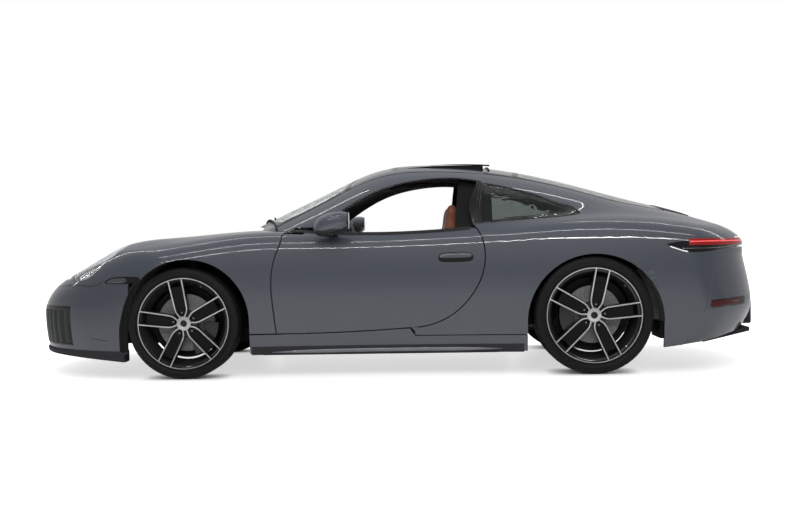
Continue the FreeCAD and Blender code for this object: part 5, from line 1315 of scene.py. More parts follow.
@dataclass
class TailLamps:
    """Red light blade round the tail, with its housing and bright edges; the glowing white hook on
    each side is a painted highlight of the lamp's bright lower lip.
    """

    HOOK = ((1.655, 0.750), (1.683, 0.7405), (1.712, 0.7300), (1.759, 0.7175))
    HOUSING_SHAPE = ((1.876, 0.430), (1.892, 0.431), (2.138, 0.4425), (2.152, 0.443),
               (2.150, 0.394), (2.134, 0.393), (1.884, 0.381), (1.868, 0.380))
    LENS_SHAPE = ((1.896, 0.4235), (1.910, 0.424), (2.094, 0.4335), (2.106, 0.434),
                 (2.104, 0.400), (2.090, 0.399), (1.904, 0.3885), (1.890, 0.388))
    FOLD = ((1.912, 0.600), (1.897, 0.520), (1.870, 0.400), (1.850, 0.300), (1.843, 0.268))
    RINGS = ((79.3, 0.7760, 0.040, 0.0008), (78.9, 0.7785, 0.0068, 0.0024),
             (60.0, 0.7520, 0.0030, 0.0022))

    @staticmethod
    def ring(start: float, height: float) -> np.ndarray:
        """Points round the tail at a height, between two turns of the same size."""
        turns = np.radians(np.linspace(-start, start, 120))
        aim = np.stack([np.cos(turns), np.sin(turns), np.zeros(120)], -1)
        return form.cast(form.whole, np.array([1.60, 0.0, height]), aim)

    @staticmethod
    def beside(spots: Sequence[tuple[float, float]], side: int) -> list[Point]:
        """Points beside the car, from their places along it and their heights."""
        return [(x, side * 0.9, z) for x, z in spots]

    def build(self) -> None:
        """Makes the blade with its edges, and the reflectors with the folds beside them."""
        draft, low = MeshDraft(), MeshDraft()
        whole = form.whole
        for tint, (start, height, width, lift) in enumerate(self.RINGS):
            draft.add_band(whole, self.ring(start, height), width, lift, tint=tint)
        for side in (-1, 1):
            # The hook glows white: a painted highlight of the bright lower lip of the lamp.
            draft.add_band(whole, smooth_path(self.beside(self.HOOK, side), 14), 0.0070, 0.0018,
                           tint=3)
            edge = smooth_path([(1.727, side * 0.9, 0.7365), (1.86, side * 0.87, 0.7375),
                                (2.092, side * 0.687, 0.7455)], 24)
            draft.add_band(whole, edge, 0.0040, 0.0016, tint=2)
            low.add_side_patch(whole, rounded(self.HOUSING_SHAPE), side, 0.0006, 0.006, 0, 4)
            low.add_side_patch(whole, rounded(self.LENS_SHAPE), side, 0.0030, 0.004, 1, 4)
            fold = smooth_path(self.beside(self.FOLD, side), 24)
            low.add_band(whole, form.side_spot(fold[:, 0], fold[:, 2], side), 0.011, 0.0026,
                         0.003, 3, 5)
            line = np.linspace(2.040, 2.092, 12)
            low.add_band(whole, form.side_spot(line, line * 0 + 0.416, side), 0.0040,
                         0.0036, tint=2)
        draft.piece("tail_light_blade", [RED_LENS, RED_GLOW, SATIN_METAL, LAMP_WHITE_AND_PAINTED_HIGHLIGHT], "shell",
                    "red_lens", sharp=40.0, merge=1e-6)
        low.piece("rear_reflectors", [GLOSS_BLACK, DARK_RED, SATIN_METAL, PAINT], "shell",
                  "red_lens", sharp=40.0, merge=1e-6)


@dataclass
class FrontTrim:
    """Side marker lamps, seams, intake slats, sill bands and the splitter."""

    MARKER_BODY = ((-1.735, 0.588), (-1.690, 0.614), (-1.600, 0.621), (-1.497, 0.618),
                   (-1.499, 0.592), (-1.566, 0.576), (-1.715, 0.575))
    MARKER_LENS = ((-1.722, 0.588), (-1.680, 0.607), (-1.585, 0.613), (-1.583, 0.583),
                   (-1.712, 0.580))
    SEAM = ((-2.150, 0.5, 0.556), (-2.007, 0.667, 0.563), (-1.900, 0.75, 0.565),
            (-1.789, 0.813, 0.568), (-1.742, 0.82, 0.590))
    SEAM_FRONT = ((-2.150, 0.5, 0.556), (-2.19, 0.42, 0.575), (-2.17, 0.40, 0.600))
    CREASE = ((-1.830, 0.80, 0.249), (-1.77, 0.83, 0.236), (-1.710, 0.85, 0.233))
    ARCH_EDGE = ((-1.528, 0.9, 0.580), (-1.580, 0.9, 0.490), (-1.600, 0.89, 0.410),
                 (-1.614, 0.88, 0.310), (-1.6155, 0.86, 0.235), (-1.6155, 0.84, 0.165))
    DOOR_CORNER = ((0.118, 0.289), (0.140, 0.289), (0.166, 0.289), (0.168, 0.270),
                   (0.168, 0.252), (0.150, 0.256))

    flaps: int = 6
    flap_pitch: float = 0.0505
    blade: tuple[float, float] = (-0.72, 0.66)
    splitter_top: float = 0.1685

    @staticmethod
    def mirrored(points: Sequence[Point], side: int, count: int) -> np.ndarray:
        """A smooth path on one side of the car."""
        return smooth_path([(x, side * y, z) for x, y, z in points], count)

    def build(self) -> None:
        """Makes the trim of the nose and the sills."""
        draft = MeshDraft()
        for side in (-1, 1):
            draft.add_side_patch(form.low, rounded(self.MARKER_BODY, 2), side, 0.0008, 0.005,
                                 0, 3)
            draft.add_side_patch(form.low, rounded(self.MARKER_LENS, 2), side, 0.0026, 0.003,
                                 1, 3, 0.001)
            for points, count, width, lift in ((self.SEAM, 30, 0.0034, 0.0002),
                                               (self.SEAM_FRONT, 12, 0.0034, 0.0002),
                                               (self.CREASE, 10, 0.0030, 0.0010)):
                draft.add_band(form.low, self.mirrored(points, side, count), width, lift, tint=2,
                               rows=3)
        draft.piece("side_markers", [SMOKED, MARKER, RUBBER], "shell", "lamp_lens", sharp=40.0,
                    merge=1e-6)
        self.build_slats()
        self.build_splitter()

    def build_slats(self) -> None:
        """The slats of the intakes, and the bands of the arches and the sills."""
        draft = MeshDraft()
        for side in (-1, 1):
            self.add_intake(draft, side)
            self.add_arch(draft, side)
        for side in (-1, 1):
            self.add_sill(draft, side)
        out = np.linspace(-0.322, 0.322, 31)
        for height in (0.197, 0.210, 0.223):
            draft.add_band(form.low, self.front_spots(out, out * 0 + height), 0.0055, 0.0035,
                           0.01, 0, 3)
        draft.piece("intake_slats",
                    [BLACK_TRIM, FLAP, GLOSS_BLACK, WEB_BLACK, BLACK_TRIM, SILL_BLADE_PAINTED_HIGHLIGHT, PAINT],
                    "shell", "black_trim", sharp=40.0, merge=1e-6)

    def add_intake(self, draft: MeshDraft, side: int) -> None:
        """Adds the upright flaps of a side intake, and the bars above and below them."""
        heights = np.linspace(0.210, 0.410, 12)
        for k in range(self.flaps):
            out = 0.4465 + self.flap_pitch * k
            draft.add_band(form.low, self.front_spots(heights * 0 + side * out, heights), 0.047,
                           0.0030, 0.010, 1, 5)
        out = np.linspace(0.424, 0.716, 16)
        for height, width in ((0.425, 0.026), (0.203, 0.010)):
            draft.add_band(form.low, self.front_spots(side * out, out * 0 + height), width,
                           0.0030, 0.010, 2, 3)

    def add_arch(self, draft: MeshDraft, side: int) -> None:
        """Adds the dark band in front of a front wheel, painted shade of the gap between bumper and
        wheel, and the fillers beside the bumpers.
        """
        # The dark band along the arch's edge is painted shade of the gap at the arch.
        edge = self.mirrored(self.ARCH_EDGE, side, 30)
        edge[:, 0] += 0.007
        draft.add_band(form.low, edge, np.interp(edge[:, 2], [0.31, 0.58], [0.056, 0.003]),
                       0.0008, 0.002, 3, 4)
        draft.add_box((-1.628, side * 0.800, 0.168), (-1.602, side * 0.840, 0.262), 3)
        draft.add_box((1.600, side * 0.60, 0.204), (1.634, side * 0.862, 0.300), 3)

    def add_sill(self, draft: MeshDraft, side: int) -> None:
        """Adds a sill's dark band, its blade, lighter grey as a painted highlight, and the filler
        at the door's lower rear corner.
        """
        low = form.low
        x = np.linspace(-0.842, 0.792, 60)
        foot = form.side_spot(x, np.full(60, 0.1600), side, low)
        draft.add_band(low, foot, 0.052, 0.0010, 0.003, 4, 5)
        first, last = self.blade
        x = np.linspace(first, last, 50)
        heights = np.interp(x, [first, -0.1, last], [0.150, 0.156, 0.156])
        share = np.clip(np.minimum(x - first, last - x) / 0.25, 0.05, 1.0)
        # The blade is lighter grey than the body: a painted highlight.
        draft.add_band(low, form.side_spot(x, heights, side, low), 0.022 * share ** 0.6, 0.0060,
                       0.002, 5, 4)
        draft.add_side_patch(low, np.array(self.DOOR_CORNER), side, 0.0004, 0.005, 6, 2)

    @staticmethod
    def front_spots(out: np.ndarray, height: np.ndarray) -> np.ndarray:
        """Points of the skin seen from the front."""
        start = np.stack([np.full_like(out, -1.3), out, height], -1)
        return form.cast(form.low, start, np.array([-1.0, 0.0, 0.0]))

    def build_splitter(self) -> None:
        """The black blade under the nose, deeper toward the wheels."""
        rows_top, rows_foot = [], []
        level = self.splitter_top
        for turn in np.linspace(-90.0, 90.0, 73):
            a = math.radians(turn)
            aim = np.array([-math.cos(a), math.sin(a), 0.0])
            edge = form.cast(form.low, np.array([-1.611, 0.0, 0.168]), aim)
            share = abs(turn) / 90.0
            deep = 0.026 + 0.040 * share ** 3
            top = np.array([edge - aim * 0.060, edge, edge + aim * (0.016 * (1 - share ** 2))])
            foot = top.copy()
            top[:, 2] = level
            foot[:, 2] = [level - deep * 0.8, level - deep, level - deep + 0.006]
            foot[2, :2] -= aim[:2] * 0.004
            rows_top.append(top)
            rows_foot.append(foot)
        draft = MeshDraft()
        draft.add_shell(np.array(rows_top), np.array(rows_foot))
        for side in (-1, 1):
            draft.add_box((-1.640, side * 0.76, 0.102), (-1.608, side * 0.852, 0.170))
        draft.piece("front_splitter", [BLACK_TRIM], "shell", "black_trim", ["front_lip"],
                    bevel=0.0025, sharp=50.0, merge=1e-6)


@dataclass
class WindowTrim:
    """Seals round the side windows, posts, and the dark borders of the glass."""

    RAIL = ((0.268, 0.690), (0.330, 0.690), (0.381, 0.757), (0.431, 0.816), (0.482, 0.862),
            (0.533, 0.891), (0.608, 0.912), (0.683, 0.912), (0.733, 0.897))
    QUARTER = ((0.742, 0.886), (0.783, 0.873), (0.833, 0.848), (0.882, 0.818), (0.932, 0.782),
               (0.969, 0.755), (0.977, 0.738), (0.966, 0.733), (0.924, 0.723), (0.827, 0.711),
               (0.716, 0.698))
    ROOF_EDGE = ((0.222, 0.705), (0.303, 0.675), (0.380, 0.632), (0.444, 0.589),
                 (0.500, 0.562), (0.622, 0.551), (0.745, 0.556), (0.908, 0.572),
                 (1.164, 0.599), (1.446, 0.621))
    SCREEN_HEAD = ((0.405, 0.616), (0.418, 0.330), (0.424, 0.000))
    SCREEN_FOOT = ((0.222, 0.705), (0.182, 0.470), (0.154, 0.220), (0.147, 0.000))
    BACK_HEAD = ((0.815, 0.562), (0.824, 0.300), (0.829, 0.000))
    BACK_FOOT = ((1.446, 0.621), (1.462, 0.330), (1.468, 0.000))
    POST = ((0.7225, 0.702), (0.7195, 0.745), (0.7210, 0.790), (0.7300, 0.850),
            (0.7385, 0.893))
    POST_LINE = ((0.7185, 0.706), (0.7255, 0.790), (0.7345, 0.885))

    @staticmethod
    def side_path(shares: Sequence[tuple[float, float]], side: int, skin: Field, count: int
                  ) -> np.ndarray:
        """A path on the skin from station and height shares."""
        flat = smooth_path([(form.station(a), h * form.height) for a, h in shares], count)
        return form.side_spot(flat[:, 0], flat[:, 1], side, skin)

    @staticmethod
    def plan_path(shares: Sequence[tuple[float, float]], skin: Field, count: int,
                  both: bool = True, side: int = 1) -> np.ndarray:
        """A path on the skin from station and half-width shares."""
        spots = [(form.station(a), side * w * form.half_width) for a, w in shares]
        if both:
            spots += [(x, -y) for x, y in reversed(spots[:-1])]
        flat = smooth_path(spots, count)
        return form.top_spot(flat[:, 0], flat[:, 1], skin)

    def build(self) -> None:
        """Makes the seals, posts and borders."""
        self.build_seals()
        self.build_borders()
        self.build_belts()

    def build_seals(self) -> None:
        """The seals round the side windows, the posts behind the doors and the roof's edge."""
        trim = MeshDraft()
        house, whole = form.house, form.whole
        for side in (-1, 1):
            for shares, skin, count, width, lift, sink in (
                    (self.RAIL[1:], house, 40, 0.013, 0.0028, 0.004),
                    (self.QUARTER[:7], whole, 30, 0.012, 0.0026, 0.003),
                    (self.QUARTER[6:], whole, 30, 0.011, 0.0026, 0.003)):
                path = self.side_path(shares, side, skin, count)
                trim.add_band(skin, path, width, lift, sink, 0)
            post = self.side_path(self.POST, side, house, 14)
            widths = np.interp(np.arange(14), [0, 4, 6, 13], [0.056, 0.080, 0.086, 0.050])
            trim.add_band(house, post, widths, 0.0030, 0.004, 0)
            for shift in (-0.002, 0.005):
                line = self.side_path([(a + shift, h) for a, h in self.POST_LINE], side, house, 14)
                trim.add_band(house, line, 0.0045, 0.0042, 0.004, 2, 3)
            roof = self.plan_path(self.ROOF_EDGE, whole, 60, False, side)
            trim.add_band(whole, roof, 0.009, 0.0012, 0.003, 1, 3)
        trim.piece("window_seals", [GLOSS_BLACK, RUBBER, SATIN_METAL], "shell", "gloss_black",
                   sharp=40.0, merge=1e-6)

    def build_borders(self) -> None:
        """The dark borders of the windscreen and the rear window."""
        border = MeshDraft()
        for shares, width in ((self.SCREEN_HEAD, 0.036), (self.SCREEN_FOOT, 0.050),
                              (self.BACK_HEAD, 0.036), (self.BACK_FOOT, 0.040)):
            shift = 0.0095 if shares in (self.SCREEN_FOOT, self.BACK_HEAD) else -0.0095
            moved = [(a + shift * (0.8 if abs(a) > 1 else 1), w * 0.985) for a, w in shares]
            border.add_band(form.whole, self.plan_path(moved, form.whole, 40), width, 0.0006,
                            0.001, 0, 5)
        edge = [(a, w - 0.016) for a, w in self.ROOF_EDGE]
        for side in (-1, 1):
            for run in (edge[:3], edge[6:]):
                path = self.plan_path(run, form.whole, 24, False, side)
                border.add_band(form.whole, path, 0.026, 0.0006, 0.001, 0, 4)
        border.piece("glass_borders", [GLOSS_BLACK], "shell", "gloss_black", sharp=50.0,
                     merge=1e-6)

    def build_belts(self) -> None:
        """The seal along the top of each door."""
        section = np.array([(-0.009, -0.006), (0.008, -0.006), (0.009, 0.003),
                            (0.004, 0.008), (-0.004, 0.009), (-0.009, 0.004)])
        x = np.linspace(form.station(0.262), form.station(0.705), 36)
        for side, name in SIDES:
            draft = MeshDraft()
            top = form.top_spot(x, side * (form.glass(x) - 0.002), form.low)
            draft.add_sweep(top + np.array([0.0, 0.0, 0.0035]), section, (0, 0, 1), 0)
            draft.piece(f"door_{name}_belt", [GLOSS_BLACK], f"door_{name}", "gloss_black",
                        sharp=40.0, merge=1e-7)


@dataclass
class DoorFittings:
    """Handles outside the doors, each on a gloss-black patch that is painted shade of its recess.
    """

    SHADE_CUP = ((0.284, 0.700), (0.300, 0.737), (0.480, 0.739), (0.500, 0.706), (0.484, 0.678),
           (0.300, 0.676))
    GRIP = ((0.292, 0.708), (0.306, 0.731), (0.470, 0.733), (0.492, 0.714), (0.470, 0.703),
            (0.306, 0.701))

    def build(self) -> None:
        """Makes the handle of each door."""
        for side, name in SIDES:
            draft = MeshDraft()
            # The gloss-black patch round the grip is painted shade of the handle's recess.
            draft.add_side_patch(form.low, rounded(self.SHADE_CUP), side, 0.0007, 0.004, 1, 4)
            draft.add_side_patch(form.low, rounded(self.GRIP), side, 0.0048, 0.001, 0, 5, 0.0035)
            draft.piece(f"door_{name}_handle", [PAINT, GLOSS_BLACK], f"door_{name}",
                        "body_paint", sharp=45.0, merge=1e-6)


@dataclass
class Mirrors:
    """Door mirrors: painted cap, black foot and back, and the mirror glass."""

    centre: Point = (-0.338, 0.905, 0.914)
    half: Point = (0.112, 0.093, 0.068)
    back: float = 0.094

    def build(self) -> None:
        """Makes both mirrors."""
        for side, name in SIDES:
            draft = MeshDraft()
            centre = np.array(self.centre) * (1, side, 1)
            ups = np.linspace(-math.pi / 2, math.pi / 2, 25)
            turns = np.linspace(0, 2 * math.pi, 49)[:-1]
            grid = np.zeros((len(turns), len(ups), 3))
            for i, turn in enumerate(turns):
                for j, up in enumerate(ups):
                    ring = np.sign(math.cos(up)) * abs(math.cos(up)) ** 0.75
                    x = -self.half[0] * math.cos(turn) * ring
                    y = self.half[1] * math.sin(turn) * ring
                    z = self.half[2] * np.sign(math.sin(up)) * abs(math.sin(up)) ** 0.82
                    z += 0.16 * x + 0.012 * math.sin(turn) * ring
                    x = min(x + 0.10 * z, self.back)
                    grid[i, j] = centre + (x, side * y, z)
            draft.add_grid(grid, 0, closed_u=True)
            for k, face in enumerate(draft.faces):
                middle = np.mean([draft.spots[i] for i in face], 0) - centre
                if middle[2] < -0.030 + 0.10 * middle[0] or middle[0] > self.back - 0.004:
                    draft.tints[k] = 1
            pane = centre + (self.back + 0.0006, 0, 0.020)
            glass = MeshDraft()
            glass.add_lathe([(0.0, -0.001), (0.97, -0.001), (1.0, 0.0), (0.97, 0.0012),
                             (0.0, 0.0012)], ORIGIN, 1, 40, 2, closed=False)
            draft.add_draft(glass, Matrix(((0, 1, 0, pane[0]), (0.068, 0, 0, pane[1]),
                                           (0, 0, 0.052, pane[2]), (0, 0, 0, 1))))
            self.add_foot(draft, side)
            draft.piece(f"mirror_{name}_shape", [PAINT, GLOSS_BLACK, REFLECTOR], f"door_{name}",
                        "body_paint", [f"mirror_{name}"], sharp=34.0, merge=1e-6)

    @staticmethod
    def add_foot(draft: MeshDraft, side: int) -> None:
        """Adds the arm from the door to the mirror."""
        x, y = -0.345, 0.800
        root = form.top_spot(np.array(x), np.array(side * y), form.low)
        path = smooth_path([root - (0, side * 0.012, 0.012), root + (0, side * 0.010, 0.012),
                            (x + 0.006, side * 0.845, 0.868),
                            (x + 0.012, side * 0.880, 0.880)], 14)
        draft.add_sweep(path, oval(0.062, 0.020, 20, 2.6), (0, 0, 1), 1)


@dataclass
class Wipers:
    """Two wipers parked at the foot of the windscreen."""

    def build(self) -> None:
        """Makes both arms with their blades."""
        draft = MeshDraft()
        section = np.array([(-0.005, 0.004), (0.005, 0.004), (0.006, 0.0), (0.001, -0.002),
                            (0.0008, -0.009), (-0.0008, -0.009), (-0.001, -0.002),
                            (-0.006, 0.0)])
        for pivot, tip, half in (((-0.865, 0.10), (-0.735, -0.52), 0.30),
                                 ((-0.850, 0.52), (-0.790, -0.02), 0.28)):
            flat = np.linspace(pivot, tip, 20)
            base = form.top_spot(flat[:, 0], flat[:, 1], form.whole)
            lift = 0.004 + 0.011 * np.sin(np.linspace(0, math.pi, 20)) ** 0.5
            arm = base + np.stack([lift * -0.5, lift * 0, lift * 0.87], -1)
            draft.add_sweep(arm, oval(0.014, 0.007, 10), (0, 0, 1), 0,
                            scales=np.linspace(1.25, 0.6, 20))
            hub = MeshDraft()
            hub.add_lathe([(0.0, -0.014), (0.011, -0.014), (0.011, 0.002), (0.0, 0.005)],
                          ORIGIN, 1, 16, closed=False)
            draft.add_draft(hub, facing_up(*(base[0] + (0, 0, 0.004))))
            way = np.array([tip[0] - pivot[0], tip[1] - pivot[1]])
            way /= np.linalg.norm(way)
            run = np.linspace(-half, half, 24)[:, None] * way + np.array(tip) - way * 0.10
            sole = form.top_spot(run[:, 0], run[:, 1], form.whole)
            draft.add_sweep(sole + np.array([-0.004, 0.0, 0.008]), section, (0, 0, 1), 0)
        draft.piece("wipers", [BLACK_TRIM], "shell", "black_trim", sharp=40.0, merge=1e-7)


@dataclass
class RearTrim:
    """Lid louvres, third lamp, exhaust tips, diffuser fins and the blank plate."""

    slats: int = 9
    slat_pitch: float = 0.0178
    half_fin: float = 0.004
    tip: Point = (2.221, 0.230, 0.292)
    plate_back: float = 2.2572

    def build(self) -> None:
        """Makes the trim of the tail."""
        self.build_louvres()
        self.build_fittings()
        self.build_plate()

    def build_louvres(self) -> None:
        """The louvres of the engine lid, the panel under them, the third lamp and a seam."""
        whole = form.whole
        lid = MeshDraft()
        rows = [(1.6985 + self.slat_pitch * k, 0.500 + 0.005 * k, 0.0108, 0.0052, 0.004, 0, 4)
                for k in range(self.slats)]
        rows += [(1.772, 0.535, 0.160, 0.0010, 0.004, 1, 7),
                 (1.862, 0.16, 0.010, 0.0040, 0.003, 2, 5)]
        for x, reach, *shape in rows:
            y = np.linspace(-1.0, 1.0, 41) * reach
            lid.add_band(whole, form.top_spot(np.full(41, x), y, whole), *shape)
        seam = smooth_path([(1.905, -0.60, 0), (1.955, -0.40, 0), (1.972, 0.0, 0),
                            (1.955, 0.40, 0), (1.905, 0.60, 0)], 41)
        lid.add_band(whole, form.top_spot(seam[:, 0] - 0.035, seam[:, 1], whole), 0.0034,
                     0.0002, 0.003, 3, 3)
        lid.piece("lid_louvres", [BLACK_TRIM, GLOSS_BLACK, RED_LENS, RUBBER], "engine_lid",
                  "black_trim", sharp=35.0, merge=1e-6)

    def build_fittings(self) -> None:
        """The exhaust's two tips and the fins of the diffuser."""
        tail = MeshDraft()
        for side in (-1, 1):
            pipe = MeshDraft()
            pipe.add_lathe([(0.0445, -0.120), (0.0485, -0.120), (0.0500, 0.030), (0.0508, 0.040),
                            (0.0500, 0.046), (0.0465, 0.047), (0.0440, 0.042), (0.0436, 0.0)],
                           ORIGIN, 1, 48)
            pipe.add_lathe([(0.0001, -0.090), (0.043, -0.090), (0.043, -0.086),
                            (0.0001, -0.086)], ORIGIN, 1, 32, 1, closed=False)
            tail.add_draft(pipe, facing_back(self.tip[0], side * self.tip[1], self.tip[2]))
        fin = ((1.97, 0.152), (2.205, 0.205), (2.205, 0.232), (1.97, 0.176))
        for place in (-0.44, -0.33, 0.0, 0.33, 0.44):
            tail.add([(x, y, z) for y in (place - self.half_fin, place + self.half_fin)
                      for x, z in fin],
                     [(0, 3, 2, 1), (4, 5, 6, 7), (0, 1, 5, 4), (1, 2, 6, 5), (2, 3, 7, 6),
                      (3, 0, 4, 7)], 2)
        tail.piece("tail_fittings", [POLISHED, CHASSIS, BLACK_TRIM], "shell", "exhaust_steel",
                   sharp=35.0, merge=1e-7)

    def build_plate(self) -> None:
        """The blank plate with its two screws."""
        plate = MeshDraft()
        plate.add_box((2.2552, -0.260, 0.376), (self.plate_back, 0.260, 0.488), 0)
        for y in (-0.20, 0.20):
            screw = MeshDraft()
            screw.add_lathe([(0.0, 0.0), (0.0055, 0.0), (0.0050, 0.0015), (0.0, 0.002)],
                            ORIGIN, 1, 16, 1, closed=False)
            plate.add_draft(screw, facing_back(self.plate_back, y, 0.432))
        plate.piece("blank_plate", [PLATE, STEEL], "shell", "steel_parts", bevel=0.0006,
                    merge=1e-7)


# ---------------------------------------------------------------- cabin

@dataclass
class Pad:
    """A soft pad that Cloth swells from a slightly smaller shape."""

    draft: MeshDraft
    voxel: float = 0.0105
    reach: float = 0.009
    pressure: float = 4.0
    last_frame: int = 20

    def mesh(self, name: str) -> bpy.types.Mesh:
        """The swollen pad as one plain mesh.

        Args:
            name: The mesh's name.

        Returns:
            The mesh, with one subdivision applied.
        """
        core = self.draft.mesh(name, merge=1e-5)
        piece = bpy.data.objects.new(name + "_carrier", core)
        bpy.context.scene.collection.objects.link(piece)
        remesh = piece.modifiers.new("remesh", "REMESH")
        remesh.mode = "VOXEL"
        remesh.voxel_size = self.voxel
        piece.data = self.solved(piece)
        piece.modifiers.clear()
        before = self.spots(piece.data)
        cloth = piece.modifiers.new("swell", "CLOTH")
        cloth.settings.use_pressure = True
        cloth.settings.uniform_pressure_force = self.pressure
        cloth.settings.effector_weights.gravity = 0.0
        for step in range(1, self.last_frame + 1):
            bpy.context.scene.frame_set(step)
        swollen = self.spots(self.solved(piece))
        bpy.context.scene.frame_set(1)
        piece.modifiers.clear()
        move = swollen - before
        length = np.maximum(np.linalg.norm(move, axis=1, keepdims=True), 1e-9)
        after = before + move * np.minimum(self.reach / length, 1.0)
        piece.data.vertices.foreach_set("co", after.ravel())
        smooth = piece.modifiers.new("smooth", "SUBSURF")
        smooth.levels = smooth.render_levels = 1
        mesh = self.solved(piece)
        mesh.name = name
        bpy.data.objects.remove(piece)
        mesh.shade_smooth()
        return mesh

    @staticmethod
    def solved(piece: bpy.types.Object) -> bpy.types.Mesh:
        """The piece's mesh with its modifiers applied."""
        graph = bpy.context.evaluated_depsgraph_get()
        return bpy.data.meshes.new_from_object(piece.evaluated_get(graph))

    @staticmethod
    def spots(mesh: bpy.types.Mesh) -> np.ndarray:
        """The places of the mesh's vertices."""
        flat = np.zeros(len(mesh.vertices) * 3)
        mesh.vertices.foreach_get("co", flat)
        return flat.reshape(-1, 3)


@dataclass
class Seats:
    """Front sport seats with bolsters and flutes, and the small rear seats."""

    out: float = 0.375
    half: float = 0.205
    front: float = -0.216
    cushion: float = 0.455
    foot: float = 0.300
    bolster: float = 0.028
    cushion_grid: tuple[int, int] = (30, 45)
    back_grid: tuple[int, int] = (44, 41)
    rear_grid: tuple[int, int] = (40, 31)

    def build(self) -> None:
        """Makes both rows from one simulated cushion and one simulated back."""
        cushion = Pad(self.cushion_draft()).mesh("seat_cushion")
        back = Pad(self.back_draft(), reach=0.007).mesh("seat_back")
        for side, name in SIDES:
            flip = Matrix.Diagonal((1.0, float(side), 1.0, 1.0))
            for pad, label in ((cushion, "cushion"), (back, "back")):
                mesh = pad.copy()
                mesh.transform(Matrix.Translation((0.0, side * self.out, 0.0)) @ flip)
                if side < 0:
                    mesh.flip_normals()
                stands_for = ["front_seats"] if side < 0 and pad is cushion else []
                piece = finish_object(f"front_seat_{label}_{name}", mesh, [LEATHER], "shell",
                                      stands_for)
        self.build_frames()
        self.build_rear()

    @staticmethod
    def section(share: float) -> tuple[float, float]:
        """How high the bolster stands at a share across, and how deep a flute lies."""
        side = max(abs(share) - 0.62, 0.0) / 0.38
        lift = math.sin(min(side * 1.15, 1.0) * math.pi) if side > 0 else 0.0
        flute = 0.5 - 0.5 * math.cos(share * 2 * math.pi * 4.0) if abs(share) < 0.56 else 0.5
        return lift, flute

    @staticmethod
    def rolled(excess: float, square: float) -> float:
        """How much of the height is left where an edge rolls off."""
        return math.sqrt(max(1 - max(excess, 0.0) ** 2 / square, 0.0))

    def cushion_draft(self) -> MeshDraft:
        """The cushion before it swells."""
        rows, columns = self.cushion_grid
        top, base = np.zeros((2, rows, columns, 3))
        for i, x in enumerate(np.linspace(self.front, 0.185, rows)):
            t = i / (rows - 1)
            nose = self.rolled(0.12 - t, 0.0144)
            wide = self.half * (0.93 + 0.07 * math.sin(math.pi * t))
            for j, share in enumerate(np.linspace(-1, 1, columns)):
                lift, flute = self.section(share)
                edge = self.rolled(abs(share) - 0.88, 0.0144)
                height = self.cushion - 0.020 * t - 0.010 + self.bolster * lift * 0.6
                height += 0.004 * (flute - 0.5)
                height -= 0.045 * (1 - nose) + 0.040 * (1 - edge)
                top[i, j] = (x, wide * share, height)
                base[i, j] = (x + 0.012 * (1 - 2 * t), wide * share * 0.95, self.foot + 0.02)
        draft = MeshDraft()
        draft.add_shell(top, base)
        return draft

    def back_draft(self) -> MeshDraft:
        """The back with its fixed head restraint, before it swells."""
        rows, columns = self.back_grid
        front, rear = np.zeros((2, rows, columns, 3))
        for i, t in enumerate(np.linspace(0.0, 1.0, rows)):
            z = 0.395 + t * 0.640
            lean = np.interp(z, [0.395, 0.60, 0.90, 1.04], [0.196, 0.252, 0.340, 0.358])
            wide = np.interp(z, [0.395, 0.50, 0.72, 0.84, 0.885, 0.93, 0.99, 1.035],
                             [0.180, 0.205, 0.208, 0.186, 0.142, 0.120, 0.116, 0.098])
            thick = np.interp(z, [0.395, 0.50, 0.80, 0.93, 1.035],
                              [0.075, 0.088, 0.080, 0.070, 0.050])
            strength = np.interp(z, [0.40, 0.50, 0.80, 0.88], [0.6, 1.0, 1.0, 0.0])
            close = self.rolled(t - 0.955, 0.0021)
            for j, share in enumerate(np.linspace(-1, 1, columns)):
                lift, flute = self.section(share)
                deep = self.bolster * lift * strength
                deep += 0.004 * (flute - 0.5) * (1.0 if z < 0.84 else 0.0)
                edge = self.rolled(abs(share) - 0.86, 0.0196)
                half = thick / 2 * (0.35 + 0.65 * edge) * (0.4 + 0.6 * close)
                front[i, j] = (lean + thick / 2 - half - deep, wide * share, z)
                rear[i, j] = (lean + thick / 2 + half, wide * share, z + 0.002)
        draft = MeshDraft()
        draft.add_shell(front[::-1], rear[::-1])
        return draft

    def build_frames(self) -> None:
        """Rails, side shells and belts of the front seats."""
        draft = MeshDraft()
        for side in (-1, 1):
            for offset in (-0.16, 0.14):
                y = side * self.out + offset
                draft.add_box((-0.20, y, 0.150), (0.28, y + 0.030, 0.172), 0)
                draft.add_box((-0.17, y + 0.006, 0.172), (0.24, y + 0.024, 0.300), 1)
            draft.add_box((-0.205, side * self.out - 0.190, 0.262),
                          (0.250, side * self.out + 0.190, 0.318), 1)
            for offset in (-0.203, 0.203):
                path = smooth_path([(-0.19, side * self.out + offset, 0.360),
                                    (0.08, side * self.out + offset * 1.01, 0.345),
                                    (0.215, side * self.out + offset * 1.01, 0.375),
                                    (0.285, side * self.out + offset, 0.560)], 24)
                draft.add_sweep(path, oval(0.016, 0.075, 14, 3.0), (0, 0, 1), 1,
                                scales=np.linspace(0.75, 1.0, 24))
            path = smooth_path([(0.430, side * 0.60, 0.905), (0.345, side * 0.565, 0.70),
                                (0.250, side * 0.560, 0.50), (0.180, side * 0.585, 0.34)], 20)
            draft.add_sweep(path, oval(0.045, 0.0024, 12, 6.0), (0, side, 0.2), 2)
        draft.piece("front_seat_frames", [STEEL, BLACK_TRIM, BELT], "shell", "black_trim",
                    bevel=0.002, merge=1e-6)

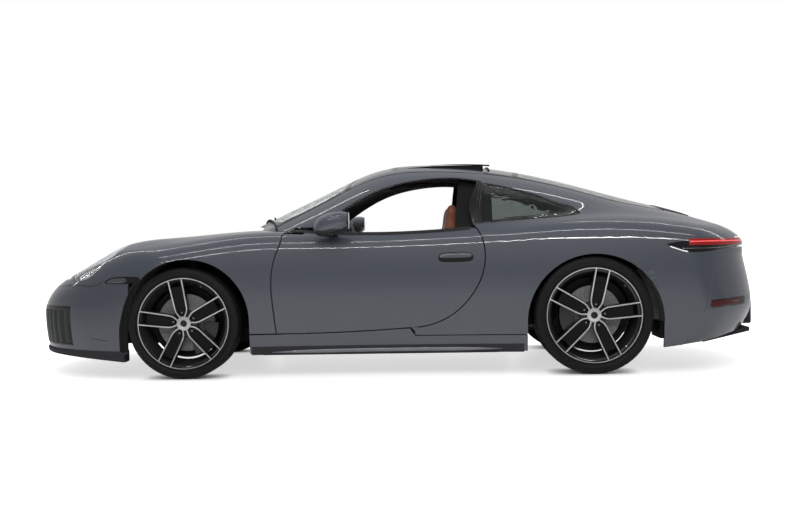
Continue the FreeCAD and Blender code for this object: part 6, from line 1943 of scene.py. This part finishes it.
    def build_rear(self) -> None:
        """The two small rear seats."""
        rows, columns = self.rear_grid
        shape = ((0.662, 0.500), (0.675, 0.545), (0.72, 0.556), (0.86, 0.540), (0.93, 0.545),
                 (0.965, 0.600), (1.02, 0.700), (1.080, 0.800), (1.105, 0.815), (1.125, 0.800))
        path = smooth_path([(x, 0.0, z) for x, z in shape], rows)
        ahead = np.gradient(path, axis=0)
        normal = np.stack([-ahead[:, 2], ahead[:, 1] * 0, ahead[:, 0]], -1)
        normal /= np.linalg.norm(normal, axis=1, keepdims=True)
        under = path - normal * 0.034
        for side, name in SIDES:
            draft = MeshDraft()
            top, base = np.zeros((2, rows, columns, 3))
            for i in range(rows):
                for j, share in enumerate(np.linspace(-1, 1, columns)):
                    lift, flute = self.section(share)
                    edge = self.rolled(abs(share) - 0.85, 0.0225)
                    deep = 0.010 * lift + 0.003 * (flute - 0.5) - 0.022 * (1 - edge)
                    spot = path[i] + normal[i] * (deep - 0.004)
                    y = side * 0.280 + 0.200 * share
                    top[i, j] = (spot[0], y, spot[2])
                    base[i, j] = (under[i, 0], y, under[i, 2])
            draft.add_shell(top, base)
            mesh = Pad(draft, reach=0.006).mesh(f"rear_seat_{name}")
            piece = finish_object(f"rear_seat_{name}", mesh, [LEATHER], "shell",
                                  ["rear_seats"] if side < 0 else [])


@dataclass
class Cockpit:
    """Dashboard, console, steering wheel, door cards, inner walls, headlining and mirror."""

    DASHBOARD = ((-0.785, 0.792), (-0.70, 0.826), (-0.61, 0.838), (-0.520, 0.826),
                 (-0.452, 0.795), (-0.428, 0.764), (-0.432, 0.742), (-0.452, 0.724),
                 (-0.447, 0.700), (-0.470, 0.672), (-0.500, 0.640), (-0.545, 0.598))

    wheel_centre: Point = (-0.18845, -0.375, 0.745)
    wheel_radius: float = 0.180
    wheel_lean: float = 19.8
    half_dashboard: float = 0.636
    card_y: float = 0.7100

    def build(self) -> None:
        """Makes the pieces of the cockpit."""
        self.build_dashboard()
        self.build_console()
        self.build_wheel()
        self.build_doors()
        self.build_walls()
        self.build_roof()

    @staticmethod
    def add_moulding(draft: MeshDraft, rows: Sequence[Sequence[Point]], tint: int) -> None:
        """Adds closed rows of points joined to one body, with a face at each end."""
        base, width = len(draft.spots), len(rows[0])
        draft.add_grid(np.array(rows), tint, closed_v=True)
        draft.faces += [tuple(start + k for k in range(width))
                        for start in (base, base + (len(rows) - 1) * width)]
        draft.tints += [tint] * 2

    def build_dashboard(self) -> None:
        """The dashboard's moulding, hood, screens, trim strip and vents."""
        outline = np.concatenate([smooth_path(self.DASHBOARD, 34), [(-0.782, 0.598)]])
        draft = MeshDraft()
        rows = []
        for y in np.linspace(-self.half_dashboard, self.half_dashboard, 49):
            close = 0.028 * (abs(y) / self.half_dashboard) ** 6
            rows.append([(x - close, y, z - close * 0.6) for x, z in outline])
        self.add_moulding(draft, rows, 0)
        hood = smooth_path([(-0.560, -0.585, 0.770), (-0.500, -0.560, 0.815),
                            (-0.478, -0.460, 0.842), (-0.474, -0.375, 0.846),
                            (-0.478, -0.290, 0.842), (-0.500, -0.190, 0.815),
                            (-0.560, -0.165, 0.770)], 40)
        draft.add_sweep(hood, oval(0.010, 0.060, 14, 2.6), (0.9, 0, 0.45), 0)
        lean = Matrix.Rotation(math.radians(-14), 4, "Y")
        for half, spot in ((0.165, (-0.452, -0.375, 0.784)), (0.150, (-0.418, 0.0, 0.748))):
            screen = MeshDraft()
            screen.add_box((-0.006, -half, -0.040), (0.0, half, 0.040), 1)
            draft.add_draft(screen, Matrix.Translation(spot) @ lean)
        strip = np.array([(-0.4435, y, 0.7125) for y in np.linspace(-0.60, 0.60, 30)])
        draft.add_sweep(strip, oval(0.008, 0.020, 12, 4.0), (0, 0, 1), 2)
        for y in (-0.575, -0.185, 0.185, 0.575):
            for z in [0.738 + k * 0.0075 for k in range(5)]:
                path = np.array([(-0.4415, y - 0.030, z), (-0.4405, y, z), (-0.4415, y + 0.030, z)])
                draft.add_sweep(path, oval(0.016, 0.0024, 8), (0, 0, 1), 3)
        seam = np.array([(-0.4455, y, 0.7985) for y in np.linspace(-0.60, 0.60, 40)])
        draft.add_sweep(seam, oval(0.0020, 0.0020, 6), (0, 0, 1), 4)
        draft.piece("dashboard_shape",
                    [BLACK_LEATHER, SCREEN, SATIN_METAL, GLOSS_BLACK, THREAD], "shell",
                    "seat_leather", ["dashboard"], sharp=40.0, merge=1e-7)

    def build_console(self) -> None:
        """The tunnel's console with its lever, tray and rest."""
        draft = MeshDraft()
        rows = [[(x, -wide, 0.299), (x, -wide, top - 0.016), (x, -wide * 0.86, top),
                 (x, 0.0, top + 0.003), (x, wide * 0.86, top), (x, wide, top - 0.016),
                 (x, wide, 0.299)]
                for x, top, wide in ((-0.785, 0.350, 0.096), (-0.60, 0.440, 0.096),
                                     (-0.42, 0.462, 0.094), (-0.25, 0.452, 0.092),
                                     (-0.05, 0.446, 0.090), (0.105, 0.448, 0.088))]
        self.add_moulding(draft, rows, 0)
        draft.add_box((-0.460, -0.072, 0.452), (-0.215, 0.072, 0.4625), 1)
        lever = MeshDraft()
        lever.add_lathe([(0.0, 0.0), (0.020, 0.0), (0.016, 0.006), (0.012, 0.020),
                         (0.016, 0.038), (0.0155, 0.046), (0.0, 0.049)], ORIGIN, 1, 24, 2,
                        closed=False)
        draft.add_draft(lever, facing_up(-0.330, 0.0, 0.4620) @ Matrix.Scale(0.82, 4))
        for y in (-0.040, 0.040):
            path = np.array([(x, y, 0.4640) for x in np.linspace(-0.44, -0.24, 6)])
            draft.add_sweep(path, oval(0.010, 0.003, 8), (0, 0, 1), 2)
        rest = [[(x, -0.070, 0.446), (x, -0.068, top - 0.004), (x, -0.050, top),
                 (x, 0.050, top), (x, 0.068, top - 0.004), (x, 0.070, 0.446)]
                for x, top in ((-0.140, 0.450), (-0.130, 0.464), (-0.02, 0.469), (0.085, 0.467),
                               (0.100, 0.452))]
        self.add_moulding(draft, rest, 3)
        draft.piece("console_shape", [BLACK_TRIM, GLOSS_BLACK, SATIN_METAL, LEATHER], "shell",
                    "black_trim", ["console"], bevel=0.004, sharp=35.0, merge=1e-7)

    def build_wheel(self) -> None:
        """The steering wheel: rim, spokes, blank hub pad, paddles and column."""
        lean = math.radians(self.wheel_lean)
        axis = Vector((math.cos(lean), 0.0, math.sin(lean)))
        rise = Vector((-math.sin(lean), 0.0, math.cos(lean)))
        aside = Vector((0.0, 1.0, 0.0))
        centre = Vector(self.wheel_centre)

        def spot(out: float, up: float, near: float) -> tuple[float, ...]:
            """A point of the wheel's own frame."""
            return tuple(centre + aside * out + rise * up + axis * near)

        def round_spot(radius: float, turn: float, near: float) -> tuple[float, ...]:
            """A point of the wheel's own frame, at a radius and a turn."""
            return spot(radius * math.sin(turn), radius * math.cos(turn), near)

        draft = MeshDraft()
        for radius, near, width, height, sides, tint in (
                (self.wheel_radius, 0.0, 0.026, 0.030, 16, 0),
                (0.1665, 0.004, 0.0024, 0.0030, 6, 2)):
            ring = [round_spot(radius, a, near) for a in np.linspace(0, 2 * math.pi, 97)[:-1]]
            draft.add_sweep(np.array(ring), oval(width, height, sides), tuple(axis), tint,
                            loop=True)
        for angle in (-90.0, 90.0, 168.0, 192.0):
            a = math.radians(angle)
            path = smooth_path([round_spot(0.038, a, 0.004), round_spot(0.095, a, 0.002),
                                round_spot(0.172, a, 0.0)], 14)
            draft.add_sweep(path, oval(0.034 if abs(angle) == 90.0 else 0.016, 0.012, 14, 3.0),
                            tuple(axis), 1)
        hub = MeshDraft()
        hub.add_lathe([(0.0, -0.030), (0.052, -0.030), (0.060, -0.008), (0.056, 0.010),
                       (0.044, 0.017), (0.0, 0.021)], ORIGIN, 1, 48, 0, closed=False)
        hub.add_lathe([(0.0, -0.290), (0.030, -0.290), (0.030, -0.030), (0.0, -0.030)],
                      ORIGIN, 1, 32, 1, closed=False)
        turn = Matrix((tuple(aside), tuple(axis), tuple(rise))).transposed().to_4x4()
        draft.add_draft(hub, Matrix.Translation(centre) @ turn)
        for side in (-1, 1):
            path = np.array([spot(side * 0.10, 0.030, -0.030), spot(side * 0.128, 0.045, -0.028),
                             spot(side * 0.140, 0.062, -0.028)])
            draft.add_sweep(path, oval(0.030, 0.004, 10, 3.0), tuple(axis), 2)
        draft.piece("steering_wheel_shape", [BLACK_LEATHER, GLOSS_BLACK, SATIN_METAL],
                    Body.STEERING.value, "seat_leather", ["steering_wheel"], sharp=40.0,
                    merge=1e-7)

    def build_doors(self) -> None:
        """The inner cards of the doors, with pull, pocket, lever and trim strip."""
        xs, rise = np.linspace(-0.58, 0.46, 40), np.linspace(0.0, 1.0, 26)
        feet = np.interp(xs, [0.08, 0.22, 0.32, 0.40, 0.46], [0.34, 0.38, 0.44, 0.52, 0.61])
        for side, name in SIDES:
            draft = MeshDraft()
            face, back = np.zeros((40, 26, 3)), np.zeros((40, 26, 3))
            for i, x in enumerate(xs):
                for j, z in enumerate(feet[i] + (0.842 - feet[i]) * rise):
                    swell = 0.010 * math.exp(-((z - 0.60) / 0.045) ** 2)
                    swell *= 1.0 - 0.5 * abs(x) / 0.6
                    y = 0.7085 - 0.006 - swell
                    face[i, j], back[i, j] = (x, side * y, z), (x, side * self.card_y, z)
            draft.add_shell(face, back, 0)
            draft.add_box((-0.40, side * 0.6995, 0.40), (0.30, side * 0.7035, 0.50), 1)
            pull = smooth_path([(-0.18, side * 0.702, 0.655), (-0.12, side * 0.684, 0.660),
                                (0.02, side * 0.684, 0.664), (0.08, side * 0.702, 0.662)], 18)
            draft.add_sweep(pull, oval(0.014, 0.020, 12), (0, 0, 1), 2)
            lever = smooth_path([(-0.36, side * 0.700, 0.700), (-0.33, side * 0.692, 0.702),
                                 (-0.27, side * 0.692, 0.702)], 10)
            draft.add_sweep(lever, oval(0.006, 0.014, 10), (0, 0, 1), 3)
            strip = np.array([(x, side * 0.7015, 0.742) for x in np.linspace(-0.56, 0.44, 30)])
            draft.add_sweep(strip, oval(0.004, 0.012, 8, 4.0), (0, 0, 1), 3)
            draft.piece(f"door_{name}_card", [BLACK_LEATHER, CARPET, LEATHER, SATIN_METAL],
                        f"door_{name}", "seat_leather", bevel=0.0015, sharp=35.0, merge=1e-7)

    @staticmethod
    def build_walls() -> None:
        """The dark trim behind the doors and their windows, and the wheel bays' inner walls."""
        draft = MeshDraft()
        for side in (-1, 1):
            x, z = np.meshgrid(np.linspace(0.405, 0.62, 14), np.linspace(0.862, 1.185, 16),
                               indexing="ij")
            x = x + 0.10 * (z - 1.03) * np.linspace(1, 0, 14)[:, None]
            skin = form.side_spot(x, z, side, form.house)
            draft.add_shell(skin - (0, side * 0.040, 0), skin - (0, side * 0.046, 0))
            draft.add_box((0.515, side * 0.690, 0.170), (0.800, side * 0.694, 0.900))
            for centre, y, rise in ((form.front_axle, 0.436, 0.334),
                                    (form.rear_axle, 0.588, 0.350)):
                turns = np.radians(np.linspace(-12, 192, 40))
                radii = np.linspace(0.115, 0.395, 5)
                grid = np.stack([centre + np.outer(np.cos(turns), radii),
                                 np.full((40, 5), side * y),
                                 rise + np.outer(np.sin(turns), radii)], -1)
                draft.add_shell(grid, grid - (0, side * 0.004, 0))
        draft.piece("inner_walls", [WEB_BLACK], "shell", "black_trim", merge=1e-6)

    @staticmethod
    def build_roof() -> None:
        """Headlining strips round the sunroof's opening, and the inner mirror."""
        draft = MeshDraft()
        for x0, x1, y0, y1 in ((-0.15, 0.70, -0.50, -0.435), (-0.15, 0.70, 0.435, 0.50),
                               (-0.15, -0.030, -0.43, 0.43), (0.640, 0.70, -0.43, 0.43)):
            x, y = np.meshgrid(np.linspace(x0, x1, 14), np.linspace(y0, y1, 10), indexing="ij")
            skin = form.top_spot(x, y, form.house)
            draft.add_shell(skin - (0, 0, 0.032), skin - (0, 0, 0.036), 0)
        pane = smooth_path([(-0.345, -0.115, 1.085), (-0.350, 0.0, 1.087),
                            (-0.345, 0.115, 1.085)], 16)
        draft.add_sweep(pane, oval(0.016, 0.055, 16, 3.0), (0, 0, 1), 1)
        draft.add_sweep(pane + np.array([0.0085, 0.0, 0.0]), oval(0.0016, 0.046, 14, 3.0),
                        (0, 0, 1), 2)
        stem = smooth_path([(-0.352, 0.0, 1.090), (-0.372, 0.0, 1.112),
                            (-0.395, 0.0, 1.125)], 8)
        draft.add_sweep(stem, oval(0.014, 0.014, 12), (0, 0, 1), 1)
        draft.piece("headlining", [HEADLINING, GLOSS_BLACK, REFLECTOR], "shell", "black_trim",
                    sharp=40.0, merge=1e-7)


# ---------------------------------------------------------------- carried-over nodes

class CarriedNodes:
    """CAD nodes whose shape stays, with their finishes."""

    FINISHES = {
        "cowl": BLACK_TRIM, "front_grilles": BLACK_TRIM,
        "bumper_guards": BLACK_TRIM, "diffuser": BLACK_TRIM, "wheel_housings": CARPET,
        "luggage_tub": CARPET, "lid_channel": BLACK_TRIM, "floor_pan": CHASSIS,
        "bulkhead": CHASSIS, "rear_floor": CHASSIS, "door_pillars": CHASSIS,
        "engine": ALLOY_CAST, "gearbox": ALLOY_CAST, "front_suspension": CHASSIS,
        "rear_suspension": CHASSIS, "knuckle_left": CHASSIS, "knuckle_right": CHASSIS,
        "rear_calipers": CALIPER, "front_caliper_left": CALIPER,
        "front_caliper_right": CALIPER, "exhaust": STEEL}

    def build(self) -> None:
        """Gives every shown CAD node its finish."""
        for node, finish in self.FINISHES.items():
            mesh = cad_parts[node].data
            mesh.materials.clear()
            mesh.materials.append(finish.material())


# ---------------------------------------------------------------- studio

@dataclass
class Studio:
    """Floor, backdrop light, lamps and the camera at the photograph's angle."""

    focal_px: float = 1144.7
    frame_px: tuple[int, int] = (790, 527)
    eye: Point = (0.2105, -7.700, 0.840)
    yaw: float = -0.0267
    pitch: float = -0.0243
    roll: float = -0.0161
    sensor: float = 36.0
    sight: float = 200.0
    floor_reach: float = 60.0
    floor_fade: tuple[float, float] = (2.3, 4.4)
    floor_near: float = 0.62
    floor_colour: tuple[float, ...] = (0.70, 0.70, 0.70, 1.0)
    white: tuple[float, ...] = (1.0, 1.0, 1.0, 1.0)
    ambient: float = 0.52
    mirror_near: float = 0.10
    mirror_far: float = 0.55

    def build(self) -> None:
        """Makes the camera first, then the stage."""
        self.build_camera()
        self.build_floor()
        self.build_world()
        self.build_lamps()

    def build_camera(self) -> None:
        """The camera, from its place and its three turns."""
        data = bpy.data.cameras.new("camera")
        camera = bpy.data.objects.new("camera", data)
        bpy.context.scene.collection.objects.link(camera)
        data.sensor_width = self.sensor
        data.lens = self.focal_px / self.frame_px[0] * data.sensor_width
        data.clip_end = self.sight
        ahead = Vector((math.sin(self.yaw) * math.cos(self.pitch),
                        math.cos(self.yaw) * math.cos(self.pitch), math.sin(self.pitch)))
        right = Vector((math.cos(self.yaw), -math.sin(self.yaw), 0.0))
        up = right.cross(ahead)
        c, s = math.cos(self.roll), math.sin(self.roll)
        aside, rise = right * c + up * s, up * c - right * s
        turn = Matrix((aside, rise, -ahead)).transposed().to_4x4()
        camera.matrix_world = Matrix.Translation(Vector(self.eye)) @ turn
        bpy.context.scene.camera = camera

    def build_floor(self) -> None:
        """A pale floor that keeps the car's shadow. Its glow to the camera grows away from the car,
        and ambient occlusion dims it near the car, a painted contact shadow.
        """
        mesh = bpy.data.meshes.new("floor")
        reach = self.floor_reach
        mesh.from_pydata([(-reach, -reach, 0), (reach, -reach, 0), (reach, reach, 0),
                          (-reach, reach, 0)], [], [(0, 1, 2, 3)])
        floor = bpy.data.objects.new("floor", mesh)
        bpy.context.scene.collection.objects.link(floor)
        finish = bpy.data.materials.new("floor_paint")
        finish.use_nodes = True
        tree = finish.node_tree
        shader = tree.nodes["Principled BSDF"]
        set_inputs(shader, {"Base Color": self.floor_colour, "Roughness": 0.32,
                            "Specular IOR Level": 0.35})
        glow = new_node(tree, "ShaderNodeEmission", {"Color": self.white})
        rays = new_node(tree, "ShaderNodeLightPath")
        seen = new_node(tree, "ShaderNodeMath", operation="MAXIMUM")
        place = new_node(tree, "ShaderNodeTexCoord")
        far = new_node(tree, "ShaderNodeVectorMath", operation="LENGTH")
        fade = new_node(tree, "ShaderNodeMapRange",
                        {"From Min": self.floor_fade[0], "From Max": self.floor_fade[1],
                         "To Min": self.floor_near, "To Max": 1.0})
        # Ambient occlusion darkens the floor's glow near the car and the tyres: a painted contact
        # shadow.
        contact_shade = new_node(tree, "ShaderNodeAmbientOcclusion", {"Distance": 0.10})
        level = new_node(tree, "ShaderNodeMath", operation="MULTIPLY")
        dark = new_node(tree, "ShaderNodeMath", operation="MULTIPLY")
        both = new_node(tree, "ShaderNodeAddShader")
        wire(tree, (rays, "Is Camera Ray", seen, 0), (rays, "Is Transmission Ray", seen, 1),
             (place, "Object", far, 0), (far, "Value", fade, "Value"), (seen, 0, level, 0),
             (fade, "Result", level, 1), (level, 0, dark, 0), (contact_shade, "AO", dark, 1),
             (dark, 0, glow, "Strength"), (shader, 0, both, 0), (glow, 0, both, 1),
             (both, 0, tree.nodes["Material Output"], "Surface"))
        mesh.materials.append(finish)

    def build_world(self) -> None:
        """White to the camera, plain as light, and darker near the camera in reflections."""
        world = bpy.data.worlds.new("studio")
        bpy.context.scene.world = world
        world.use_nodes = True
        tree = world.node_tree
        ground = tree.nodes["Background"]
        set_inputs(ground, {"Color": self.white})
        rays = new_node(tree, "ShaderNodeLightPath")
        seen = new_node(tree, "ShaderNodeMath", operation="MAXIMUM")
        place = new_node(tree, "ShaderNodeTexCoord")
        split = new_node(tree, "ShaderNodeSeparateXYZ")
        wall = new_node(tree, "ShaderNodeMapRange",
                        {"From Min": -0.5, "From Max": 0.9, "To Min": self.mirror_near,
                         "To Max": self.mirror_far})
        wall.interpolation_type = "SMOOTHSTEP"
        glossy = new_node(tree, "ShaderNodeMix", {2: self.ambient})
        final = new_node(tree, "ShaderNodeMix", {3: 1.0})
        wire(tree, (rays, "Is Camera Ray", seen, 0), (rays, "Is Transmission Ray", seen, 1),
             (place, "Generated", split, "Vector"), (split, "Y", wall, "Value"),
             (rays, "Is Glossy Ray", glossy, 0), (wall, "Result", glossy, 3),
             (seen, 0, final, 0), (glossy, 0, final, 2), (final, 0, ground, "Strength"))

    def build_lamps(self) -> None:
        """Soft boxes that reflections leave out, and the light lines that they show."""
        for name, spot, aim, size, power, mirrored in (
                ("overhead", (0.0, 0.4, 4.2), (0.0, 0.0, 0.0), (6.5, 3.2), 100.0, False),
                ("near_fill", (0.0, -6.0, 4.6), (0.0, 0.0, 0.5), (7.0, 1.6), 95.0, False),
                ("far_fill", (0.5, 5.5, 3.2), (0.0, 0.0, 0.5), (6.0, 1.6), 60.0, False),
                ("near_line", (0.1, -2.7, 3.3), (0.1, -1.0, 0.8), (6.2, 0.035), 30.0, True),
                ("low_line", (0.3, -5.2, 2.9), (0.3, -0.9, 0.6), (6.8, 0.045), 55.0, True),
                ("nose_line", (-3.2, 0.0, 3.3), (-1.5, 0.0, 0.6), (0.035, 5.4), 22.0, True),
                ("tail_line", (3.4, 0.0, 3.3), (1.5, 0.0, 0.7), (0.035, 5.4), 22.0, True)):
            data = bpy.data.lights.new(name, "AREA")
            data.shape = "RECTANGLE"
            data.size, data.size_y = size
            data.energy = power
            lamp = bpy.data.objects.new(name, data)
            bpy.context.scene.collection.objects.link(lamp)
            lamp.location = spot
            lamp.rotation_euler = (Vector(aim) - Vector(spot)).to_track_quat("-Z", "Y").to_euler()
            lamp.visible_glossy = mirrored


def main() -> None:
    """Builds the coupe's looks round its frame, in order."""
    logging.basicConfig(level=logging.INFO, format="%(message)s")
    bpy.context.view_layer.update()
    bpy.context.scene.view_settings.view_transform = "Standard"
    Studio().build()
    Shell().build()
    CarriedNodes().build()
    for part in (HeadLamps(), TailLamps(), FrontTrim(), WindowTrim(), DoorFittings(),
                 Mirrors(), Wipers(), RearTrim(), Seats(), Cockpit()):
        part.build()
    for side in (-1, 1):
        for label, axle, out, radius, half, rim, turn in (
                ("front", form.front_axle, 0.7945, 0.334, 0.1225, 0.2735, 28.0),
                ("rear", form.rear_axle, 0.7725, 0.350, 0.150, 0.283, 7.0)):
            WheelSet(label, side, (axle, side * out, radius), radius, half, rim, turn).build()


if __name__ == "__main__":
    main()
